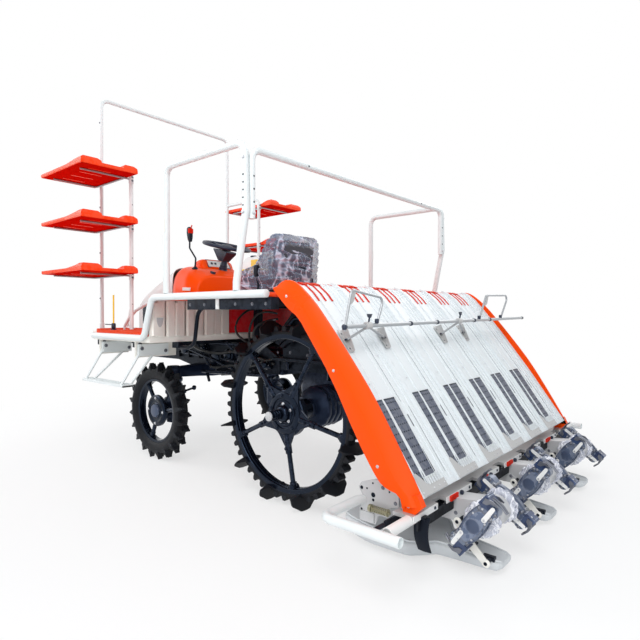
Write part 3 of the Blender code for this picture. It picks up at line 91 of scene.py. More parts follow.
ROTOR_AXIS = (1.060, 0.220)
LANES = 6
TRAY_CENTRE_Y = -0.030
TRAY_HALF = 0.885
TRAY_LINE = ((0.262, 1.122), (0.300, 1.110), (0.345, 1.075), (0.405, 1.008), (0.519, 0.872), (0.718, 0.612),
             (0.926, 0.318))


# Shader node groups: each gives masks, colours or heights only

def new_group(name, inputs, outputs):
    """Empty node group with named float or colour sockets."""
    tree = bpy.data.node_groups.new(name, "ShaderNodeTree")
    for label, kind, value in inputs:
        socket = tree.interface.new_socket(label, in_out="INPUT", socket_type=kind)
        if value is not None:
            socket.default_value = value
    for label, kind in outputs:
        tree.interface.new_socket(label, in_out="OUTPUT", socket_type=kind)
    return tree, tree.nodes.new("NodeGroupInput"), tree.nodes.new("NodeGroupOutput")


def add(tree, kind, **settings):
    """Node with its settings and the default values of its sockets."""
    node = tree.nodes.new(kind)
    for key, value in settings.items():
        if key.startswith("in_"):
            index = key[3:]
            node.inputs[int(index) if index.isdigit() else index].default_value = value
        else:
            setattr(node, key, value)
    return node


def math_node(tree, operation, a, b=0.0, clamp=False):
    """Math node whose two inputs are sockets or numbers."""
    node = tree.nodes.new("ShaderNodeMath")
    node.operation = operation
    node.use_clamp = clamp
    for socket, value in zip(node.inputs, (a, b)):
        if isinstance(value, (int, float)):
            socket.default_value = value
        else:
            tree.links.new(value, socket)
    return node.outputs[0]


def mix_colour(tree, share, a, b):
    """Colour between a and b by a share socket."""
    node = tree.nodes.new("ShaderNodeMix")
    node.data_type = "RGBA"
    for socket, value in ((node.inputs[0], share), (node.inputs[6], a), (node.inputs[7], b)):
        if isinstance(value, (int, float)):
            socket.default_value = value
        elif isinstance(value, tuple):
            socket.default_value = (*value, 1.0)
        else:
            tree.links.new(value, socket)
    return node.outputs[2]


def noise(tree, scale, detail=4.0, roughness=0.55, stretch=None):
    """Noise over the piece's own coordinates, drawn out along an axis where asked."""
    place = tree.nodes.new("ShaderNodeTexCoord").outputs["Object"]
    if stretch:
        mapping = add(tree, "ShaderNodeMapping")
        mapping.inputs["Scale"].default_value = stretch
        tree.links.new(place, mapping.inputs["Vector"])
        place = mapping.outputs["Vector"]
    node = add(tree, "ShaderNodeTexNoise", in_Scale=scale, in_Detail=detail, in_Roughness=roughness)
    tree.links.new(place, node.inputs["Vector"])
    return node.outputs["Fac"]


def make_wear_and_glint_group():
    """Edge marks and dust: pointiness by noise gives the edges, rubbed on most finishes and a painted
    highlight on the castings; noise on up-facing ground gives the dust.
    """
    tree, source, result = new_group(
        "edge_wear_and_glint_and_dust",
        [("Wear", "NodeSocketFloat", 0.3), ("Dust", "NodeSocketFloat", 0.2)],
        [("Wear", "NodeSocketFloat"), ("Dust", "NodeSocketFloat")])
    geometry = tree.nodes.new("ShaderNodeNewGeometry")
    edge = math_node(tree, "SUBTRACT", geometry.outputs["Pointiness"], 0.53)
    edge = math_node(tree, "MULTIPLY", edge, 9.0, clamp=True)
    patch = math_node(tree, "GREATER_THAN", noise(tree, 34.0), 0.47)
    edge = math_node(tree, "MULTIPLY", edge, patch)
    tree.links.new(math_node(tree, "MULTIPLY", edge, source.outputs["Wear"]), result.inputs["Wear"])
    split = tree.nodes.new("ShaderNodeSeparateXYZ")
    tree.links.new(geometry.outputs["Normal"], split.inputs[0])
    up = math_node(tree, "MULTIPLY", split.outputs["Z"], 0.8, clamp=True)
    cloud = math_node(tree, "MULTIPLY", noise(tree, 9.0, 6.0, 0.65), up)
    tree.links.new(math_node(tree, "MULTIPLY", cloud, source.outputs["Dust"]), result.inputs["Dust"])
    return tree


def make_finish_group():
    """Cloudy tone and a fine skin: slow noise shifts the tone, two finer ones make the height."""
    tree, source, result = new_group(
        "tone_and_skin",
        [("Colour", "NodeSocketColor", (0.8, 0.8, 0.8, 1.0)), ("Tone", "NodeSocketFloat", 0.06),
         ("Grain", "NodeSocketFloat", 0.5), ("Scale", "NodeSocketFloat", 400.0)],
        [("Colour", "NodeSocketColor"), ("Height", "NodeSocketFloat"), ("Cloud", "NodeSocketFloat")])
    cloud = noise(tree, 3.2, 5.0, 0.6)
    shift = math_node(tree, "SUBTRACT", cloud, 0.5)
    shift = math_node(tree, "MULTIPLY", shift, source.outputs["Tone"])
    shift = math_node(tree, "MULTIPLY", shift, 2.0)
    value = add(tree, "ShaderNodeHueSaturation")
    tree.links.new(source.outputs["Colour"], value.inputs["Color"])
    tree.links.new(math_node(tree, "ADD", shift, 1.0), value.inputs["Value"])
    tree.links.new(value.outputs["Color"], result.inputs["Colour"])
    place = tree.nodes.new("ShaderNodeTexCoord").outputs["Object"]
    fine = add(tree, "ShaderNodeTexNoise", in_Detail=3.0, in_Roughness=0.6)
    tree.links.new(place, fine.inputs["Vector"])
    tree.links.new(source.outputs["Scale"], fine.inputs["Scale"])
    peel = math_node(tree, "MULTIPLY", noise(tree, 60.0, 2.0), 0.6)
    grain = math_node(tree, "MULTIPLY", fine.outputs["Fac"], source.outputs["Grain"])
    tree.links.new(math_node(tree, "ADD", peel, grain), result.inputs["Height"])
    tree.links.new(cloud, result.inputs["Cloud"])
    return tree


def make_scratch_group():
    """Thin drawn-out scratches: stretched noise, kept where it crosses its own middle."""
    tree, source, result = new_group(
        "fine_scratches", [("Amount", "NodeSocketFloat", 0.4)], [("Mask", "NodeSocketFloat")])
    long_noise = noise(tree, 60.0, 3.0, 0.5, stretch=(0.12, 0.9, 1.6))
    line = math_node(tree, "SUBTRACT", long_noise, 0.5)
    line = math_node(tree, "ABSOLUTE", line)
    line = math_node(tree, "LESS_THAN", line, 0.006)
    gate = math_node(tree, "GREATER_THAN", noise(tree, 5.0), 0.55)
    line = math_node(tree, "MULTIPLY", line, gate)
    tree.links.new(math_node(tree, "MULTIPLY", line, source.outputs["Amount"]), result.inputs["Mask"])
    return tree


WEAR_AND_GLINT = make_wear_and_glint_group()
FINISH = make_finish_group()
SCRATCH = make_scratch_group()


def use_group(tree, group, **values):
    node = tree.nodes.new("ShaderNodeGroup")
    node.node_tree = group
    for key, value in values.items():
        node.inputs[key].default_value = (*value, 1.0) if isinstance(value, tuple) else value
    return node


def finish_material(name, colour, roughness, metallic=0.0, wear_and_glint_colour=(0.5, 0.5, 0.5), wear_and_glint=0.25,
                    dust=0.15, tone=0.05, grain=0.4, scale=400.0, bump=0.12, scratch=0.3, coat=0.0,
                    dust_colour=(0.62, 0.58, 0.52), shine=0.5, tint=None):
    """Painted, cast or moulded finish: toned colour, rubbed edges (a painted edge highlight on the
    castings), dust, scratches and a fine skin.
    """
    material = bpy.data.materials.new(name)
    material.use_nodes = True
    tree = material.node_tree
    shader = tree.nodes["Principled BSDF"]
    skin = use_group(tree, FINISH, Colour=colour, Tone=tone, Grain=grain, Scale=scale)
    edge_marks = use_group(tree, WEAR_AND_GLINT, Wear=wear_and_glint, Dust=dust)
    lines = use_group(tree, SCRATCH, Amount=scratch)
    shade = mix_colour(tree, edge_marks.outputs["Dust"], skin.outputs["Colour"], dust_colour)
    shade = mix_colour(tree, edge_marks.outputs["Wear"], shade, wear_and_glint_colour)
    tree.links.new(shade, shader.inputs["Base Color"])
    rough = math_node(tree, "MULTIPLY", skin.outputs["Cloud"], 0.16)
    rough = math_node(tree, "ADD", rough, roughness - 0.08)
    rough = math_node(tree, "ADD", rough, math_node(tree, "MULTIPLY", edge_marks.outputs["Dust"], 0.5))
    rough = math_node(tree, "ADD", rough, math_node(tree, "MULTIPLY", lines.outputs["Mask"], 0.25),
                      clamp=True)
    tree.links.new(rough, shader.inputs["Roughness"])
    shader.inputs["Metallic"].default_value = metallic
    shader.inputs["Coat Weight"].default_value = coat
    shader.inputs["Specular IOR Level"].default_value = shine
    if tint:
        shader.inputs["Specular Tint"].default_value = (*tint, 1.0)
    shader.inputs["Coat Roughness"].default_value = 0.12
    height = math_node(tree, "SUBTRACT", skin.outputs["Height"],
                       math_node(tree, "MULTIPLY", lines.outputs["Mask"], 0.4))
    relief = add(tree, "ShaderNodeBump", in_Strength=bump, in_Distance=0.0006)
    tree.links.new(height, relief.inputs["Height"])
    tree.links.new(relief.outputs["Normal"], shader.inputs["Normal"])
    return material


M = {"white_tube": finish_material("white_powder_coat", (0.755, 0.800, 0.805), 0.34, wear_and_glint=0.05, dust=0.05,
                                   coat=0.1, dust_colour=(0.66, 0.62, 0.56)),
     "cream": finish_material("cream_moulding", (0.88, 0.86, 0.80), 0.42, wear_and_glint=0.05, dust=0.10, grain=0.9,
                              scale=700.0), "hood": finish_material("pearl_grey_moulding",
        (0.66, 0.65, 0.645), 0.33, shine=0.35, wear_and_glint=0.05, dust=0.08, grain=0.5, coat=0.3),
     "orange": finish_material("orange_gloss_plastic", (0.95, 0.075, 0.0), 0.30,
                               wear_and_glint_colour=(0.95, 0.30, 0.12), wear_and_glint=0.18, dust=0.0, tone=0.03, shine=0.14,
                               dust_colour=(0.85, 0.35, 0.2)),
     "red_orange": finish_material("red_orange_plastic", (0.66, 0.018, 0.006), 0.40,
                                   wear_and_glint_colour=(0.90, 0.22, 0.12), shine=0.02, wear_and_glint=0.2, dust=0.0,
                                   tone=0.05, dust_colour=(0.8, 0.45, 0.35)),
     "mat": finish_material("orange_rubber_mat", (0.78, 0.060, 0.010), 0.55, shine=0.05, wear_and_glint=0.05,
                            dust=0.10, grain=1.0, dust_colour=(0.62, 0.42, 0.33)),
     "red": finish_material("red_panel", (0.80, 0.010, 0.018), 0.36, wear_and_glint=0.1, dust=0.0, shine=0.3),
     "black_gloss": finish_material("black_gloss_enamel", (0.003, 0.004, 0.008), 0.17, shine=0.34,
                                    tint=(0.42, 0.62, 1.0), wear_and_glint_colour=(0.10, 0.12, 0.18), wear_and_glint=0.35,
                                    dust=0.01, dust_colour=(0.05, 0.055, 0.065)),
     # The black finish is real black paint, and also painted shade where it fills holes, slots, pockets and
     # vents
     "black": finish_material("black_paint_and_opening_shade", (0.005, 0.006, 0.010), 0.38, shine=0.2,
                              tint=(0.6, 0.75, 1.0), wear_and_glint_colour=(0.10, 0.12, 0.16), wear_and_glint=0.3, dust=0.04,
                              dust_colour=(0.05, 0.05, 0.055)), "navy": finish_material("navy_casting",
        (0.006, 0.010, 0.024), 0.34, metallic=0.05, shine=0.3, tint=(0.45, 0.62, 1.0),
        wear_and_glint_colour=(0.16, 0.20, 0.30), wear_and_glint=0.5, dust=0.03, grain=1.0, scale=220.0, bump=0.3,
        # The casting's pale edge colour is a painted highlight along its edges
        dust_colour=(0.08, 0.09, 0.12)), "casting": finish_material("blue_grey_casting",
        (0.062, 0.085, 0.145), 0.30, metallic=0.30, wear_and_glint_colour=(0.60, 0.66, 0.78), wear_and_glint=1.0, dust=0.0,
        grain=1.0, scale=240.0, bump=0.3, dust_colour=(0.35, 0.36, 0.38)),
     # The black rubber finish also colours the painted shadow strip under the sheet's lip
     "rubber": finish_material("black_rubber_and_lip_shadow", (0.006, 0.007, 0.010), 0.55, shine=0.22,
                               wear_and_glint_colour=(0.07, 0.08, 0.10), wear_and_glint=0.4, dust=0.06, grain=1.0, scale=260.0,
                               bump=0.3, dust_colour=(0.06, 0.06, 0.065)),
     "steel": finish_material("zinc_steel", (0.62, 0.63, 0.66), 0.28, metallic=0.95, wear_and_glint=0.2, dust=0.05,
                              scratch=0.8), "dark_steel": finish_material("dark_steel", (0.16, 0.17, 0.20),
        0.34, metallic=0.8, wear_and_glint_colour=(0.5, 0.5, 0.55), wear_and_glint=0.4, dust=0.05),
     "tray": finish_material("tray_sheet", (0.745, 0.785, 0.805), 0.36, wear_and_glint=0.0, dust=0.0, tone=0.02,
                             scratch=0.0, bump=0.05), "float": finish_material("float_moulding",
        (0.62, 0.65, 0.67), 0.44, wear_and_glint=0.05, dust=0.08, grain=0.8), "grip": finish_material("grip_plastic",
        (0.013, 0.020, 0.042), 0.38, shine=0.3, wear_and_glint_colour=(0.15, 0.18, 0.24), wear_and_glint=0.3, dust=0.04,
        grain=1.0, scale=500.0, bump=0.2), "yellow": finish_material("yellow_plastic", (0.90, 0.62, 0.02),
        0.35, wear_and_glint=0.1, dust=0.05), "teal": finish_material("teal_plastic", (0.10, 0.36, 0.42), 0.4,
        wear_and_glint=0.1, dust=0.05), "white": finish_material("white_moulding", (0.83, 0.83, 0.82), 0.35,
        wear_and_glint=0.05, dust=0.06), "hose": finish_material("black_hose", (0.012, 0.013, 0.015), 0.42, wear_and_glint=0.05,
        dust=0.05), "belt": finish_material("feed_belt", (0.070, 0.085, 0.130), 0.5, wear_and_glint=0.1, dust=0.04,
                                            grain=1.0, dust_colour=(0.25, 0.26, 0.3)),
     "rod_grey": finish_material("rod_grey", (0.40, 0.42, 0.44), 0.32, metallic=0.6, wear_and_glint=0.2, dust=0.03),
     "cap": finish_material("navy_cap", (0.008, 0.022, 0.075), 0.32, wear_and_glint_colour=(0.15, 0.22, 0.4),
                            wear_and_glint=0.4, dust=0.02, coat=0.2),
     # The light grey finish is real enamel, and also painted shade in the riser's handle recesses
     "light_grey": finish_material("light_grey_enamel_and_recess_shade", (0.52, 0.525, 0.535), 0.36, wear_and_glint=0.2, dust=0.08,
                                   grain=0.8, scale=300.0), "foot_grey": finish_material("zinc_foot_plate",
        (0.50, 0.50, 0.50), 0.34, metallic=0.35, wear_and_glint=0.2, dust=0.05),
     "pan": finish_material("tray_carrier_plastic", (0.95, 0.055, 0.008), 0.38,
                            wear_and_glint_colour=(0.95, 0.32, 0.2), shine=0.12, wear_and_glint=0.3, dust=0.0, tone=0.04),
     # Painted shade: the carrier's underside takes a darker red than the same plastic on top
     "pan_underside_shade": finish_material("tray_carrier_underside_shade", (0.62, 0.004, 0.001), 0.5,
                                  wear_and_glint_colour=(0.8, 0.1, 0.05), shine=0.0, wear_and_glint=0.1, dust=0.0, tone=0.08),
     # The slate casting's pale edge colour is a painted highlight along its edges
     "slate": finish_material("slate_casting", (0.115, 0.150, 0.235), 0.26, metallic=0.4,
                              wear_and_glint_colour=(0.65, 0.7, 0.8), wear_and_glint=0.9, dust=0.0, grain=1.0, scale=240.0,
                              bump=0.3), "olive": finish_material("passivated_spring", (0.36, 0.34, 0.22),
        0.3, metallic=0.85, wear_and_glint=0.3, dust=0.05),}


def film_material(name, colour, base_alpha, scale, crease_highlight_colour=(0.95, 0.96, 1.0), width=16.0, cover=0.55):
    """Clear wrapping film: see-through between its creases, which are thin pale lines of folded noise
    painted as highlights.
    """
    material = bpy.data.materials.new(name)
    material.use_nodes = True
    tree = material.node_tree
    shader = tree.nodes["Principled BSDF"]
    shader.inputs["Roughness"].default_value = 0.12
    shader.inputs["IOR"].default_value = 1.35
    fold = math_node(tree, "ABSOLUTE",
                     math_node(tree, "SUBTRACT", noise(tree, scale, 2.0, 0.5, stretch=(1.0, 0.8, 0.45)),
                               0.5))
    crease = math_node(tree, "SUBTRACT", 1.0, math_node(tree, "MULTIPLY", fold, width), clamp=True)
    second = math_node(tree, "ABSOLUTE", math_node(tree, "SUBTRACT", noise(tree, scale * 1.7, 1.0, 0.5),
            0.47))
    second = math_node(tree, "SUBTRACT", 0.8, math_node(tree, "MULTIPLY", second, width * 1.4), clamp=True)
    crease = math_node(tree, "ADD", crease, second, clamp=True)
    # Painted highlight: the crease lines take the pale highlight colour
    tree.links.new(mix_colour(tree, crease, colour, crease_highlight_colour), shader.inputs["Base Color"])
    relief = add(tree, "ShaderNodeBump", in_Strength=0.6, in_Distance=0.005)
    tree.links.new(math_node(tree, "ADD", crease, noise(tree, scale * 0.6, 2.0)), relief.inputs["Height"])
    tree.links.new(relief.outputs["Normal"], shader.inputs["Normal"])
    cloud = math_node(tree, "MULTIPLY", math_node(tree, "SUBTRACT", noise(tree, scale * 0.5, 2.0), 0.5),
                      0.8)
    alpha = math_node(tree, "ADD", math_node(tree, "MULTIPLY", crease, cover), base_alpha)
    tree.links.new(math_node(tree, "ADD", alpha, cloud, clamp=True), shader.inputs["Alpha"])
    return material


# Both films' pale crease colours are painted highlights
M["film"] = film_material("clear_film", (0.80, 0.83, 0.95), 0.50, 26.0)
M["seat_film"] = film_material("seat_film", (0.20, 0.25, 0.36), 0.52, 7.0, (0.62, 0.70, 0.86), 30.0, 0.34)
M["vinyl"] = finish_material("seat_vinyl", (0.030, 0.034, 0.050), 0.42, wear_and_glint_colour=(0.16, 0.17, 0.2),
                             wear_and_glint=0.3, dust=0.05, grain=1.4, scale=320.0, bump=0.5, scratch=0.0)


# Mesh parts: (points, faces) pairs, in metres from the rear axle's line

def part(points, faces):
    return np.asarray(points, float).reshape(-1, 3), [tuple(f) for f in faces]


def grid(points, wrap_u=False, wrap_v=False, cap=False):
    """Skin over a (u, v) grid of points, wrapped round where asked, its ends capped."""
    nu, nv = points.shape[:2]
    u = np.arange(nu if wrap_u else nu - 1)
    v = np.arange(nv if wrap_v else nv - 1)
    a, b = np.meshgrid(u, v, indexing="ij")
    a, b = a.ravel(), b.ravel()
    c, d = (a + 1) % nu, (b + 1) % nv
    faces = np.stack([a * nv + b, a * nv + d, c * nv + d, c * nv + b], 1).tolist()
    if cap:
        faces.append(list(range(nv))[::-1])
        faces.append([(nu - 1) * nv + k for k in range(nv)])
    return part(points, faces)


def bent(points, radius, steps=6):
    """Polyline whose corners become arcs of one radius between the two tangent points."""
    points = [Vector(p) for p in points]
    path = [points[0]]
    for before, corner, after in zip(points, points[1:], points[2:]):
        back, ahead = (before - corner), (after - corner)
        half = back.angle(ahead) / 2
        if half > math.radians(88.5) or radius <= 0:
            path.append(corner)
            continue
        reach = min(radius / math.tan(half), 0.49 * min(back.length, ahead.length))
        arc = reach * math.tan(half)
        middle = corner + (back.normalized() + ahead.normalized()).normalized() * (arc / math.sin(half))
        start = corner + back.normalized() * reach - middle
        end = corner + ahead.normalized() * reach - middle
        total = start.angle(end)
        for k in range(steps + 1):
            t = k / steps
            path.append(middle + (start * math.sin((1 - t) * total) + end * math.sin(t * total)) /
                        math.sin(total))
    path.append(points[-1])
    return np.array([tuple(p) for p in path])


def carried(path, outline, reference=(0.0, 0.0, 1.0), wrap=False, cap=True, sizes=None):
    """Outline carried along a path: each ring lies square to it, turned by one reference direction."""
    path = np.asarray(path, float)
    outline = np.asarray(outline, float)
    ahead = np.roll(path, -1, 0) - np.roll(path, 1, 0)
    if not wrap:
        ahead[0], ahead[-1] = path[1] - path[0], path[-1] - path[-2]
    ahead /= np.linalg.norm(ahead, axis=1)[:, None]
    across = np.cross(np.asarray(reference, float), ahead)
    across /= np.linalg.norm(across, axis=1)[:, None]
    up = np.cross(ahead, across)
    scale = np.ones(len(path)) if sizes is None else np.asarray(sizes, float)
    rings = (path[:, None] + (across[:, None] * outline[None, :, :1] + up[:, None] * outline[None, :, 1:]) *
             scale[:, None, None])
    return grid(rings, wrap_u=wrap, wrap_v=True, cap=cap and not wrap)


def circle(radius, sides=16):
    a = np.linspace(0, 2 * np.pi, sides, endpoint=False)
    return np.stack([np.cos(a), np.sin(a)], 1) * radius


def reference_for(path):
    """Direction least in line with any stretch of the path."""
    steps = np.diff(np.asarray(path, float), axis=0)
    steps /= np.linalg.norm(steps, axis=1)[:, None]
    worst = np.abs(steps).max(0)
    return np.eye(3)[int(np.argmin(worst))]


def bar(points, radius, bend=0.05, sides=16, steps=6, sizes=None, outline=None):
    """Round bar along a bent polyline."""
    path = bent(points, bend, steps)
    reference = reference_for(path)
    return carried(path, circle(radius, sides) if outline is None else outline, reference, sizes=sizes)


def turned(centre, axis, profile, sides=32, start=0.0):
    """Solid of revolution: (radius, distance) profile turned about the axis through the centre."""
    axis = np.asarray(axis, float) / np.linalg.norm(axis)
    one = np.cross(axis, (0.0, 0.0, 1.0) if abs(axis[2]) < 0.9 else (1.0, 0.0, 0.0))
    one /= np.linalg.norm(one)
    two = np.cross(axis, one)
    a = start + np.linspace(0, 2 * np.pi, sides, endpoint=False)
    profile = np.asarray(profile, float)
    rounds = np.cos(a)[:, None] * one + np.sin(a)[:, None] * two
    rings = np.asarray(centre, float) + profile[:, None, :1] * rounds[None] + profile[:, None, 1:] * axis
    return grid(rings, wrap_v=True, cap=True)


def plate(outline, low, high, axis="y"):
    """Flat outline of two coordinates carried straight between two places on the third axis."""
    outline = np.asarray(outline, float)
    rings = np.zeros((2, len(outline), 3))
    first, second, third = {"x": (1, 2, 0), "y": (0, 2, 1), "z": (0, 1, 2)}[axis]
    rings[:, :, first] = outline[:, 0]
    rings[:, :, second] = outline[:, 1]
    rings[0, :, third] = low
    rings[1, :, third] = high
    return grid(rings, wrap_v=True, cap=True)


def block(x0, x1, y0, y1, z0, z1):
    x0, x1 = sorted((x0, x1))
    y0, y1 = sorted((y0, y1))
    z0, z1 = sorted((z0, z1))
    return plate([(x0, y0), (x1, y0), (x1, y1), (x0, y1)], z0, z1, "z")


def lofted(sections, cap=True):
    """Skin over sections of equal point counts."""
    return grid(np.asarray(sections, float), wrap_v=True, cap=cap)


def bolt(place, direction, size=0.008, washer=True):
    """Hexagon head on its washer, square to the surface it sits on."""
    head = turned(place, direction, [(size, 0.0), (size, size * 0.62), (size * 0.82, size * 0.8)], 6)
    if not washer:
        return [head]
    ring = turned(place, direction, [(size * 1.45, -0.001), (size * 1.45, size * 0.18),
                                     (size * 1.3, size * 0.22)], 14)
    return [ring, head]


def pin(place, direction, radius, low, high, sides):
    """Plain round pin or disc between two distances along its direction."""
    return turned(place, direction, [(radius, low), (radius, high)], sides)


def joined(parts):
    points, faces, base = [], [], 0
    for p, f in parts:
        points.append(p)
        faces += [tuple(i + base for i in face) for face in f]
        base += len(p)
    return np.concatenate(points), faces


def placed(name, data):
    """New object for mesh, light or camera data, linked to the scene."""
    obj = bpy.data.objects.new(name, data)
    bpy.context.scene.collection.objects.link(obj)
    return obj


def moved_mesh(name, points, faces):
    """Mesh of the points, moved to the row's origin."""
    points[:, 0] += SHIFT_X
    mesh = bpy.data.meshes.new(name)
    mesh.from_pydata(points.tolist(), [], faces)
    return mesh


def turn_outward(mesh):
    bm = bmesh.new()
    bm.from_mesh(mesh)
    bmesh.ops.recalc_face_normals(bm, faces=bm.faces)
    bm.to_mesh(mesh)
    bm.free()


def rounded(obj, width, segments, angle):
    """Bevel on every edge sharper than the angle in degrees."""
    rounding = obj.modifiers.new("rounded_edges", "BEVEL")
    rounding.width = width
    rounding.segments = segments
    rounding.limit_method = "ANGLE"
    rounding.angle_limit = math.radians(angle)
    rounding.harden_normals = True


def piece(name, groups, body, replaces=(), bevel=0.0, angle=40.0, segments=2):
    """One object from {finish: [parts]}: joined, shaded smooth, its sharper edges rounded by a bevel."""
    points, faces, marks = [], [], []
    base = 0
    for index, parts in enumerate(groups.values()):
        p, f = joined(parts)
        points.append(p)
        faces += [tuple(i + base for i in face) for face in f]
        marks += [index] * len(f)
        base += len(p)
    points = np.concatenate(points)
    mesh = moved_mesh(name, points, faces)
    for finish in groups:
        mesh.materials.append(M[finish])
    mesh.polygons.foreach_set("material_index", marks)
    turn_outward(mesh)
    mesh.shade_smooth()
    obj = placed(name, mesh)
    if bevel:
        rounded(obj, bevel, segments, angle)
    else:
        mesh.set_sharp_from_angle(angle=math.radians(angle))
    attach(obj, body)
    if replaces:
        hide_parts(*replaces)
    return obj


BODY_OF = {}
for body_name, members in frame["record"]["behaviour"]["bodies"].items():
    for member in members:
        BODY_OF[member] = body_name


def dress(node, finish, bevel):
    """A solid's own shape with rounded edges: its mesh copied, merged, flat faces joined, then bevelled."""
    source = NODES[node]
    bm = bmesh.new()
    bm.from_mesh(source.data)
    bmesh.ops.remove_doubles(bm, verts=bm.verts, dist=0.00005)
    bmesh.ops.dissolve_limit(bm, angle_limit=math.radians(0.5), verts=bm.verts, edges=bm.edges)
    mesh = bpy.data.meshes.new("dressed_" + node)
    bm.to_mesh(mesh)
    bm.free()
    mesh.materials.clear()
    mesh.materials.append(M[finish])
    mesh.shade_smooth()
    obj = placed("dressed_" + node, mesh)
    rounded(obj, bevel, segments=2, angle=50.0)
    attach(obj, BODY_OF[node])
    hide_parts(node)
    return obj


# Camera, floor and light

def make_camera():
    data = bpy.data.cameras.new("photo_camera")
    data.sensor_width = SENSOR
    data.lens = FOCAL_PIXELS / PHOTO_SIZE * SENSOR
    data.clip_end = 60.0
    camera = placed("photo_camera", data)
    sin_yaw, cos_yaw = math.sin(CAMERA_YAW), math.cos(CAMERA_YAW)
    sin_pitch, cos_pitch = math.sin(CAMERA_PITCH), math.cos(CAMERA_PITCH)
    ahead = Vector((-sin_yaw * cos_pitch, cos_yaw * cos_pitch, -sin_pitch))
    right = Vector((cos_yaw, sin_yaw, 0.0))
    up = right.cross(ahead)
    right, up = (right * math.cos(CAMERA_ROLL) + up * math.sin(CAMERA_ROLL),
                 up * math.cos(CAMERA_ROLL) - right * math.sin(CAMERA_ROLL))
    turn = Matrix((right, up, -ahead)).transposed()
    camera.matrix_world = Matrix.Translation(Vector(CAMERA_PLACE) + Vector((SHIFT_X, 0, 0))) @ turn.to_4x4()
    bpy.context.scene.camera = camera


FLOOR_HALF = 14.0
# Distance where the floor starts to turn white, and how fast; least share of white, and what is added
GLOW_START, GLOW_SLOPE = 1.9, 0.55
GLOW_LEAST, GLOW_GAIN = 0.62, 0.38


def make_stage():
    """Pale floor that shows white to the camera away from the machine's shadow."""
    size = FLOOR_HALF
    mesh = bpy.data.meshes.new("studio_floor")
    mesh.from_pydata([(-size, -size, 0), (size, -size, 0), (size, size, 0), (-size, size, 0)], [],
                     [(0, 1, 2, 3)])
    floor = placed("studio_floor", mesh)
    material = bpy.data.materials.new("pale_floor")
    material.use_nodes = True
    tree = material.node_tree
    shader = tree.nodes["Principled BSDF"]
    shader.inputs["Base Color"].default_value = (0.93, 0.93, 0.93, 1.0)
    shader.inputs["Roughness"].default_value = 0.9
    shader.inputs["Specular IOR Level"].default_value = 0.1
    place = tree.nodes.new("ShaderNodeTexCoord").outputs["Object"]
    reach = add(tree, "ShaderNodeVectorMath", operation="LENGTH")
    tree.links.new(place, reach.inputs[0])
    far = math_node(tree, "MULTIPLY", math_node(tree, "SUBTRACT", reach.outputs["Value"], GLOW_START),
                    GLOW_SLOPE, clamp=True)
    share = math_node(tree, "ADD", math_node(tree, "MULTIPLY", far, GLOW_GAIN), GLOW_LEAST)
    paths = tree.nodes.new("ShaderNodeLightPath")
    seen = math_node(tree, "MAXIMUM", paths.outputs["Is Camera Ray"], paths.outputs["Is Glossy Ray"])
    seen = math_node(tree, "MAXIMUM", seen, paths.outputs["Is Transmission Ray"])
    plain = add(tree, "ShaderNodeEmission")
    mix = tree.nodes.new("ShaderNodeMixShader")
    tree.links.new(math_node(tree, "MULTIPLY", share, seen), mix.inputs[0])
    tree.links.new(shader.outputs[0], mix.inputs[1])
    tree.links.new(plain.outputs[0], mix.inputs[2])
    tree.links.new(mix.outputs[0], tree.nodes["Material Output"].inputs["Surface"])
    mesh.materials.append(material)
    world = bpy.data.worlds.new("studio")
    bpy.context.scene.world = world
    world.use_nodes = True
    tree = world.node_tree
    tree.nodes.clear()
    paths = tree.nodes.new("ShaderNodeLightPath")
    seen = math_node(tree, "MAXIMUM", paths.outputs["Is Camera Ray"], paths.outputs["Is Transmission Ray"])
    seen = math_node(tree, "MAXIMUM", seen, paths.outputs["Is Glossy Ray"])
    light = add(tree, "ShaderNodeBackground")
    light.inputs["Color"].default_value = (0.93, 0.96, 1.0, 1.0)
    light.inputs["Strength"].default_value = WORLD_STRENGTH
    plain = add(tree, "ShaderNodeBackground")
    plain.inputs["Color"].default_value = (1.0, 1.0, 1.0, 1.0)
    plain.inputs["Strength"].default_value = 1.0
    mix = tree.nodes.new("ShaderNodeMixShader")
    out = tree.nodes.new("ShaderNodeOutputWorld")
    tree.links.new(seen, mix.inputs[0])
    tree.links.new(light.outputs[0], mix.inputs[1])
    tree.links.new(plain.outputs[0], mix.inputs[2])
    tree.links.new(mix.outputs[0], out.inputs[0])


WORLD_STRENGTH = 0.56
# Name, place, aim, size, watts
LAMPS = (
    ("key_softbox", (2.6, -3.6, 4.6), (-0.2, 0.0, 0.8), 3.2, 150.0),
    ("fill_softbox", (-4.2, -2.6, 3.2), (-0.6, 0.0, 0.8), 3.0, 80.0),
    ("back_softbox", (0.4, 4.2, 4.4), (-0.2, 0.0, 0.8), 3.4, 85.0),
    ("low_softbox", (2.6, -4.6, 1.3), (-0.8, -0.5, 0.8), 2.4, 34.0),
)


def make_lamps():
    for name, place, aim, size, watts in LAMPS:
        data = bpy.data.lights.new(name, "AREA")
        data.size = size
        data.energy = watts
        lamp = placed(name, data)
        lamp.location = place
        lamp.rotation_mode = "QUATERNION"
        lamp.rotation_quaternion = (Vector(aim) - Vector(place)).to_track_quat("-Z", "Y")


make_camera()
make_stage()
make_lamps()
bpy.context.scene.view_settings.view_transform = "Standard"


# White tube work

def side_point(points, side):
    return [(x, side * abs(y), z) for x, y, z in points]


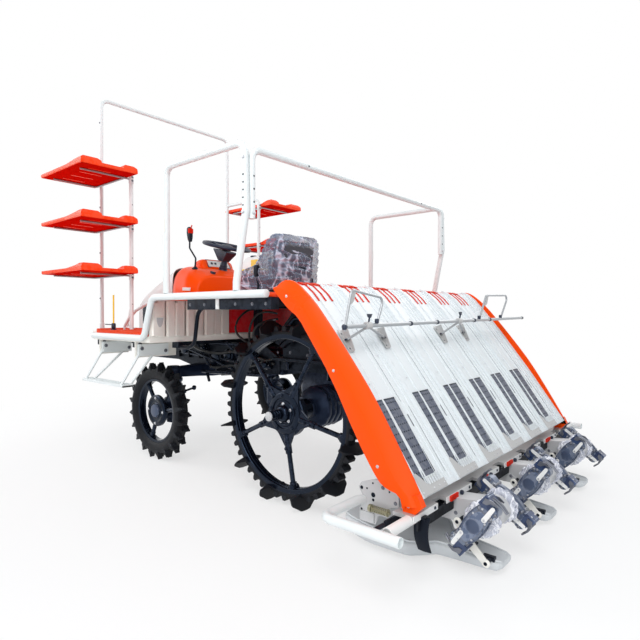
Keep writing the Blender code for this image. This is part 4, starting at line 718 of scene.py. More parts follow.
def make_side_tubes(word, side):
    """Rail, guard hoop and footstep of one side."""
    y = SIDE_TUBE_Y
    rail = [(0.185, y, 1.075), (-0.74, y, 1.075), (-0.825, y, 0.842), (-1.43, y, 0.842)]
    rail_parts = [bar(side_point(rail, side), RAIL_RADIUS, 0.055, 20, 10)]
    for end, way in ((rail[0], 1), (rail[-1], -1)):
        rail_parts.append(turned(side_point([end], side)[0], (way, 0, 0),
                                 [(RAIL_RADIUS, -0.004), (0.0172, 0.0), (0.010, 0.003)], 20))
    feet = [block(x - 0.02, x + 0.02, side * (y - 0.049), side * y, REAR_DECK_TOP, 1.091) for x in (0.10,
            -0.62)]
    screws = []
    for x in (0.10, -0.62, -0.30):
        screws += bolt((x, side * (y - 0.034), 1.091), (0, 0, 1), 0.006)
    piece("rail_tube_" + word, {"white_tube": rail_parts + feet, "steel": screws}, "chassis",
          ("side_rail_" + word,), bevel=0.0015)
    hoop = [(-0.017, y, 1.093), (-0.017, y, 1.13), (0.012, y, 1.28), (0.049, y, 1.46), (0.040, y, 1.774),
            (-0.596, y, 1.774), (-0.596, y, 1.093)]
    parts = [bar(side_point(hoop, side), HOOP_RADIUS, 0.055, 20, 10)]
    holes, caps = [], []
    # Painted shade: the post's adjusting holes are black discs standing in for the shade inside them
    for z in (1.62, 1.585, 1.55, 1.515, 1.48):
        holes.append(pin((0.048, side * (y - 0.0182), z), (0, -side, 0), 0.0045, -0.002, 0.0015, 10))
        holes.append(pin((0.048, side * (y + 0.0165), z), (0, side, 0), 0.0045, -0.002, 0.0015, 10))
    for z in (1.70, 1.45):
        caps += bolt((0.046, side * (y + 0.017), z), (0, side, 0), 0.007)
    tag = [block(-0.596 - 0.011, -0.596 + 0.011, side * (y + 0.0176), side * (y + 0.0186), 1.42, 1.50)]
    piece("hoop_tube_" + word, {"white_tube": parts, "black": holes, "steel": caps, "cream": tag},
          "chassis", ("guard_hoop_" + word,), bevel=0.0006)
    make_footstep(word, side)


# X of the two brackets, then the rods' upper and lower Y and Z
STEP_RODS = ((-1.405, ((0.894, 0.787, 1.03, 0.565), (0.733, 0.77, 0.972, 0.565))),
             (-0.965, ((0.915, 0.74, 1.03, 0.565), (0.822, 0.735, 0.972, 0.565))))


def make_footstep(word, side):
    """Hanging step: four rods from two brackets to a ribbed tread."""
    y = SIDE_TUBE_Y
    rods, brackets, screws = [], [], []
    for x, ends in STEP_RODS:
        for ya, za, yb, zb in ends:
            rods.append(bar([(x, side * ya, za), (x, side * yb, zb)], 0.0075, 0, 12))
        brackets.append(block(x - 0.0125, x + 0.01, side * (y - 0.244), side * (y - 0.044), 0.73, 0.80))
        for place, z in ((0.90, 0.775), (0.74, 0.755)):
            screws += bolt((x + 0.0105, side * place, z), (1, 0, 0), 0.008)
    tread = [block(-1.435, -0.935, side * (y + 0.001), side * (y + 0.071), 0.556, 0.566)]
    for k in range(5):
        place = y + 0.005 + k * 0.0155
        tread.append(block(-1.43, -0.94, side * place, side * (place + 0.004), 0.565, 0.5728))
    for x in (-1.435, -0.941):
        tread.append(block(x, x + 0.006, side * (y + 0.001), side * (y + 0.071), 0.556, 0.5728))
    piece("hanging_step_" + word, {"white_tube": rods + tread + brackets, "dark_steel": screws}, "chassis",
          ("footstep_" + word,), bevel=0.0012)


def make_cross_hoop():
    """Cross bar between the guard hoops."""
    x, y = 0.050, 0.930
    parts = [bar([(x, -y, 1.424), (x, -y, 1.747), (x, y, 1.747), (x, y, 1.424)], CROSS_RADIUS, 0.05, 20,
                 10)]
    holes, heads = [], []
    # Painted shade: the holes are black discs standing in for the shade inside them
    for side in (-1, 1):
        for z in (1.62, 1.56, 1.50):
            holes.append(pin((x + 0.0165, side * y, z), (1, 0, 0), 0.0045, -0.002, 0.0012, 10))
        heads += bolt((x + 0.0165, side * y, 1.45), (1, 0, 0), 0.007)
    for place in (-0.55, 0.62):
        holes.append(pin((x + 0.0165, place, 1.747), (1, 0, 0), 0.005, -0.002, 0.0012, 10))
    piece("cross_bar_tube", {"white_tube": parts, "black": holes, "steel": heads}, "chassis",
          ("rear_cross_hoop",), bevel=0.0006)


def make_racks():
    """Front portal, the two side frames and their tray carriers."""
    z0 = POST_FOOT_Z
    y = RACK_Y
    portal = [bar([(RACK_FRONT_X, -y, z0), (RACK_FRONT_X, -y, 2.630), (RACK_FRONT_X, y, 2.630),
                   (RACK_FRONT_X, y, z0)], RACK_RADIUS, 0.06, 18, 10)]
    shoes, heads = [], []
    for side in (-1, 1):
        shoes.append(block(RACK_FRONT_X - 0.028, RACK_FRONT_X + 0.028, side * (y - 0.028),
                           side * (y + 0.028), z0, z0 + 0.007))
        shoes.append(turned((RACK_FRONT_X, side * y, z0 + 0.006), (0, 0, 1),
                            [(0.018, 0), (0.018, 0.05), (0.0155, 0.054)], 20))
        for z in (1.10, 1.45, 1.80, 2.15, 2.45):
            heads += bolt((RACK_FRONT_X, side * (y + 0.0135), z), (0, side, 0), 0.005)
    piece("portal_tube", {"white_tube": portal + shoes, "dark_steel": heads}, "chassis",
          ("rack_portal",), bevel=0.0012)
    for word, side in SIDES:
        x = RACK_REAR_X
        path = [(x, y, z0), (x, y, 2.010), (RACK_FRONT_X + 0.0145, y, 2.010)]
        tubes = [bar(side_point(path, side), RACK_RADIUS, 0.045, 18, 10)]
        path = [(x, y, 1.05), (x - 0.03, y, 0.96), (x - 0.10, y, 0.89), (x - 0.10, y, z0)]
        tubes.append(bar(side_point(path, side), 0.0088, 0.03, 12))
        tubes.append(block(x - 0.028, x + 0.028, side * (y - 0.028), side * (y + 0.028), z0, z0 + 0.007))
        screws, rods = [], []
        for tray_z in RACK_TRAY_Z:
            rod_z = tray_z - 0.0083
            rods.append(bar([(x, side * y, rod_z), (x, side * 0.98, rod_z)], TRAY_ROD_RADIUS, 0, 12))
            front_x = RACK_FRONT_X + 0.020
            path = [(x + 0.003, y + 0.05, rod_z), (front_x, y + 0.05, rod_z), (front_x, 0.98, rod_z)]
            rods.append(bar(side_point(path, side), TRAY_ROD_RADIUS, 0.02, 12))
            tubes.append(turned((x, side * y, rod_z - 0.030), (0, 0, 1), [(0.0155, 0.0), (0.0175, 0.004),
                    (0.0175, 0.052), (0.0155, 0.056)], 20))
            screws += bolt((x + 0.0165, side * y, rod_z - 0.012), (1, 0, 0), 0.0055)
            screws += bolt((x + 0.0165, side * y, rod_z + 0.014), (1, 0, 0), 0.0055)
        for z in (1.05, 1.38, 1.76):
            screws += bolt((x + 0.0135, side * y, z), (1, 0, 0), 0.004, washer=False)
        piece("side_frame_" + word, {"white_tube": tubes, "rod_grey": rods, "dark_steel": screws},
              "chassis", ("rack_side_" + word,), bevel=0.001)
        for tray_name, tray_z in zip(RACK_TRAY_NAMES, RACK_TRAY_Z):
            make_rack_tray(word, side, tray_name, tray_z)


# X of a seedling carrier, and its distances from the middle
RACK_PAN = ((-2.075, -1.450), (0.640, 1.035))


def make_rack_tray(word, side, tray_name, z):
    """Shallow seedling carrier: thin walled pan with floor ribs, two hollow end lugs and an underside plate
    in darker red, painted shade.
    """
    (x0, x1), (y0, y1) = RACK_PAN

    def ring(inset, height):
        return [(x0 + inset, side * (y0 + inset), height), (x1 - inset, side * (y0 + inset), height),
                (x1 - inset, side * (y1 - inset), height), (x0 + inset, side * (y1 - inset), height)]

    pan = [lofted([ring(0.004, z), ring(0.0, z + 0.006), ring(0.0, z + 0.0235), ring(0.005, z + 0.0235),
                   ring(0.007, z + 0.006)])]
    for k in range(7):
        x = x0 + 0.06 + k * 0.075
        pan.append(block(x, x + 0.010, side * (y0 + 0.01), side * (y1 - 0.01), z + 0.005, z + 0.012))
    for k in range(4):
        y = y0 + 0.075 + k * 0.08
        pan.append(block(x0 + 0.01, x1 - 0.01, side * y, side * (y + 0.006), z + 0.005, z + 0.010))
    for a, b, length, slope in ((y0 - 0.0004, y0 + 0.105, 0.125, 0.040), (y1 - 0.140, y1 + 0.0004, 0.235,
            0.135)):
        low = [(x1 - length, a), (x1 + 0.0005, a), (x1 + 0.0005, b), (x1 - length, b)]
        middle = [(x1 - length + slope, a + 0.003), (x1 - 0.002, a + 0.003), (x1 - 0.002, b - 0.003),
                  (x1 - length + slope, b - 0.003)]
        high = [(x1 - length + slope + 0.022, a + 0.022), (x1 - 0.016, a + 0.022), (x1 - 0.016, b - 0.022),
                (x1 - length + slope + 0.022, b - 0.022)]
        pan.append(lofted([[(x, side * y, z + rise) for x, y in loop] for loop,
                           rise in ((low, 0.002), (low, 0.0215), (middle, 0.036), (high, 0.0515))]))
    # Painted shade: the underside plate is darker red than the pan
    under = [block(x0 + 0.006, x1 - 0.004, side * (y0 + 0.006), side * (y1 - 0.005), z - 0.0004, z + 0.001)]
    for k in range(4):
        x = x0 + 0.12 + k * 0.13
        pan.append(block(x, x + 0.012, side * (y0 + 0.14), side * (y1 - 0.10), z - 0.0016, z + 0.001))
    piece("seedling_pan_%s_%s" % (word, tray_name), {"pan": pan, "pan_underside_shade": under}, "chassis",
          ("rack_tray_%s_%s" % (word, tray_name),), bevel=0.0018)


for side_word, side_sign in SIDES:
    make_side_tubes(side_word, side_sign)
make_cross_hoop()
make_racks()


# Wheels

def wheel_points(centre, angle, radius, y):
    """Point on a wheel by its angle and radius about the axle."""
    return (centre[0] + radius * math.cos(angle), y, centre[1] + radius * math.sin(angle))


def ring_of(centre, profile, sides):
    """Closed ring about Y: a loop of (radius, y) points turned round the axle."""
    a = np.linspace(0, 2 * np.pi, sides, endpoint=False)
    profile = np.asarray(profile, float)
    rings = np.zeros((sides, len(profile), 3))
    rings[:, :, 0] = centre[0] + np.cos(a)[:, None] * profile[None, :, 0]
    rings[:, :, 1] = profile[None, :, 1]
    rings[:, :, 2] = centre[1] + np.sin(a)[:, None] * profile[None, :, 0]
    return grid(rings, wrap_u=True, wrap_v=True)


def tread_block(centre, angle, sections):
    """Lug standing out of a wheel: sections of (radius, half round, y low, y high) from foot to tip."""
    out = np.array([math.cos(angle), 0.0, math.sin(angle)])
    along = np.array([-math.sin(angle), 0.0, math.cos(angle)])
    base = np.array([centre[0], 0.0, centre[1]])
    rings = []
    for radius, half, y0, y1, shift in sections:
        middle = base + out * radius + along * shift
        rings.append([middle - along * half + (0, y0, 0), middle + along * half + (0, y0, 0),
                      middle + along * half + (0, y1, 0), middle - along * half + (0, y1, 0)])
    return lofted(rings)


PADDLES = 12
PADDLE_START = math.radians(-75.0)
REAR_LUGS = 48
REAR_LUG_STEP = 2 * math.pi / REAR_LUGS
FRONT_LUGS = 40
SPOKES = 5
SPOKE_START = math.radians(61.0)


def make_rear_wheel(word, side):
    """Paddy wheel: glossy rim band, rubber lugs and wedge paddles, star flange, tube spokes and hub."""
    c = REAR_AXLE
    hub = (c[0], 0, c[1])
    y = side * REAR_WHEEL_Y
    rubber = [ring_of(c, [(0.405, y - 0.029), (0.419, y - 0.0295), (0.425, y - 0.024), (0.425, y + 0.024),
                          (0.419, y + 0.0295), (0.405, y + 0.029)], 120)]
    for k in range(REAR_LUGS):
        angle = PADDLE_START + k * REAR_LUG_STEP
        if k % 4:
            rubber.append(tread_block(c, angle, [(0.422, 0.0165, y - 0.0285, y + 0.0285, 0),
                    (0.436, 0.0135, y - 0.0285, y + 0.0285, 0), (0.4488, 0.0075, y - 0.027, y + 0.027, 0)]))
    paddles = []
    for k in range(PADDLES):
        angle = PADDLE_START + k * 2 * math.pi / PADDLES
        paddles.append(make_paddle(c, y, angle))
    band = [ring_of(c, [(0.381, y - 0.025), (0.384, y - 0.0285), (0.406, y - 0.0285), (0.406, y + 0.0285),
                        (0.384, y + 0.0285), (0.381, y + 0.025)], 120),
            ring_of(c, [(0.379, y - 0.010), (0.379, y + 0.010), (0.383, y + 0.013), (0.383, y - 0.013)],
                    120)]
    flange_y = y + side * 0.018
    star = []
    for k in range(SPOKES * 16):
        share = (k % 16) / 16
        angle = SPOKE_START + 2 * math.pi * k / (SPOKES * 16)
        reach = 0.112 + 0.078 * (2 * share - 1) ** 2
        star.append((c[0] + reach * math.cos(angle), c[1] + reach * math.sin(angle)))
    metal = [plate(star, flange_y - 0.006, flange_y + 0.006, "y")]
    heads = []
    for k in range(SPOKES):
        angle = SPOKE_START + 2 * math.pi * k / SPOKES
        inner = wheel_points(c, angle, 0.105, flange_y)
        outer = wheel_points(c, angle, 0.388, y)
        sleeve = wheel_points(c, angle, 0.205, flange_y - side * 0.006)
        metal.append(bar([inner, outer], 0.0128, 0, 18))
        metal.append(bar([inner, sleeve], 0.0175, 0, 18))
        boss = wheel_points(c, angle, 0.352, y + side * 0.001)
        metal.append(bar([boss, outer], 0.0185, 0, 20))
        metal.append(turned(wheel_points(c, angle, 0.381, y), (0, 1, 0), [(0.012, -0.027), (0.021, -0.022),
                (0.021, 0.022), (0.012, 0.027)], 20))
        for reach in (0.150, 0.178):
            place = wheel_points(c, angle, reach, flange_y + side * 0.017)
            metal += bolt(place, (0, side, 0), 0.0065)
        angle += math.pi / SPOKES
        place = wheel_points(c, angle, 0.092, side * 0.671)
        metal += bolt(place, (0, side, 0), 0.0085)
        place = wheel_points(c, angle, 0.048, side * 0.6665)
        heads += bolt(place, (0, side, 0), 0.0065)
    hub_profile = [(0.055, 0.500), (0.055, 0.612), (0.118, 0.616), (0.122, 0.620), (0.122, 0.650),
                   (0.116, 0.656), (0.110, 0.657), (0.106, 0.668), (0.100, 0.671), (0.080, 0.671),
                   (0.077, 0.664), (0.070, 0.663), (0.066, 0.668), (0.058, 0.669), (0.052, 0.664),
                   (0.044, 0.668), (0.041, 0.686), (0.034, 0.694), (0.0262, 0.696), (0.0255, 0.770)]
    metal.append(turned(hub, (0, side, 0), hub_profile, 40))
    tip = [turned(hub, (0, side, 0), [(0.0235, 0.768), (0.0235, 0.776), (0.018, 0.7792), (0.006, 0.7798)],
                  28)]
    for k in range(3):
        ridge = 0.712 + k * 0.016
        metal.append(turned(hub, (0, side, 0), [(0.0258, ridge), (0.0275, ridge + 0.002),
                (0.0275, ridge + 0.006), (0.0258, ridge + 0.008)], 28))
    piece("paddy_wheel_" + word, {"rubber": rubber + paddles, "black_gloss": band + metal, "steel": heads,
                                  "light_grey": tip}, "rear_wheel_" + word,
          ("rear_wheel_" + word,), bevel=0.0016, angle=38.0)


def make_paddle(c, y, angle):
    """Wide paddle: a wedge thickest at its middle, its tip an arc that falls to the sides."""
    across = np.array([-1.0, -0.93, -0.6, -0.34, 0.0, 0.34, 0.6, 0.93, 1.0])
    inner = np.interp(np.abs(across), [0, 0.34, 1.0], [0.402, 0.404, 0.418])
    outer = np.interp(np.abs(across), [0, 0.34, 0.6, 0.93, 1.0], [0.4898, 0.4875, 0.472, 0.454, 0.444])
    foot = np.interp(np.abs(across), [0, 0.34, 1.0], [0.0175, 0.016, 0.005])
    tip = np.interp(np.abs(across), [0, 1.0], [0.0055, 0.003])
    out = np.array([math.cos(angle), 0.0, math.sin(angle)])
    along = np.array([-math.sin(angle), 0.0, math.cos(angle)])
    base = np.array([c[0], y, c[1]]) + np.outer(across, (0.0, 0.088, 0.0))
    rings = np.stack([base + out * inner[:, None] - along * foot[:, None], base + out * inner[:, None] +
                      along * foot[:, None], base + out * (outer - 0.008)[:, None] + along *
                      (tip + 0.0015)[:, None], base + out * outer[:, None] + along * tip[:, None],
                      base + out * outer[:, None] - along * tip[:, None], base + out *
                      (outer - 0.008)[:, None] - along * (tip + 0.0015)[:, None]], 1)
    return grid(rings, wrap_v=True, cap=True)


def make_front_wheel(word, side):
    """Narrow rubber tyre with tall pointed lugs, three spokes and a dished disc with slots."""
    c = FRONT_AXLE
    hub = (c[0], 0, c[1])
    y = side * FRONT_WHEEL_Y
    half = 0.046
    profile = [(0.214, -0.55), (0.232, -0.82), (0.255, -1.0), (0.272, -0.97), (0.283, -0.84),
               (0.2845, -0.4), (0.285, 0.0), (0.2845, 0.4), (0.283, 0.84), (0.272, 0.97), (0.255, 1.0),
               (0.232, 0.82), (0.214, 0.55), (0.210, 0.3), (0.210, -0.3)]
    rubber = [ring_of(c, [(r, y + share * half) for r, share in profile], 96)]
    for k in range(FRONT_LUGS):
        angle = (k + 0.5) * 2 * math.pi / FRONT_LUGS + math.pi / FRONT_LUGS
        way = -1 if k % 2 == 0 else 1
        low, high = sorted((y + way * 0.002, y + way * 0.0385))
        low2, high2 = sorted((y + way * 0.006, y + way * 0.036))
        rubber.append(tread_block(c, angle, [(0.278, 0.0215, low, high, 0),
                (0.300, 0.0125, low2, high2, 0.0), (0.3245, 0.0045, low2, high2, 0.0)]))
        low, high = sorted((y + way * 0.034, y + way * 0.0455))
        rubber.append(tread_block(c, angle, [(0.250, 0.0150, low, high, 0), (0.285, 0.0150, low, high, 0),
                (0.312, 0.0045, *sorted((y + way * 0.030, y + way * 0.038)), 0.0)]))
    rim = [ring_of(c, [(0.200, y - 0.024), (0.215, y - 0.0275), (0.215, y + 0.0275), (0.200, y + 0.024),
                       (0.197, y + 0.010), (0.197, y - 0.010)], 80)]
    metal, slots, heads = [], [], []
    for k in range(3):
        angle = math.radians(7.0) + 2 * math.pi * k / 3
        metal.append(bar([wheel_points(c, angle, 0.05, y), wheel_points(c, angle, 0.205, y)], 0.0138, 0,
                         18))
        metal.append(bar([wheel_points(c, angle, 0.172, y), wheel_points(c, angle, 0.206, y)], 0.0175, 0,
                         18))
    disc = [(0.048, 0.552), (0.048, 0.592), (0.100, 0.597), (0.106, 0.601), (0.106, 0.619), (0.101, 0.623),
            (0.086, 0.6275), (0.078, 0.6265), (0.072, 0.622), (0.058, 0.6205), (0.052, 0.6225),
            (0.049, 0.626)]
    metal.append(turned(hub, (0, side, 0), disc, 40))
    # Painted shade: the disc's slots are black plates standing in for the shade in the openings
    for k in range(4):
        start = math.radians(20.0) + k * math.pi / 2
        a = start + np.linspace(0, math.radians(46.0), 8)
        outer = [(c[0] + 0.090 * math.cos(t), c[1] + 0.090 * math.sin(t)) for t in a]
        inner = [(c[0] + 0.079 * math.cos(t), c[1] + 0.079 * math.sin(t)) for t in a[::-1]]
        slots.append(plate(outer + inner, side * 0.6265, side * 0.6285, "y"))
        place = wheel_points(c, start - math.radians(22.0), 0.086, side * 0.627)
        heads += bolt(place, (0, side, 0), 0.0065)
    cap = [turned(hub, (0, side, 0), [(0.046, 0.622), (0.046, 0.628), (0.041, 0.636), (0.030, 0.6395),
                                      (0.012, 0.6400)], 36)]
    piece("front_wheel_tyre_" + word, {"rubber": rubber, "black_gloss": rim + metal, "black": slots,
                                       "steel": heads, "casting": cap}, "front_wheel_" + word,
          ("front_wheel_" + word,), bevel=0.0012, angle=38.0)


for side_word, side_sign in SIDES:
    make_rear_wheel(side_word, side_sign)
    make_front_wheel(side_word, side_sign)


# Planting section

TRAY_XZ = np.array(TRAY_LINE)
TRAY_RUN = np.concatenate([[0.0], np.cumsum(np.linalg.norm(np.diff(TRAY_XZ, axis=0), axis=1))])
LANE_START = -0.902
LANE_STEP = 0.287
# Sideways drift of the belts for each metre down the sheet
LANE_LEAN = -0.035


def run_at(z):
    """Distance along the sheet from its front lip to a height."""
    return np.interp(-np.asarray(z, float), -TRAY_XZ[:, 1], TRAY_RUN)


def on_sheet(run, y, height):
    """Places over the bent sheet: distance along its line, place across, height square to it."""
    run, y, height = np.broadcast_arrays(np.asarray(run, float), y, height)
    x = np.interp(run, TRAY_RUN, TRAY_XZ[:, 0])
    z = np.interp(run, TRAY_RUN, TRAY_XZ[:, 1])
    low, high = np.clip(run - 0.012, 0, None), np.clip(run + 0.012, None, TRAY_RUN[-1])
    ahead = np.interp(high, TRAY_RUN, TRAY_XZ[:, 0]) - np.interp(low, TRAY_RUN, TRAY_XZ[:, 0])
    down = np.interp(high, TRAY_RUN, TRAY_XZ[:, 1]) - np.interp(low, TRAY_RUN, TRAY_XZ[:, 1])
    length = np.hypot(ahead, down)
    return np.stack([x - down / length * height, y, z + ahead / length * height], -1)


def strip(y0, y1, z0, z1, low, high, lean=0.0):
    """Band on the sheet between two heights: a rectangle across it carried along the line."""
    run0, run1 = float(run_at(z0)), float(run_at(z1))
    inside = TRAY_RUN[(TRAY_RUN > run0 + 0.002) & (TRAY_RUN < run1 - 0.002)]
    runs = np.concatenate([[run0], inside, [run1]])
    shift = lean * (runs - run0)
    return lofted(np.stack([on_sheet(runs, y + shift, h) for y, h in ((y0, low), (y1, low), (y1, high),
            (y0, high))], 1))


def sheet_plate(outline, low, high):
    """Flat outline of (y, z) places laid on the sheet, between two heights over it."""
    outline = np.asarray(outline, float)
    return lofted(np.stack([on_sheet(run_at(outline[:, 1]), outline[:, 0], h) for h in (low, high)]))


# Lengthwise ridges of one lane: place from its edge, half width, height
LANE_RIDGES = ((0.0, 0.004, 0.013), (0.012, 0.002, 0.004), (0.024, 0.0022, 0.0045),
               (0.0865, 0.0035, 0.0045), (0.174, 0.0025, 0.0045), (0.186, 0.002, 0.003),
               (0.213, 0.003, 0.0055), (0.226, 0.002, 0.003), (0.250, 0.003, 0.0055), (0.264, 0.002, 0.003))


def make_tray():
    """Seedling tray: ridged sheet, feed belts with pockets, orange marks, slots, foot plates and combs; the
    pockets and slots are black marks of painted shade.
    """
    y0, y1 = TRAY_CENTRE_Y - TRAY_HALF, TRAY_CENTRE_Y + TRAY_HALF
    across, heights = [y0, y0, y0 + 0.006, y0 + 0.0061], [0.0, 0.013, 0.013, 0.0]
    for lane in range(LANES + 1):
        for place, half, height in LANE_RIDGES:
            y = LANE_START + lane * LANE_STEP + place
            if y0 + 0.012 < y < y1 - 0.014:
                across += [y - half - 0.0012, y - half, y + half, y + half + 0.0012]
                heights += [0.0, height, height, 0.0]
    across += [y1 - 0.0061, y1 - 0.006, y1, y1]
    heights += [0.0, 0.013, 0.013, 0.0]
    across, heights = np.array(across + [y1, y0]), np.array(heights + [-0.012, -0.012])
    runs = np.unique(np.concatenate([np.linspace(0, TRAY_RUN[-1], 9), TRAY_RUN, TRAY_RUN[1:-1] - 0.008,
                                     TRAY_RUN[1:-1] + 0.008]))
    sheet = [lofted(on_sheet(runs[:, None], across[None], heights[None]))]
    for z in (1.06, 0.78, 0.62, 0.44):
        sheet.append(strip(y0 + 0.02, y1 - 0.02, z, z - 0.028, -0.026, -0.0118))
    belts, pockets, marks, slots, foot, combs, screws = [], [], [], [], [], [], []
    for lane in range(LANES):
        edge = LANE_START + lane * LANE_STEP
        for low, high, dots in ((0.032, 0.080, 3), (0.093, 0.170, 5)):
            belts.append(strip(edge + low, edge + high, 0.640, 0.360, -0.001, 0.0028, LANE_LEAN))
            drift = LANE_LEAN * float(run_at(0.372) - run_at(0.640))
            # Painted shade: the pockets are black marks standing in for the shade in them
            pockets.append(strip(edge + low + 0.0005 + drift, edge + high - 0.0005 + drift, 0.372, 0.3565,
                                 0.0, 0.0036, LANE_LEAN))
            pockets.append(strip(edge + low + 0.0005, edge + high - 0.0005, 0.6415, 0.636, 0.0, 0.0036,
                                 LANE_LEAN))
            for row in range(10):
                z = 0.628 - row * 0.0262
                shift = LANE_LEAN * float(run_at(z) - run_at(0.640))
                for k in range(dots):
                    y = edge + low + (high - low) * (k + 0.5) / dots + shift
                    pockets.append(strip(y - 0.0036, y + 0.0036, z, z - 0.0052, 0.002, 0.0036))
                belts.append(strip(edge + low + 0.002 + shift, edge + high - 0.002 + shift, z - 0.0125,
                                   z - 0.0145, 0.002, 0.0037))
        pockets.append(strip(edge + 0.0185, edge + 0.0205, 0.64, 0.40, 0.0, 0.001, LANE_LEAN))
        pockets.append(strip(edge + 0.1785, edge + 0.183, 0.64, 0.375, 0.0, 0.0012, LANE_LEAN))
        # Painted shade: the slots are black strips standing in for the shade in the openings
        slots.append(strip(edge + 0.1965, edge + 0.2005, 0.573, 0.528, 0.0, 0.0012))
        slots.append(strip(edge + 0.238, edge + 0.2395, 0.60, 0.36, 0.0, 0.0006))
        slots.append(strip(edge + 0.203, edge + 0.2042, 0.95, 0.62, 0.0, 0.0006))
        for place in (0.070, 0.117, 0.163):
            marks.append(strip(edge + place - 0.0045, edge + place + 0.0045, 1.112, 1.041, 0.0, 0.0035,
                               0.02))
            marks.append(strip(edge + place - 0.018, edge + place + 0.014, 1.1215, 1.112, 0.0, 0.007))
        for place in (0.215, 0.258):
            marks.append(strip(edge + place, edge + place + 0.012, 1.1215, 1.114, 0.0, 0.005))
        for place, z in ((0.272, 1.093), (0.284, 1.015), (0.140, 0.955), (0.232, 0.80), (0.060, 0.70)):
            spot = on_sheet(run_at(z), edge + place, 0.003)
            screws += bolt(spot, (0.75, 0, 0.66), 0.0035, washer=False)
        bottom = edge - 0.012
        foot.append(sheet_plate([(bottom + 0.012, 0.392), (bottom + 0.042, 0.392), (bottom + 0.062, 0.372),
                                 (bottom + 0.080, 0.350), (bottom + 0.205, 0.347), (bottom + 0.205, 0.3205),
                                 (bottom + 0.010, 0.3205)], 0.003, 0.0085))
        foot.append(strip(bottom + 0.014, bottom + 0.019, 0.385, 0.322, 0.008, 0.015))
        for place in (0.030, 0.110, 0.150, 0.190):
            spot = on_sheet(run_at(0.332), bottom + place, 0.0085)
            screws += bolt(spot, (0.82, 0, 0.57), 0.0035, washer=False)
        for k in range(6):
            y = bottom + 0.092 + k * 0.018
            combs.append(strip(y, y + 0.0055, 0.372, 0.346, 0.002, 0.012))
        combs.append(strip(bottom + 0.208, bottom + 0.282, 0.336, 0.320, 0.0, 0.006))
    piece("tray_sheet", {"tray": sheet + combs, "belt": belts, "black": pockets + slots,
                         "red_orange": marks, "foot_grey": foot, "steel": screws}, "tray",
          ("seedling_tray",), angle=30.0)
    for word, side in SIDES:
        make_tray_band(word, side)


def softened(points, times=2):
    """Corner cutting: each stretch keeps its middle half, the ends stay."""
    points = np.asarray(points, float)
    for _ in range(times):
        a, b = points[:-1], points[1:]
        cut = np.stack([0.75 * a + 0.25 * b, 0.25 * a + 0.75 * b], 1).reshape(-1, points.shape[1])
        points = np.concatenate([points[:1], cut, points[-1:]])
    return points


def spaced(points, count):
    """Polyline cut anew into equal stretches."""
    run = np.concatenate([[0.0], np.cumsum(np.linalg.norm(np.diff(points, axis=0), axis=1))])
    at = np.linspace(0, run[-1], count)
    return np.stack([np.interp(at, run, points[:, k]) for k in range(points.shape[1])], 1)


BAND_UPPER = ((0.215, 1.108), (0.245, 1.131), (0.290, 1.134), (0.335, 1.117), (0.425, 1.043),
              (0.528, 0.924), (0.649, 0.776), (0.746, 0.648), (0.905, 0.390), (0.950, 0.305))
BAND_LOWER = ((0.222, 1.088), (0.300, 1.008), (0.368, 0.968), (0.425, 0.890), (0.542, 0.735),
              (0.675, 0.500), (0.765, 0.370), (0.800, 0.345), (0.862, 0.336), (0.872, 0.300))


def make_tray_band(word, side):
    """Orange end band: flat outer face, a wide slanting facet above it and a foot folded inwards."""
    inner = TRAY_CENTRE_Y + side * (TRAY_HALF + 0.0006)
    outer = inner + side * 0.0414
    upper = spaced(softened(BAND_UPPER), 44)
    lower = spaced(softened(BAND_LOWER, 1), 44)
    down = lower - upper
    crease = upper + down * 0.44

    def row(flat, y):
        return np.stack([flat[:, 0], np.full(len(flat), y), flat[:, 1]], 1)

    shell = [lofted(np.stack([row(lower, inner), row(lower + down * -0.02, outer - side * 0.001),
                              row(lower - down * 0.04, outer), row(crease + down * 0.02, outer),
                              row(crease - down * 0.02, outer - side * 0.001),
                              row(upper, inner + side * 0.010), row(upper, inner)], 1))]
    foot = [plate([(0.872, 0.2765), (0.922, 0.2765), (0.950, 0.306), (0.930, 0.345), (0.868, 0.335)],
                  inner, inner + side * 0.030, "y")]
    foot.append(plate([(0.800, 0.352), (0.868, 0.335), (0.872, 0.290), (0.884, 0.290), (0.892, 0.345)],
                      outer - side * 0.012, outer - side * 0.004, "y"))
    screws = []
    for x, z in ((0.895, 0.300), (0.885, 0.318), (0.300, 1.060), (0.560, 0.760), (0.770, 0.420)):
        screws += bolt((x, outer if x < 0.8 else inner + side * 0.030, z), (0, side, 0), 0.0045)
    piece("tray_band_" + word, {"orange": shell + foot, "steel": screws}, "tray",
          ("tray_side_" + word,), bevel=0.0025, angle=32.0, segments=3)


PRESS_ENDS = ((0.575, -0.900, 0.933), (0.600, 1.060, 0.958))
PRESS_HOOPS = ((-0.674, ((-0.910, 0.915), (-0.863, 1.082), (-0.628, 1.055), (-0.680, 0.938))),
               (0.621, ((0.362, 0.949), (0.462, 1.096), (0.824, 1.106), (0.690, 0.953))))
PRESS_FEET = ((-0.745, (-0.835, -0.560)), (0.108, (0.006, 0.280)))


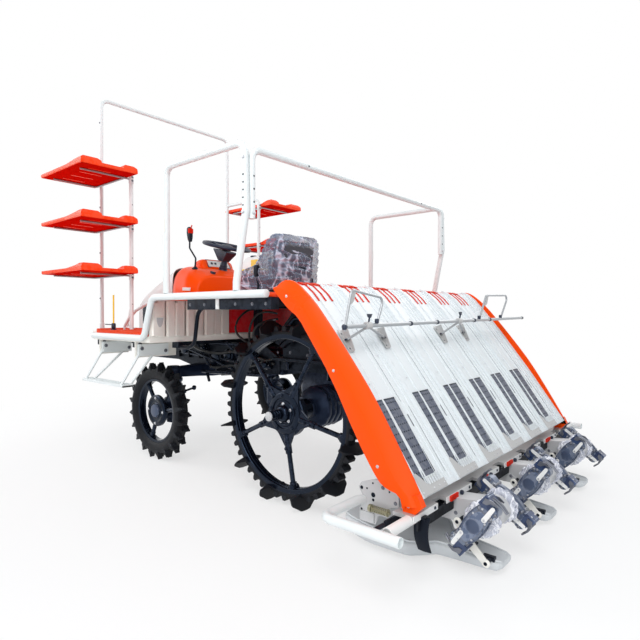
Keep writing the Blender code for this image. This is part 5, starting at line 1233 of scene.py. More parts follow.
def make_press_rods():
    """Rod over the seedlings, its bent hoops, slanting foot plates with struts, clamps and wing screws."""
    a, b = np.array(PRESS_ENDS)
    rods = [bar([a, b], 0.0088, 0, 16)]
    plates, caps, holes = [], [], []
    for end, way in ((a, -1), (b, 1)):
        caps.append(turned(end, (0.012, way, 0.012), [(0.0092, -0.004), (0.0102, 0.0), (0.0102, 0.012),
                (0.006, 0.016)], 16))

    def along_rod(y):
        return a + (b - a) * (y - a[1]) / (b[1] - a[1])

    for y, hoop in PRESS_HOOPS:
        rod = along_rod(y)
        rods.append(bar([(rod[0], py, pz) for py, pz in hoop], 0.0058, 0.024, 12, 8))
        for py, pz in (hoop[0], hoop[3]):
            caps.append(turned((rod[0], py, pz + 0.012), (0, 0, 1), [(0.0085, -0.006), (0.0095, 0.0),
                    (0.0095, 0.010), (0.007, 0.014)], 12))
        plates.append(plate([(hoop[1][0] - 0.014, hoop[1][1] - 0.062),
                             (hoop[1][0] + 0.010, hoop[1][1] - 0.050),
                             (hoop[1][0] + 0.034, hoop[1][1] + 0.005),
                             (hoop[1][0] - 0.004, hoop[1][1] - 0.004)], rod[0] - 0.0035, rod[0] + 0.0035,
                            "x"))
    (xa, za), (xb, zb) = TRAY_LINE[4:6]
    down = np.array([xb - xa, zb - za])
    down /= np.hypot(*down)
    square = np.array([-down[1], down[0]])
    low, high = [np.array([xa, za]) + down * t + square * 0.0045 for t in (-0.050, 0.060)]
    for y, feet in PRESS_FEET:
        rod = along_rod(y)
        for place in feet:
            plates.append(lofted([[(p[0], place - 0.014, p[1]), (p[0], place + 0.014, p[1]),
                                   (p[0] + square[0] * 0.004, place + 0.014, p[1] + square[1] * 0.004),
                                   (p[0] + square[0] * 0.004, place - 0.014, p[1] + square[1] *
                                    0.004)] for p in (low, high)]))
            ear = [low + square * 0.003, high + square * 0.003, high + square * 0.012, low + square *
                   0.036 + down * 0.01]
            plates.append(plate([tuple(p) for p in ear], place + 0.0095, place + 0.0125, "y"))
            pivot = (low + high) / 2 + square * 0.012
            holes.append(pin((pivot[0], place - 0.014, pivot[1]), (0, 1, 0), 0.0045, 0, 0.028, 10))
            rods.append(bar([(pivot[0], place, pivot[1]), (rod[0], y, rod[2] - 0.004)], 0.0055, 0, 10))
            for p in (low + down * 0.02, high - down * 0.015):
                holes.append(pin((p[0], place - 0.004, p[1]), (square[0], 0, square[1]), 0.0042, 0.0,
                                 0.0048, 10))
        plates.append(turned(rod - np.array([0, 0.020, 0]), (0, 1, 0),
                             [(0.014, 0.0), (0.016, 0.003), (0.016, 0.037), (0.014, 0.040)], 16))
        top = rod + np.array([0.004, 0.0, 0.016])
        holes.append(turned(top, (0.2, 0, 1), [(0.004, 0), (0.004, 0.018), (0.0075, 0.019),
                (0.0075, 0.024)], 10))
        holes.append(plate([(y - 0.020, top[2] + 0.034), (y - 0.012, top[2] + 0.020),
                            (y + 0.012, top[2] + 0.020), (y + 0.020, top[2] + 0.034)], top[0] + 0.002,
                           top[0] + 0.006, "x"))
    for y in (-0.40, -0.14, 0.30, 0.52):
        spot = along_rod(y)
        caps.append(turned(spot - np.array([0, 0.008, 0]), (0, 1, 0),
                           [(0.009, 0), (0.0115, 0.002), (0.0115, 0.014), (0.009, 0.016)], 14))
    piece("press_rod_set", {"rod_grey": rods, "foot_grey": plates, "grip": caps + holes}, "tray",
          ("press_rods",), bevel=0.0008)


def make_guide_rail():
    """Channel at the tray's foot: slotted grey top, white lip between gates, red blocks, black knobs; the
    slots are black strips of painted shade.
    """
    top, lip, red, knobs, gear, holes = [], [], [], [], [], []
    top.append(block(0.842, 0.897, -0.965, 0.965, 0.262, 0.276))
    gates = [(k - 2.5) * 0.300 for k in range(6)]
    edges = [-0.965] + [y + s for y in gates for s in (-0.036, 0.036)] + [0.965]
    for y0, y1 in zip(edges[::2], edges[1::2]):
        top.append(block(0.896, 0.925, y0, y1, 0.262, 0.276))
        lip.append(block(0.9252, 0.9285, y0, y1, 0.252, 0.2755))
    for y in gates:
        red.append(block(0.9287, 0.9360, y + 0.060, y + 0.125, 0.255, 0.2755))
        knobs.append(turned((0.9290, y + 0.155, 0.266), (1, 0, 0),
                            [(0.007, 0), (0.0095, 0.003), (0.0095, 0.010), (0.006, 0.013)], 12))
        knobs += bolt((0.9287, y - 0.060, 0.264), (1, 0, 0), 0.0045)
        # Painted shade: the top's slots are black strips standing in for the shade in them
        for k in range(3):
            place = y + 0.05 + k * 0.060
            holes.append(block(0.855, 0.859, place, place + 0.040, 0.2755, 0.2764))
        gear.append(block(0.846, 0.893, y - 0.050, y + 0.030, 0.212, 0.2615))
        gear.append(turned((0.872, y + 0.050, 0.232), (0, 1, 0),
                           [(0.015, 0), (0.022, 0.003), (0.022, 0.022), (0.014, 0.026)], 16))
    gear.append(bar([(0.876, -1.02, 0.232), (0.876, 1.02, 0.232)], 0.0105, 0, 14))
    gear.append(block(0.846, 0.854, -1.03, 1.03, 0.236, 0.2615))
    for side in (-1, 1):
        lip.append(turned((0.905, side * 0.930, 0.2565), (0, side, 0), [(0.016, -0.002), (0.0195, 0.0),
                (0.0195, 0.1690), (0.0165, 0.1698), (0.0160, 0.155)], 24))
        gear.append(turned((0.850, side * 1.035, 0.250), (0, side, 0),
                           [(0.0085, 0), (0.0085, 0.055), (0.006, 0.056)], 14))
        for k in range(2):
            knobs += bolt((0.86 + k * 0.05, side * 0.952, 0.262), (0, 0, -1), 0.004)
    for y in CASE_Y:
        top.append(block(0.845, 0.885, y - 0.03, y + 0.03, 0.2545, 0.268))
    piece("guide_channel", {"foot_grey": top, "white": lip, "red_orange": red, "grip": knobs,
                            "black": gear + holes}, "planter", ("guide_rail",), bevel=0.0012)


def make_lip_shadow_strip():
    """Painted shadow in the gap under the sheet's lip: a dark flat bar across the machine standing in for
    the shade there.
    """
    piece("lip_shadow_strip", {"rubber": [block(0.9180, 0.9240, -0.93, 0.93, 0.212, 0.2518)]}, "planter",
          bevel=0.0008)


def capsule(centre, out, stations, low, high, lift=0.0, count=20):
    """Link of two half rounds along a line in the X-Z plane, each end its own radius."""
    (a, ra), (b, rb) = stations
    t = np.linspace(-np.pi / 2, np.pi / 2, count // 2)
    far = np.stack([b + rb * np.cos(t), rb * np.sin(t)], 1)
    near = np.stack([a - ra * np.cos(t), -ra * np.sin(t)], 1)
    outline = np.concatenate([far, near])
    out = np.asarray(out, float)
    across = np.array([-out[1], out[0]])
    flat = np.asarray(centre)[None] + outline[:, :1] * out + (outline[:, 1:] + lift) * across
    return plate([tuple(p) for p in flat], low, high, "y")


# Angle of each case at rest by its side, and its distance from the middle of the shaft
CASE_TURN = {-1: 55, 1: 145}
CASE_OFFSET = 0.15
# One rotary case, along its arm and across it
CASE_OUTLINE = [(-0.094, -0.020), (-0.060, -0.036), (0.0, -0.044), (0.060, -0.036), (0.094, -0.020),
                (0.098, 0.0), (0.094, 0.020), (0.060, 0.036), (0.0, 0.044), (-0.060, 0.036),
                (-0.094, 0.020), (-0.098, 0.0)]


def make_rotor(word, case_y):
    """Two rotary cases on a shaft, each with two planting arms, square navy caps, claws and links."""
    x, z = ROTOR_AXIS
    cast, caps, steel, dark, light, slate = [], [], [], [], [], []
    shaft = [(0.0175, -0.17), (0.0175, 0.17)]
    steel.append(turned((x, case_y, z), (0, 1, 0), shaft, 20))
    for side in (-1, 1):
        cast.append(turned((x, case_y, z), (0, side, 0), [(0.030, 0.0528), (0.034, 0.056), (0.034, 0.070),
                (0.026, 0.076), (0.026, 0.104), (0.036, 0.110), (0.036, 0.121)], 24))
        y = case_y + side * CASE_OFFSET
        angle = math.radians(CASE_TURN[side])
        out = np.array([math.cos(angle), math.sin(angle)])
        across = np.array([-out[1], out[0]])
        axis = np.array([x, z])

        def spot(a, b, place):
            flat = axis + out * a + across * b
            return (flat[0], place, flat[1])

        body = softened(CASE_OUTLINE + CASE_OUTLINE[:1], 1)[:-1]

        def slab(shrink, low, high):
            flat = axis[None] + body[:, :1] * shrink * out + body[:, 1:] * shrink * across
            return plate([tuple(p) for p in flat], y + low, y + high, "y")

        cast += [slab(0.90, -0.027, 0.027), slab(1.0, -0.004, 0.004)]
        slate.append(slab(0.72, -0.0292, 0.0292))
        dark.append(slab(1.012, -0.0018, 0.0018))
        dark.append(slab(0.76, -0.0277, 0.0277))
        for a in (-0.085, -0.045, 0.045, 0.085):
            for b in (-0.022, 0.022):
                if abs(a) > 0.08 and b < 0:
                    continue
                steel.extend(bolt(spot(a * 0.95, b * (1.2 if abs(a) < 0.05 else 0.5), y - 0.0275),
                                  (0, -1, 0), 0.0042, False))
        cast.append(turned(spot(0, 0, y - 0.0335), (0, 1, 0), [(0.012, 0), (0.026, 0.003), (0.026, 0.064),
                (0.012, 0.067)], 24))
        for end in (-1, 1):
            arm = [(0.055, -0.030), (0.078, -0.042), (0.100, -0.043), (0.115, -0.028), (0.124, 0.018),
                   (0.134, 0.030), (0.118, 0.034), (0.080, 0.029), (0.062, 0.0)]
            arm = softened([(a * end, b * end) for a, b in arm + arm[:1]], 1)[:-1]
            flat = axis[None] + arm[:, :1] * out + arm[:, 1:] * across
            cast.append(plate([tuple(p) for p in flat], y - 0.019, y + 0.019, "y"))
            inner = axis[None] + (arm * 0.97 + 0.03 * arm.mean(0))[:, :1] * out + (arm * 0.8 + 0.2 *
                    arm.mean(0))[:, 1:] * across
            slate.append(plate([tuple(p) for p in inner], y - 0.0235, y + 0.0235, "y"))
            cap = [(0.080, -0.006), (0.124, -0.008), (0.130, 0.032), (0.086, 0.036)]
            flat = [tuple(axis + out * a * end + across * b * end) for a, b in cap]
            caps.append(plate(flat, y - 0.0265, y + 0.0265, "y"))
            for dy in (-0.018, 0.018):
                steel.extend(bolt(spot(0.107 * end, 0.0335 * end, y + dy),
                                  (across[0] * end, 0, across[1] * end), 0.0042, False))
                claw = [spot(0.118 * end, 0.028 * end, y + dy * 0.4),
                        spot(0.128 * end, 0.0 * end, y + dy * 0.4), spot(0.129 * end, -0.030 * end,
                        y + dy * 0.4), spot(0.121 * end, -0.058 * end, y + dy * 0.4)]
                dark.append(bar(claw, 0.0038, 0.015, 8, 4))
            dark.append(turned(spot(0.080 * end, -0.012 * end, y - 0.0275), (0, 1, 0),
                               [(0.006, 0), (0.012, 0.002), (0.012, 0.053), (0.006, 0.055)], 18))
            fork = [(0.100, 0.024), (0.121, 0.026), (0.133, 0.0), (0.131, -0.024), (0.126, -0.024),
                    (0.120, 0.0), (0.104, 0.010)]
            flat = [tuple(axis + out * a * end + across * b * end) for a, b in fork]
            for low, high in ((-0.0315, -0.0268), (0.0268, 0.0315)):
                dark.append(plate(flat, y + low, y + high, "y"))
            for a, b, r in ((0.066, -0.030, 0.0075), (0.094, -0.034, 0.006), (0.070, 0.022, 0.006)):
                dark.append(turned(spot(a * end, b * end, y - 0.0295), (0, 1, 0),
                                   [(r * 0.6, 0), (r, 0.002), (r, 0.057), (r * 0.6, 0.059)], 14))
            coil = np.linspace(0, 2 * np.pi * 5, 60)
            helix = np.stack([np.full(60, 0.074 * end) + 0.0055 * np.cos(coil) * end,
                              np.linspace(-0.036, -0.008, 60) * end], 1)
            flat = axis[None] + helix[:, :1] * out + helix[:, 1:] * across
            path = np.stack([flat[:, 0], y - 0.0255 + 0.0055 * np.sin(coil) * 0.4, flat[:, 1]], 1)
            steel.append(carried(path, circle(0.0012, 5), (out[0], 0.1, out[1])))
            light.append(capsule(axis, out * end, ((0.052, 0.009), (0.108, 0.0075)), y - 0.0305, y - 0.0275,
                                 -0.016))
            steel.extend(bolt(spot(0.052 * end, -0.016 * end, y - 0.0305), (0, -1, 0), 0.0045, False))
    piece("planting_rotor_" + word, {"casting": cast, "cap": caps, "steel": steel, "dark_steel": dark,
                                     "white": light, "slate": slate}, "rotor_" + word,
          ("rotor_" + word,), bevel=0.0014, angle=36.0)
    make_wrap(word, case_y)


def make_wrap(word, case_y):
    """Loose clear film round each hub: a short closed barrel, its radius creased by crossing sine waves."""
    x, z = ROTOR_AXIS
    shells = []
    for index, side in enumerate((-1, 1)):
        u = np.linspace(0, 2 * np.pi, 64, endpoint=False)[None]
        v = np.linspace(0.0, 1.0, 26)[:, None]
        seed = 1.7 * index + CASE_Y.index(case_y) * 2.3
        wave = (np.sin(5 * u + 3 * np.sin(7 * v + seed)) * 0.6 + np.sin(9 * u - 14 * v + seed) * 0.35 +
                np.abs(np.sin(3 * u + 12 * v + 2 * seed)) * 0.9 - 0.4)
        radius = (0.046 + 0.016 * np.sin(np.pi * v) ** 0.6) * (1.0 + 0.13 * wave)
        y = case_y + side * (0.062 + 0.056 * v + 0.004 * np.sin(4 * u + seed))
        points = np.stack([x + radius * np.cos(u), y, z + radius * np.sin(u)], -1)
        shells.append(grid(points, wrap_v=True, cap=True))
    piece("wrap_film_" + word, {"film": shells}, "rotor_" + word, angle=70.0)


# Along X: half width, sole, top
FLOAT_SECTIONS = np.array(((0.462, 0.150, 0.086, 0.114), (0.480, 0.176, 0.064, 0.115),
                           (0.520, 0.194, 0.035, 0.115), (0.600, 0.200, 0.020, 0.106),
                           (0.700, 0.198, 0.020, 0.095), (0.790, 0.190, 0.020, 0.086),
                           (0.835, 0.140, 0.020, 0.080), (0.868, 0.090, 0.020, 0.075),
                           (0.950, 0.079, 0.020, 0.069), (1.060, 0.071, 0.020, 0.061),
                           (1.100, 0.064, 0.022, 0.058), (1.118, 0.050, 0.032, 0.054)))


def make_float(word, case_y):
    """Sled float: rounded shell with swollen sides over a flat sole, rim, mast and kneed rear link."""
    s = np.linspace(0, 1, 44)
    base = np.linspace(0, 1, len(FLOAT_SECTIONS))
    x, half, low, high = (np.interp(s, base, FLOAT_SECTIONS[:, k]) for k in range(4))
    t = np.linspace(0, 2 * np.pi, 40, endpoint=False)[None]
    square = np.sign(np.cos(t)) * np.abs(np.cos(t)) ** 0.30, np.sign(np.sin(t)) * np.abs(np.sin(t)) ** 0.42
    y = case_y + half[:, None] * square[0] * (1 - 0.03 * (1 - square[1]))
    z = (low + high)[:, None] / 2 + (high - low)[:, None] / 2 * square[1]
    shell = [grid(np.stack([np.broadcast_to(x[:, None], y.shape), y, z], -1), wrap_v=True, cap=True)]
    rim = np.stack([x[3:-1], case_y + (half - 0.018)[3:-1], high[3:-1] + 0.0005], 1)
    other = rim * (1, -1, 1) + (0, 2 * case_y, 0)
    for path in (rim, other):
        shell.append(carried(path, circle(0.0045, 8), (0, 0, 1)))
    metal = [block(0.66, 0.72, case_y - 0.02, case_y + 0.02, 0.08, 0.1947),
             block(0.635, 0.745, case_y - 0.034, case_y + 0.034, 0.090, 0.100)]
    dark = []
    (xa, za), (xb, zb) = (0.966, 0.189), (1.079, 0.063)
    y = case_y - 0.1
    knee = (0.5 * (xa + xb) - 0.006, 0.5 * (za + zb) - 0.012)
    bars = [plate([(xa - 0.0125, za - 0.004), (xa + 0.008, za + 0.011), (knee[0] + 0.020, knee[1] + 0.010),
                   (xb + 0.010, zb + 0.006), (xb - 0.007, zb - 0.010), (knee[0] - 0.010, knee[1] - 0.006)],
                  y - 0.0038, y + 0.0038, "y")]
    for place in ((xa, za), (xb, zb)):
        bars.append(turned((place[0], y - 0.0055, place[1]), (0, 1, 0),
                           [(0.012, 0), (0.0155, 0.002), (0.0155, 0.009), (0.012, 0.011)], 22))
        dark.append(turned((place[0], y - 0.0075, place[1]), (0, 1, 0),
                           [(0.0062, 0), (0.0070, 0.001), (0.0070, 0.004)], 12))
        dark.append(pin((place[0], y, place[1]), (0, 1, 0), 0.0078, 0, 0.054, 12))
    dark.append(pin((knee[0] + 0.002, y - 0.0045, knee[1]), (0, 1, 0), 0.004, 0, 0.002, 10))
    dark += [block(xb - 0.030, xb + 0.016, case_y - 0.060, case_y - 0.040, 0.050, zb + 0.010),
             block(0.955, 1.005, case_y - 0.050, case_y - 0.030, 0.064, 0.076),
             block(0.965, 0.995, case_y, case_y + 0.03, 0.064, 0.074)]
    piece("sled_float_" + word, {"float": shell, "light_grey": metal, "cream": bars, "black": dark},
          "planter", ("float_" + word,), bevel=0.0012, angle=45.0)


def make_float_guard(word, side):
    y = 1.120
    path = [(0.7000, 0.80, 0.225), (0.64, 0.80, 0.225), (0.64, 0.90, 0.250), (0.64, y, 0.250),
            (0.955, y, 0.250)]
    tube = [bar(side_point(path, side), RAIL_RADIUS, 0.045, 22, 8)]
    tube.append(turned((0.955, side * y, 0.250), (1, 0, 0), [(RAIL_RADIUS, -0.002), (RAIL_RADIUS, 0.015),
            (0.0165, 0.0155), (0.0160, 0.004)], 22))
    tube.append(block(0.662, 0.702, side * 0.772, side * 0.828, 0.195, 0.2555))
    piece("guard_bar_" + word, {"white_tube": tube}, "planter", ("float_guard_" + word,),
          bevel=0.001)


def make_planter_details():
    """End brackets with bolts, coil springs, black mud flaps and case brackets of the planting section."""
    grey, holes, spring, flap, dark = [], [], [], [], []
    for side in (-1, 1):
        y = side * 0.862
        outline = [(0.618, 0.290), (0.632, 0.312), (0.700, 0.336), (0.785, 0.334), (0.806, 0.318),
                   (0.806, 0.252), (0.770, 0.240), (0.755, 0.204), (0.712, 0.194), (0.700, 0.156),
                   (0.632, 0.170), (0.622, 0.205), (0.652, 0.240)]
        grey.append(plate(outline, y - 0.0045, y + 0.0045, "y"))
        grey.append(block(0.800, 0.806, y - side * 0.004, y - side * 0.064, 0.252, 0.318))
        grey.append(block(0.700, 0.790, y - side * 0.004, y - side * 0.050, 0.329, 0.334))
        grey.append(block(0.628, 0.696, y + side * 0.004, y + side * 0.010, 0.160, 0.200))
        # Painted shade: the bracket's holes are black discs standing in for the shade inside them
        for x, z, r in ((0.634, 0.290, 0.0075), (0.660, 0.292, 0.004), (0.688, 0.318, 0.004),
                        (0.690, 0.272, 0.010), (0.690, 0.252, 0.006), (0.634, 0.204, 0.005),
                        (0.640, 0.182, 0.005), (0.765, 0.300, 0.004)):
            holes.append(pin((x, y + side * 0.0035, z), (0, side, 0), r, 0, 0.0018, 14))
        for x, z in ((0.670, 0.176), (0.780, 0.322), (0.792, 0.262), (0.735, 0.310)):
            dark += bolt((x, y + side * 0.0045, z), (0, side, 0), 0.0055)
        coil = np.linspace(0, 2 * np.pi * 8, 120)
        path = np.stack([np.linspace(0.700, 0.770, 120), y + side * 0.026 + 0.0115 * np.cos(coil),
                         0.227 + 0.0115 * np.sin(coil)], 1)
        spring.append(carried(path, circle(0.0023, 7), (1.0, 0.0, 0.0)))
        spring.append(pin((0.682, y + side * 0.026, 0.227), (1, 0, 0), 0.006, 0, 0.100, 12))
        spring.append(pin((0.686, y + side * 0.026, 0.227), (1, 0, 0), 0.015, 0, 0.012, 16))
        spring.append(pin((0.770, y + side * 0.026, 0.227), (1, 0, 0), 0.015, 0, 0.004, 16))
        grey.append(block(0.684, 0.696, y, y + side * 0.030, 0.219, 0.235))
        t = np.linspace(0, 1, 18)
        middle = np.stack([0.958 - 0.006 * np.sin(np.pi * t * 0.9) + 0.010 * t, 0.2615 - 0.125 * t], 1)
        half = 0.030 - 0.004 * t
        place = side * (0.900 + 0.012 * np.sin(np.pi * t))
        rings = np.stack([np.stack([middle[:, 0] + a * half - 0.03, place + b, middle[:, 1]], 1) for a,
                          b in ((-1, -0.003), (0, side * 0.004 - 0.003), (1, -0.003), (1, 0.003),
                                (0, side * 0.004 + 0.003), (-1, 0.003))], 1)
        flap.append(lofted(rings))
        flap.append(block(0.900, 0.945, side * 0.885, side * 0.915, 0.252, 0.2615))
    for y in CASE_Y:
        for way in (-1, 1):
            face = y + way * 0.0455
            outline = [(0.735, 0.262), (0.850, 0.258), (0.905, 0.222), (0.990, 0.182), (0.985, 0.170),
                       (0.900, 0.168), (0.830, 0.172), (0.745, 0.186)]
            grey.append(plate(outline, face, face + way * 0.005, "y"))
            for x, z in ((0.770, 0.240), (0.770, 0.210), (0.862, 0.236), (0.862, 0.190), (0.935, 0.200)):
                dark += bolt((x, face + way * 0.005, z), (0, way, 0), 0.0055)
        grey.append(block(0.76, 0.84, y - 0.040, y + 0.040, 0.252, 0.258))
    for y in (-0.74, -0.36, -0.24, 0.24, 0.36, 0.74):
        dark.append(block(0.757, 0.764, y - 0.028, y + 0.028, 0.198, 0.252))
        dark += bolt((0.764, y, 0.225), (1, 0, 0), 0.006)
    for y in (-0.45, 0.45, -0.15, 0.15):
        dark.append(bar([(0.762, y, 0.240), (0.80, y, 0.238), (0.858, y, 0.232)], 0.009, 0.02, 10))
    piece("planter_brackets", {"light_grey": grey, "black": holes + flap, "olive": spring,
                               "dark_steel": dark}, "planter", bevel=0.001)


make_tray()
make_press_rods()
make_lip_shadow_strip()
make_guide_rail()
for case_name, case_place in zip(CASE_NAMES, CASE_Y):
    make_rotor(case_name, case_place)
    make_float(case_name, case_place)
for side_word, side_sign in SIDES:
    make_float_guard(side_word, side_sign)
make_planter_details()


# Cowl, hood, decks and controls

COWL_FRONT_X = -1.546
DECK_TOP = 0.8503


def eased(at, places, values):
    """Smooth reading between stations: linear reading of three neighbours, averaged."""
    reach = 0.018
    return sum(np.interp(at + shift, places, values) for shift in (-reach, 0.0, reach)) / 3


def make_cowl():
    """Dash cowl: one loft along X whose section is a side, a seam, a round shoulder and a crowned top."""
    places = np.array([-1.546, -1.450, -1.300, -1.180])
    x = np.concatenate([[-1.546, -1.544, -1.538], np.linspace(-1.525, -1.20, 22), [-1.188, -1.182, -1.180]])
    half = eased(x, places, [0.300, 0.345, 0.370, 0.350])
    top = eased(x, places, [1.328, 1.343, 1.315, 1.255])
    shoulder = eased(x, places, [0.15, 0.16, 0.17, 0.17])
    depth = np.minimum(x - x[0], x[-1] - x)
    inset = 0.016 * (1 - np.sqrt(1 - (1 - np.clip(depth / 0.016, 0, 1)) ** 2))
    rows = []
    for h, t, s, i in zip(half, top, shoulder, inset):
        side = [(h - i, DECK_TOP), (h - i, 1.118), (h - i - 0.0035, 1.122), (h - i - 0.0035, 1.128),
                (h - i + 0.001, 1.132)]
        over = softened([(h - i + 0.001, 1.132), (h - i, t - s), (h * 0.93 - i, t - 0.05 - i * 0.5),
                         (h * 0.72 - i, t - i), (h * 0.34, t + 0.003 - i), (0.0, t + 0.004 - i)], 2)
        rows.append(side + [tuple(p) for p in over[1:]])
    rows = np.array(rows)
    right = np.concatenate([rows, rows[:, -2::-1] * (-1, 1)], 1)
    shell = [lofted(np.stack([np.broadcast_to(x[:, None], right.shape[:2]), right[..., 0], right[..., 1]],
                             -1))]
    hump_x = np.array([-1.512, -1.508, -1.49, -1.46, -1.43, -1.405, -1.392, -1.378, -1.362, -1.350])
    hump_half = np.array([0.128, 0.136, 0.146, 0.153, 0.156, 0.156, 0.154, 0.150, 0.145, 0.140])
    hump_top = np.array([1.352, 1.366, 1.388, 1.402, 1.406, 1.404, 1.398, 1.376, 1.350, 1.330])
    t = np.linspace(0, np.pi, 28)[None]
    wide = np.sign(np.cos(t)) * np.abs(np.cos(t)) ** 0.35 * hump_half[:, None]
    tall = 1.25 + (hump_top[:, None] - 1.25) * np.sin(t) ** 0.22
    shell.append(lofted(np.stack([np.broadcast_to(hump_x[:, None], wide.shape), wide, tall], -1)))
    face = [(-1.3925, 1.3925), (-1.3610, 1.3440)]
    display, bezel, dark = [], [], []
    for grow, lift, store in ((0.0, 0.0035, display), (0.010, 0.0020, bezel)):
        out = np.array([0.84, 0.0, 0.545])
        ring = []
        for (px, pz), y in ((face[0], -1), (face[0], 1), (face[1], 1), (face[1], -1)):
            edge = grow * (1 if pz > 1.37 else -1)
            ring.append((px - edge * 0.5, y * (0.100 + grow), pz + edge * 0.8))
        ring = np.array(ring)
        store.append(lofted([ring - out * 0.004, ring + out * lift]))
    for y in (-0.065, -0.03, 0.03, 0.065):
        dark.append(pin((-1.3755, y, 1.3705), (0.84, 0, 0.545), 0.010, 0.002, 0.0045, 18))
    dark.append(turned((-1.235, -0.165, 1.270), (0.3, 0, 1), [(0.020, 0), (0.024, 0.006), (0.018, 0.016),
            (0.010, 0.020)], 20))
    dark.append(plate([(-1.25, 1.285), (-1.215, 1.278), (-1.205, 1.288), (-1.245, 1.300)], -0.175, -0.155,
                      "y"))
    dark.append(turned((-1.245, 0.150, 1.272), (0.3, 0, 1), [(0.014, 0), (0.017, 0.006), (0.013, 0.024),
            (0.009, 0.028)], 18))
    slot = [turned((-1.330, -0.25, 1.3110), (0.2, 0, 1), [(0.024, 0), (0.027, 0.004), (0.016, 0.012),
            (0.010, 0.022)], 18)]
    badge = []
    for side in (-1, 1):
        dark.append(block(-1.182, -1.172, side * 0.338, side * 0.349, 1.01, 1.06))
        badge.append(plate([(-1.315, 1.150), (-1.225, 1.146), (-1.222, 1.168), (-1.312, 1.172)],
                           side * 0.3665, side * 0.3715, "y"))
    edge = rows[0]
    loop = np.concatenate([edge * (-1, 1), edge[-2::-1]])
    trim = np.stack([np.full(len(loop), COWL_FRONT_X + 0.001), loop[:, 0] * 1.004, loop[:, 1] + 0.002], 1)
    dark.append(carried(trim[1:-1], circle(0.0065, 10), (1.0, 0.0, 0.0)))
    piece("dash_shell", {"orange": shell, "white": display + badge, "grip": bezel + dark, "black": slot},
          "chassis", ("dash_cowl",), bevel=0.002, angle=35.0)


HOOD_PLACES = np.array([-2.122, -2.085, -1.90, -1.70, -1.554])


def make_hood():
    """Nose hood: thin shell of smooth sections along X, closed at the nose, with side vents drawn as dark
    plates of painted shade.
    """
    x = np.concatenate([[-2.1205, -2.118, -2.112], np.linspace(-2.10, -1.554, 26)])
    half = np.interp(x, HOOD_PLACES, [0.235, 0.270, 0.290, 0.297, 0.300])
    top = np.interp(x, [-2.122, -2.105, -2.085, -2.0, -1.90, -1.80, -1.70, -1.554],
                    [0.965, 1.045, 1.090, 1.150, 1.190, 1.236, 1.272, 1.340])
    rows = []
    for h, t in zip(half, top):
        side = t - 0.12 * (t - DECK_TOP) - 0.02
        line = softened([(h, DECK_TOP), (h, side), (h * 0.90, t - 0.014), (h * 0.66, t),
                         (h * 0.3, t + 0.002), (0.0, t + 0.002)], 3)
        rows.append(spaced(line, 26))
    rows = np.array(rows)
    right = np.concatenate([rows, rows[:, -2::-1] * (-1, 1)], 1)
    outer = np.stack([np.broadcast_to(x[:, None], right.shape[:2]), right[..., 0], right[..., 1]], -1)
    nose = outer[:1].copy()
    nose[..., 1] *= 0.6
    nose[..., 2] = DECK_TOP + (nose[..., 2] - DECK_TOP) * 0.8
    nose[..., 0] = -2.1218
    middle = nose.copy()
    middle[..., 1] *= 0.02
    middle[..., 2] = DECK_TOP + (middle[..., 2] - DECK_TOP) * 0.3
    skin = grid(np.concatenate([middle, nose, outer]))
    vents, seams = [], []
    for side in (-1, 1):
        # Painted shade: each vent is a dark plate standing in for the shade in the opening
        rings = []
        for vx, low, high in ((-2.005, 0.903, 1.020), (-1.99, 0.897, 1.036), (-1.925, 0.900, 1.056),
                              (-1.908, 0.908, 1.050)):
            h = float(np.interp(vx, HOOD_PLACES, [0.235, 0.270, 0.290, 0.297, 0.300]))
            rings.append([(vx, side * (h - 0.004), low), (vx, side * (h + 0.0015), low),
                          (vx, side * (h + 0.0015), high), (vx, side * (h - 0.004), high)])
        vents.append(lofted(rings))
        for k in range(4):
            z = 0.925 + k * 0.030
            h = 0.2855
            seams.append(lofted([[(vx, side * (h + d), z), (vx, side * (h + d + 0.0045), z),
                                  (vx, side * (h + d + 0.0045), z + 0.006),
                                  (vx, side * (h + d), z + 0.006)] for vx,
                                 d in ((-1.995, -0.002), (-1.915, 0.0025))]))
    hood = piece("hood_shell", {"hood": [skin], "black": vents, "grip": seams}, "hood",
                 ("nose_hood",), angle=50.0)
    wall = hood.modifiers.new("wall", "SOLIDIFY")
    wall.thickness = 0.0035
    wall.offset = -1.0
    edging = hood.modifiers.new("soft_rim", "BEVEL")
    edging.width = 0.001
    edging.segments = 2
    edging.limit_method = "ANGLE"
    edging.angle_limit = math.radians(60)


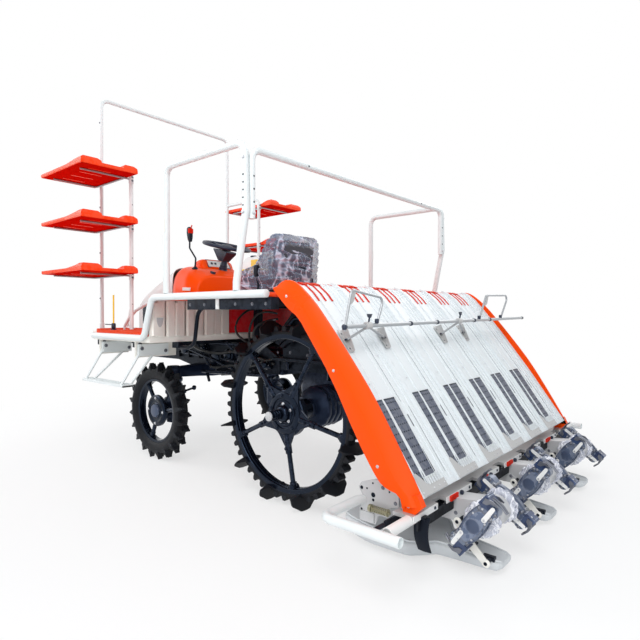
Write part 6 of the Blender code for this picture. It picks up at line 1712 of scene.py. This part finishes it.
def make_nose_fittings():
    """Curved handle tubes beside the hood, and the marker stick with its clamp."""
    white, yellow, dark = [], [], []
    for side in (-1, 1):
        y = side * 0.47
        white.append(bar([(-1.83, y, 0.8700), (-1.905, y, 0.875), (-1.905, y, 0.925),
                          (-1.80, side * 0.46, 1.005), (-1.70, side * 0.42, 1.06),
                          (-1.66, side * 0.335, 1.08), (-1.62, side * 0.303, 1.08)], 0.0115, 0.035, 14))
        white.append(turned((-1.83, y, MAT_SEAT_Z), (0, 0, 1),
                            [(0.020, 0), (0.020, 0.004), (0.0125, 0.008)], 18))
    stick = (-1.585, -0.75)
    yellow.append(bar([(*stick, 0.900), (*stick, 1.113)], 0.0055, 0, 12))
    yellow.append(turned((*stick, 0.8990), (0, 0, 1), [(0.0075, 0), (0.0075, 0.016), (0.0060, 0.020)], 12))
    dark.append(block(stick[0] - 0.018, stick[0] + 0.018, stick[1] - 0.014, stick[1] + 0.014, MAT_SEAT_Z,
                      0.8745))
    dark.append(turned((*stick, 0.874), (0, 0, 1), [(0.013, 0), (0.015, 0.004), (0.015, 0.036),
            (0.010, 0.042)], 16))
    dark.append(bar([(stick[0] - 0.155, stick[1] + 0.02, 0.905), (stick[0] - 0.012, stick[1], 0.905)],
                    0.004, 0, 10))
    dark += bolt((stick[0] + 0.012, stick[1] - 0.012, 0.893), (0.7, -0.7, 0), 0.006)
    piece("nose_fittings", {"white_tube": white, "yellow": yellow, "grip": dark}, "chassis",
          bevel=0.0008)


COLUMN_RAKE = math.radians(15)
STEERING_RADIUS = 0.1735
CORNERS = ((-1, -1), (1, -1), (1, 1), (-1, 1))


def make_steering():
    """Column with a ribbed boot, and the wheel: round rim, three tapered spokes and a deep hub."""
    axis = np.array([math.sin(COLUMN_RAKE), 0.0, math.cos(COLUMN_RAKE)])
    forward = np.array([axis[2], 0.0, -axis[0]])
    centre = np.array([-1.270, 0.0, 1.500])
    foot = centre - axis * 0.192
    column = [turned(foot, axis, [(0.034, -0.004), (0.036, 0.004), (0.030, 0.016), (0.033, 0.026),
                                  (0.027, 0.034), (0.029, 0.042), (0.0235, 0.052), (0.0225, 0.150),
                                  (0.026, 0.152), (0.026, 0.1585)], 28)]
    rings = []
    for low, half, reach in ((-0.118, 0.028, 0.030), (-0.108, 0.034, 0.036), (-0.040, 0.052, 0.084),
                             (-0.034, 0.050, 0.080)):
        rings.append([foot + axis * (0.192 + low) + forward * (reach * a - 0.012) +
                      np.array([0.0, half * b, 0.0]) for a, b in CORNERS])
    column.append(lofted(rings))
    piece("column_tube", {"grip": column}, "chassis", ("steering_column",), bevel=0.0015)
    a = np.linspace(0, 2 * np.pi, 72, endpoint=False)
    path = centre + STEERING_RADIUS * (np.cos(a)[:, None] * forward + np.sin(a)[:, None] *
                                       np.array([0.0, 1.0, 0.0]))
    outline = circle(0.0136, 16)
    rim = [carried(path, outline, axis, wrap=True, cap=False)]
    hub = [turned(centre, axis, [(0.022, -0.0310), (0.034, -0.030), (0.044, -0.018), (0.050, -0.004),
                                 (0.046, 0.006), (0.030, 0.0120), (0.010, 0.0128)], 32)]
    for k in range(3):
        angle = 2 * math.pi * k / 3 + math.pi
        out = forward * math.cos(angle) + np.array([0.0, 1.0, 0.0]) * math.sin(angle)
        side = np.cross(axis, out)
        rings = []
        for reach, half, low, high in ((0.020, 0.034, -0.027, 0.000), (0.060, 0.027, -0.022, 0.000),
                                       (0.110, 0.017, -0.012, 0.001), (0.150, 0.0135, -0.006, 0.003),
                                       (0.172, 0.014, -0.007, 0.005)):
            middle = centre + out * reach
            ring = [middle - side * half + axis * low, middle + side * half + axis * low, middle + side *
                    half * 0.9 + axis * high, middle - side * half * 0.9 + axis * high]
            rings.append(ring)
        hub.append(lofted(rings))
    cap = [turned(centre, axis, [(0.024, 0.0115), (0.024, 0.0140), (0.018, 0.0152)], 28)]
    piece("wheel_ring", {"grip": rim + hub, "black": cap}, "steering_wheel",
          ("steering_wheel",), bevel=0.002, segments=3)


def make_levers():
    """Shift lever with a cranked rod and a black and orange grip, and the lever beside the seat."""
    rod = [bar([(-1.330, -0.25, 1.3235), (-1.322, -0.25, 1.392), (-1.398, -0.25, 1.474),
                (-1.396, -0.25, 1.545)], 0.0062, 0.018, 12)]
    x, y = -1.390, -0.25
    sections = ((0.0, 0.010, 0.010), (0.25, 0.016, 0.014), (0.6, 0.019, 0.016), (0.9, 0.017, 0.014),
                (1.0, 0.010, 0.009))
    grip = [lofted([[(x + a * w - 0.010 * t, y + b * d, 1.520 + 0.112 * t) for a, b in CORNERS]
                    for t, w, d in sections])]
    orange = [block(x - 0.006, x + 0.016, y - 0.0172, y + 0.0172, 1.582, 1.618),
              block(x - 0.022, x - 0.014, y - 0.010, y + 0.010, 1.535, 1.575),
              bar([(x + 0.004, y, 1.615), (x + 0.022, y, 1.643)], 0.0045, 0, 10)]
    piece("lever_set", {"black": rod + grip, "red_orange": orange}, "chassis",
          ("shift_lever",), bevel=0.003, segments=3)
    side_rod = [bar([(-0.66, -0.235, DECK_SEAT_Z), (-0.66, -0.235, 1.18), (-0.665, -0.245, 1.235)], 0.008,
                    0.02, 12), lofted([[(-0.665 + w * a, -0.245 + w * b, z) for a, b in CORNERS] for z,
                                       w in ((1.225, 0.010), (1.245, 0.015), (1.290, 0.016),
            (1.304, 0.010))]), turned((-0.66, -0.235, DECK_SEAT_Z), (0, 0, 1),
                                      [(0.028, 0), (0.024, 0.010), (0.012, 0.030)], 20)]
    piece("side_lever", {"black": side_rod}, "chassis", bevel=0.003, segments=3)


TANK_BOX = ((-1.60, -1.36), (0.41, 0.56))


def make_tank():
    """White tank with a domed top, dark cap, yellow strap and case, and a teal post behind it."""
    rows = []
    (x0, x1), (y0, y1) = TANK_BOX
    t = np.linspace(0, 2 * np.pi, 32, endpoint=False)
    for z, inset in ((0.8686, 0.010), (0.876, 0.0), (1.385, 0.0), (1.430, 0.008), (1.462, 0.028),
                     (1.478, 0.055)):
        hx, hy = (x1 - x0) / 2 - inset, (y1 - y0) / 2 - inset
        px = (x0 + x1) / 2 + hx * np.sign(np.cos(t)) * np.abs(np.cos(t)) ** 0.4
        py = (y0 + y1) / 2 + hy * np.sign(np.sin(t)) * np.abs(np.sin(t)) ** 0.4
        rows.append(np.stack([px, py, np.full_like(px, z)], 1))
    tank = [lofted(rows)]
    strap = [block(x0 - 0.0015, x1 + 0.0015, y0 - 0.0015, y1 + 0.0015, 1.352, 1.368),
             block(x1 - 0.075, x1 - 0.004, y0 - 0.018, y0 + 0.01, 1.325, 1.440)]
    cap = [turned((-1.50, 0.485, 1.4700), (0, 0, 1), [(0.030, -0.004), (0.030, 0.014), (0.026, 0.018)], 24)]
    post = [bar([(-1.315, 0.50, MAT_SEAT_Z), (-1.315, 0.50, 1.46)], 0.014, 0, 16),
            block(-1.36, -1.315, 0.48, 0.52, 1.00, 1.03)]
    piece("spray_tank", {"white": tank, "yellow": strap, "grip": cap, "teal": post}, "chassis",
          ("side_tank",), bevel=0.003, segments=2)


RISER_PITCH = 0.068
RISER_DEPTH = 0.0157


def make_riser():
    """Riser wall: rounded-trapezoid corrugation over Y, 68 mm pitch and 16 mm deep, flat in the middle."""
    y = np.linspace(-DECK_HALF, DECK_HALF, 757)
    phase = (np.abs(y) - 0.366) / RISER_PITCH
    wave = np.clip(2.3 + 2.9 * np.cos(2 * np.pi * (phase - 0.5)), 0, 1)
    wave = np.where((np.abs(y) > 0.362) & (np.abs(y) < 0.912), wave, np.where(np.abs(y) > 0.9, 0.35, 0.0))
    front = RISER_X + RISER_DEPTH * wave
    z0, z1 = POST_FOOT_Z, 1.0595
    sections = []
    for place, reach in zip(y, front):
        sections.append([(RISER_X - 0.0097, place, z0), (RISER_X - 0.0097, place, z1), (reach, place, z1),
                         (reach, place, z0)])
    piece("riser_wall", {"cream": [lofted(sections)]}, "chassis", ("riser_panel",),
          angle=30.0)


MAT_RIB_PITCH = 0.046


def make_decks():
    """Mat ribs, the riser's handle recesses as grey patches of painted shade, its red middle panel, hoses,
    and the rear deck's tread.
    """
    ribs, screws = [], []
    for side in (-1, 1):
        for k in range(26):
            x = -0.835 - k * MAT_RIB_PITCH
            limit = float(np.interp(x, [-2.02, -1.47],
                                    [RACK_Y + 0.035, DECK_HALF -
                                     0.032])) if x < -1.47 else DECK_HALF - 0.032
            start = 0.385 if x > -1.95 else 0.395
            if abs(x - RACK_FRONT_X) < 0.045 or abs(x - RACK_REAR_X) < 0.045 or abs(x - RACK_REAR_X +
                    0.11) < 0.045:
                limit = min(limit, RACK_Y - 0.045)
            if side > 0 and -1.64 < x < -1.28:
                ribs.append(block(x, x + 0.020, 0.585, limit, 0.8676, 0.8706))
                continue
            if side < 0 and abs(x + 1.585) < 0.03:
                limit = min(limit, 0.58)
            ribs.append(block(x, x + 0.020, side * start, side * limit, 0.8676, 0.8706))
    piece("mat_ribs", {"mat": ribs}, "chassis", bevel=0.0012)
    handle, recess, red, hose = [], [], [], []
    for side in (-1, 1):
        face = -0.784
        t = np.linspace(0, np.pi, 14)
        shape = [(side * (0.887 + 0.022 * math.cos(a)), 0.960 - 0.055 * math.sin(a)) for a in t]
        # Painted shade: the handle recess is a flat grey patch standing in for the shade of the hollow
        recess.append(plate(shape, face - 0.0005, face + 0.0010, "x"))
        handle.append(bar([(face + 0.002, side * 0.862, 0.9625), (face + 0.006, side * 0.887, 0.9645),
                           (face + 0.002, side * 0.912, 0.9625)], 0.0032, 0.01, 8))
    red.append(block(-0.7995, -0.7945, -0.368, 0.368, 0.858, 1.052))
    red.append(block(-0.7950, -0.7925, -0.330, 0.330, 0.880, 1.030))
    for path in ([(-0.72, -0.24, 0.745), (-0.70, -0.29, 0.86), (-0.66, -0.27, 0.975), (-0.60, -0.22, 1.000),
                  (-0.52, -0.20, 0.985)], [(-0.62, -0.22, 0.745), (-0.64, -0.30, 0.80),
                                           (-0.60, -0.33, 0.90), (-0.55, -0.26, 0.94),
                                           (-0.50, -0.21, 0.95)],
                 [(-0.68, -0.20, 0.745), (-0.74, -0.36, 0.84), (-0.72, -0.38, 0.93), (-0.70, -0.30, 1.010),
                  (-0.70, -0.20, 1.015)]):
        smooth = spaced(softened(path, 3), 26)
        hose.append(carried(smooth, circle(0.0075, 10), (0.2, 0.1, 1.0)))
    piece("riser_fittings", {"cream": handle, "light_grey": recess, "red": red, "hose": hose}, "chassis",
          bevel=0.0012)
    edge, clip = [], []
    for side in (-1, 1):
        for k in range(18):
            x = -0.42 + k * 0.033
            ribs_y = side * 0.30
            edge.append(block(x, x + 0.010, ribs_y, side * 0.90, 1.0815, 1.0835))
        for x in (-0.44, 0.10):
            edge += [block(x, x + 0.03, side * 0.915, side * 0.930, 1.0815, 1.084)]
        clip.append(block(-0.205, -0.180, side * 0.9362, side * 0.9405, 1.006, 1.0597))
        clip.append(turned((-0.1925, side * 0.940, 1.020), (0, side, 0),
                           [(0.010, 0), (0.010, 0.003), (0.006, 0.004)], 14))
        for x in (-0.42, -0.30, -0.06, 0.06, 0.15):
            screws += bolt((x, side * 0.9358, 1.030), (0, side, 0), 0.006)
        for x, base in ((-1.4235, -1.418), (-0.9835, -0.978)):
            for y, z in ((0.90, 0.800), (0.78, 0.745)):
                screws += bolt((base, side * y, z), (1, 0, 0), 0.0085)
    piece("rear_deck_ribs", {"mat": edge, "white": clip, "dark_steel": screws}, "chassis",
          bevel=0.0008)


def make_machinery():
    """Dark works under the decks: side plates, gear covers, pipes, rods and hoses round the two rails."""
    plates, rounds, rods, bright, hose = [], [], [], [], []
    for side in (-1, 1):
        y0 = side * 0.2303
        y1 = side * 0.238
        plates.append(plate([(-1.60, 0.800), (-1.02, 0.800), (-0.86, 0.790), (-0.60, 0.780), (-0.46, 0.700),
                             (-0.46, 0.600), (-0.74, 0.585), (-0.90, 0.560), (-1.04, 0.545), (-1.12, 0.600),
                             (-1.40, 0.600), (-1.60, 0.640)], y0, y1, "y"))
        for x, z, r, w in ((-1.08, 0.655, 0.060, 0.035), (-0.93, 0.700, 0.042, 0.050),
                           (-0.80, 0.665, 0.052, 0.028), (-0.66, 0.680, 0.036, 0.045),
                           (-1.46, 0.715, 0.040, 0.030), (-1.20, 0.735, 0.030, 0.050),
                           (-0.555, 0.655, 0.030, 0.060)):
            rounds.append(turned((x, side * 0.237, z), (0, side, 0),
                                 [(r, 0), (r, w * 0.5), (r * 0.86, w * 0.6), (r * 0.84, w * 0.86),
                                  (r * 0.5, w)], 26))
            for k in range(6):
                a = k * math.pi / 3
                bright += bolt((x + r * 0.90 * math.cos(a), side * (0.237 + w * 0.56), z + r * 0.90 *
                                math.sin(a)), (0, side, 0), 0.0048, False)
        for x0, z0, x1, z1, y, r in ((-1.58, 0.780, -0.62, 0.770, 0.262, 0.013),
                                     (-1.50, 0.690, -0.52, 0.640, 0.250, 0.010),
                                     (-1.18, 0.572, -0.52, 0.592, 0.300, 0.012),
                                     (-1.42, 0.735, -0.86, 0.610, 0.285, 0.008),
                                     (-0.95, 0.790, -0.70, 0.600, 0.270, 0.009),
                                     (-1.30, 0.795, -1.12, 0.600, 0.270, 0.009)):
            rods.append(bar([(x0, side * y, z0), (x1, side * y, z1)], r, 0, 12))
        for k in range(9):
            x = -1.53 + k * 0.125
            plates.append(block(x, x + 0.012, side * 0.237, side * 0.262, 0.655, 0.700))
            bright += bolt((x + 0.055, side * 0.238, 0.770 if k < 8 else 0.74), (0, side, 0), 0.006)
        for x, z in ((-1.10, 0.580), (-0.98, 0.575), (-0.82, 0.600), (-0.70, 0.610)):
            bright += bolt((x, side * 0.238, z), (0, side, 0), 0.0065)
        path = spaced(softened([(-1.35, side * 0.25, 0.79), (-1.25, side * 0.33, 0.74),
                                (-1.0, side * 0.31, 0.70), (-0.80, side * 0.33, 0.74),
                                (-0.62, side * 0.27, 0.70), (-0.50, side * 0.24, 0.66)], 3), 34)
        hose.append(carried(path, circle(0.009, 10), (0.1, 0.2, 1.0)))
        path = spaced(softened([(-1.20, side * 0.24, 0.62), (-1.05, side * 0.30, 0.60),
                                (-0.85, side * 0.29, 0.64), (-0.66, side * 0.33, 0.63),
                                (-0.52, side * 0.26, 0.70), (-0.40, side * 0.24, 0.69)], 3), 34)
        hose.append(carried(path, circle(0.007, 10), (0.1, 0.2, 1.0)))
        arc = np.linspace(math.radians(35), math.radians(150), 24)
        for radius, width, y in ((0.205, 0.020, 0.33), (0.150, 0.014, 0.335)):
            outer = [(-0.20 + radius * math.cos(a), 0.735 + radius * math.sin(a) * 0.72) for a in arc]
            inner = [(-0.20 + (radius - width * 2) * math.cos(a), 0.735 + (radius - width * 2) *
                      math.sin(a) * 0.72) for a in arc[::-1]]
            plates.append(plate(outer + inner, side * y, side * (y + 0.03), "y"))
        plates.append(block(-0.42, 0.10, side * 0.2303, side * 0.345, 0.700, 0.716))
        plates.append(plate([(-0.36, 0.70), (0.02, 0.70), (0.06, 0.80), (0.02, 0.93), (-0.10, 1.018),
                             (-0.26, 1.018), (-0.37, 0.90)], side * 0.300, side * 0.306, "y"))
        rods.append(bar([(-0.05, side * 0.24, 0.60), (0.02, side * 0.31, 0.80), (0.03, side * 0.31, 1.015)],
                        0.014, 0.04, 14))
        rods.append(bar([(-0.38, side * 0.24, 0.64), (-0.34, side * 0.33, 0.86), (-0.24, side * 0.33, 0.96),
                         (-0.02, side * 0.33, 0.94), (0.08, side * 0.26, 0.80)], 0.012, 0.05, 14))
        for x, z in ((-0.30, 0.75), (-0.22, 0.86), (-0.08, 0.93), (-0.02, 0.78), (-0.16, 0.74)):
            bright += bolt((x, side * 0.306, z), (0, side, 0), 0.007)
        rods.append(bar([(-1.120, side * 0.30, 0.565), (-1.045, side * 0.34, 0.520)], 0.010, 0, 12))
    bright.append(block(-0.452, -0.430, -0.306, -0.300, 0.925, 0.950))
    piece("under_works", {"black": plates, "black_gloss": rounds + rods, "dark_steel": bright,
                          "hose": hose}, "chassis", bevel=0.0014)


def make_tie_rods():
    """Steering rods from the knuckles: slim bars with ball ends, each riding on its knuckle."""
    for word, side in SIDES:
        rods = [bar([(FRONT_AXLE[0] + 0.05, side * 0.430, 0.440), (FRONT_AXLE[0] + 0.13, side * 0.405,
                0.470)], 0.0075, 0, 12), turned((FRONT_AXLE[0] + 0.050, side * 0.430, 0.440), (0.3, 0, 1),
                [(0.010, -0.014), (0.0155, -0.008), (0.0155, 0.008), (0.010, 0.014)], 16),
                turned((FRONT_AXLE[0] + 0.130, side * 0.405, 0.470), (0.3, 0, 1),
                       [(0.010, -0.014), (0.0145, -0.008), (0.0145, 0.008), (0.010, 0.014)], 16)]
        piece("steer_arm_" + word, {"black_gloss": rods}, "knuckle_" + word, bevel=0.001)


# Seat

PAD_VOXEL = 0.006
PAD_PRESSURE = 4.0
PAD_STEPS = 20


def places_of(obj):
    """The mesh's points as an array of rows."""
    points = np.empty(len(obj.data.vertices) * 3)
    obj.data.vertices.foreach_get("co", points)
    return points.reshape(-1, 3)


def make_pad(name, node, body, axes, thickness, cap, sew):
    """Pad: closed rounded form, voxel remesh, cloth pressure with a capped swell, then sewn channels."""
    origin, along, across, out = (np.array(v, float) for v in axes)
    t = np.linspace(0, 2 * np.pi, 56, endpoint=False)[None]
    s = np.linspace(-1, 1, 26)[:, None]
    scale = np.maximum(1 - np.abs(s) ** 7, 0.02) ** 0.4
    a = 0.5 * np.sign(np.cos(t)) * np.abs(np.cos(t)) ** 0.30 * (0.90 + 0.10 * scale)
    b = 0.5 * np.sign(np.sin(t)) * np.abs(np.sin(t)) ** 0.30 * (0.90 + 0.10 * scale)
    w = s * 0.5 * np.ones_like(t)
    points = (origin + a[..., None] * along + b[..., None] * across + w[..., None] * out * thickness)
    shell_points, faces = grid(points, wrap_v=True, cap=True)
    mesh = moved_mesh(name, shell_points, faces)
    turn_outward(mesh)
    mesh.materials.append(M["vinyl"])
    obj = placed(name, mesh)
    bpy.context.view_layer.objects.active = obj
    remesh = obj.modifiers.new("even_skin", "REMESH")
    remesh.mode = "VOXEL"
    remesh.voxel_size = PAD_VOXEL
    apply_modifiers(obj)
    before = places_of(obj)
    cloth = obj.modifiers.new("cloth", "CLOTH")
    cloth.settings.use_pressure = True
    cloth.settings.uniform_pressure_force = PAD_PRESSURE
    cloth.settings.effector_weights.gravity = 0.0
    cloth.settings.quality = 4
    cloth.collision_settings.use_collision = False
    scene = bpy.context.scene
    for step in range(1, PAD_STEPS + 1):
        scene.frame_set(step)
    apply_modifiers(obj)
    scene.frame_set(1)
    moved = places_of(obj) - before
    length = np.linalg.norm(moved, axis=1)[:, None]
    after = before + moved * np.minimum(1.0, cap / np.maximum(length, 1e-6))
    obj.data.vertices.foreach_set("co", after.ravel())
    sew(obj)
    obj.data.shade_smooth()
    smooth = obj.modifiers.new("smooth", "SUBSURF")
    smooth.levels = smooth.render_levels = 1
    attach(obj, body)
    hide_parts(node)
    return obj


def apply_modifiers(obj):
    """Bakes the modifiers by reading the evaluated mesh back into the object."""
    depsgraph = bpy.context.evaluated_depsgraph_get()
    baked = bpy.data.meshes.new_from_object(obj.evaluated_get(depsgraph))
    old = obj.data
    obj.modifiers.clear()
    obj.data = baked
    bpy.data.meshes.remove(old)


def sewn(obj, lines, coordinate, depth, out, keep):
    """Presses channels into a pad: each point near a line sinks by a bell of its distance to the line."""
    points = places_of(obj)
    sink = np.zeros(len(points))
    for line in lines:
        sink += np.exp(-((points[:, coordinate] - line) / 0.006) ** 2)
    facing = (points @ np.asarray(out, float)) > keep
    points -= np.outer(depth * np.clip(sink, 0, 1) * facing, out)
    obj.data.vertices.foreach_set("co", points.ravel())


def make_seat():
    """Pedestal with its rails and hinge, cushion and back by cloth pressure, and the clear wrap."""
    base = [block(-0.88, -0.52, -0.17, 0.17, DECK_SEAT_Z, 1.108), block(-0.90, -0.50, -0.19, 0.19, 1.108,
            1.1345)]
    rails = [block(-0.86, -0.54, side * 0.150, side * 0.172, DECK_SEAT_Z, 1.116) for side in (-1, 1)]
    hinge = [block(-0.5205, -0.506, -0.06, 0.06, 1.11, 1.30)]
    for side in (-1, 1):
        hinge.append(bar([(-0.515, side * 0.13, 1.125), (-0.512, side * 0.13, 1.23)], 0.010, 0, 12))
        rails += bolt((-0.80, side * 0.19, 1.122), (0, side, 0), 0.007) + bolt((-0.60, side * 0.19, 1.122),
                (0, side, 0), 0.007)
    piece("seat_stand", {"black": base + hinge, "dark_steel": rails}, "chassis",
          ("seat_base",), bevel=0.003)

    def cushion_seams(obj):
        sewn(obj, (-0.135, 0.135), 1, 0.008, (0, 0, 1), 1.20)
        sewn(obj, (SHIFT_X - 0.86, SHIFT_X - 0.79, SHIFT_X - 0.72), 0, 0.006, (0, 0, 1), 1.20)

    def back_seams(obj):
        sewn(obj, (-0.125, 0.125), 1, 0.007, (-1, 0, 0), 0.585 - SHIFT_X)
        sewn(obj, (1.28, 1.35, 1.42), 2, 0.006, (-1, 0, 0), 0.585 - SHIFT_X)

    make_pad("seat_cushion_pad", "seat_cushion", "chassis", ((-0.775, 0, 1.186), (0.262, 0, -0.006),
            (0, 0.395, 0), (0, 0, 1)), 0.086, 0.024, cushion_seams)
    make_pad("seat_back_pad", "seat_back", "chassis", ((-0.566, 0, 1.352), (0.022, 0, 0.262), (0, 0.365, 0),
            (-1, 0, 0.06)), 0.072, 0.022, back_seams)
    make_seat_wrap()


WRAP_FOOT = 1.140
WRAP_RISE = 0.366
WRAP_TOP = 1.512


def make_seat_wrap():
    """Clear wrap over the seat: a tent, x = c + h sgn(cos u) |cos u|^0.5, creased by crossing waves."""
    v = np.linspace(0, 1, 70)[:, None]
    u = np.linspace(0, 2 * np.pi, 110, endpoint=False)[None]
    height = WRAP_FOOT + WRAP_RISE * v
    front = np.interp(v, [0.0, 0.20, 0.34, 0.46, 0.70, 1.0], [-0.955, -0.965, -0.905, -0.735, -0.655,
            -0.575])
    rear = np.interp(v, [0.0, 0.2, 1.0], [-0.505, -0.498, -0.512])
    half = np.interp(v, [0.0, 0.18, 0.5, 0.86, 0.97, 1.0], [0.225, 0.248, 0.235, 0.228, 0.205, 0.175])
    wave = (np.sin(9 * u + 5 * np.sin(6 * v * 3.1 + u)) * 0.45 +
            np.abs(np.sin(5 * u + 21 * v + 2 * np.sin(3 * u))) * 0.9 +
            np.sin(23 * v - 13 * u + 4 * np.sin(4 * u)) * 0.3 - 0.5)
    cx, hx = (front + rear) / 2, (rear - front) / 2
    x = cx + hx * np.sign(np.cos(u)) * np.abs(np.cos(u)) ** 0.5 + 0.007 * wave * np.cos(u)
    y = half * np.sign(np.sin(u)) * np.abs(np.sin(u)) ** 0.5 + 0.009 * wave * np.sin(u)
    z = height + 0.006 * wave + 0 * u
    skin = grid(np.stack([x, y, z], -1), wrap_v=True)
    top = np.stack([x[-1] * 0 + cx[-1], y[-1] * 0, z[-1] * 0 + WRAP_TOP], -1)[None]
    edge = np.stack([x[-1], y[-1], z[-1]], -1)[None]
    lid = np.concatenate([edge, 0.5 * edge + 0.5 * top, top])
    lid[2] = lid[2] + (lid[1] - lid[2]) * 0.02
    wrap = piece("seat_wrap", {"seat_film": [skin, grid(lid, wrap_v=True, cap=False)]}, "chassis",
                 angle=80.0)


make_cowl()
make_hood()
make_nose_fittings()
make_steering()
make_levers()
make_tank()
make_riser()
make_decks()
make_machinery()
make_tie_rods()
make_seat()


# Solids whose own shape is kept, with rounded edges

KEPT = (
    ("main_frame", "black", "black_paint", 0.003),
    ("front_outriggers", "black", "black_paint", 0.003),
    ("rear_outriggers", "black", "black_paint", 0.003),
    ("transmission_case", "navy", "cast_grey", 0.006),
    ("engine_block", "casting", "cast_grey", 0.01),
    ("front_axle", "navy", "black_paint", 0.003),
    ("rear_axle", "navy", "black_paint", 0.004),
    ("front_deck", "cream", "cream_plastic", 0.003),
    ("deck_mat", "mat", "orange_panel", 0.003),
    ("riser_panel", "cream", "cream_plastic", 0.003),
    ("rear_deck", "mat", "orange_panel", 0.004),
    ("lower_links", "black_gloss", "black_paint", 0.003),
    ("upper_link", "black_gloss", "black_paint", 0.003),
    ("lift_cylinder", "black_gloss", "black_paint", 0.002),
    ("lift_rod", "steel", "bare_steel", 0.001),
    ("planter_frame", "light_grey", "cast_grey", 0.004),
    ("knuckle_left", "navy", "black_paint", 0.004),
    ("knuckle_right", "navy", "black_paint", 0.004),
)
for kept_node, kept_finish, kept_slot, kept_bevel in KEPT:
    dress(kept_node, kept_finish, kept_bevel)
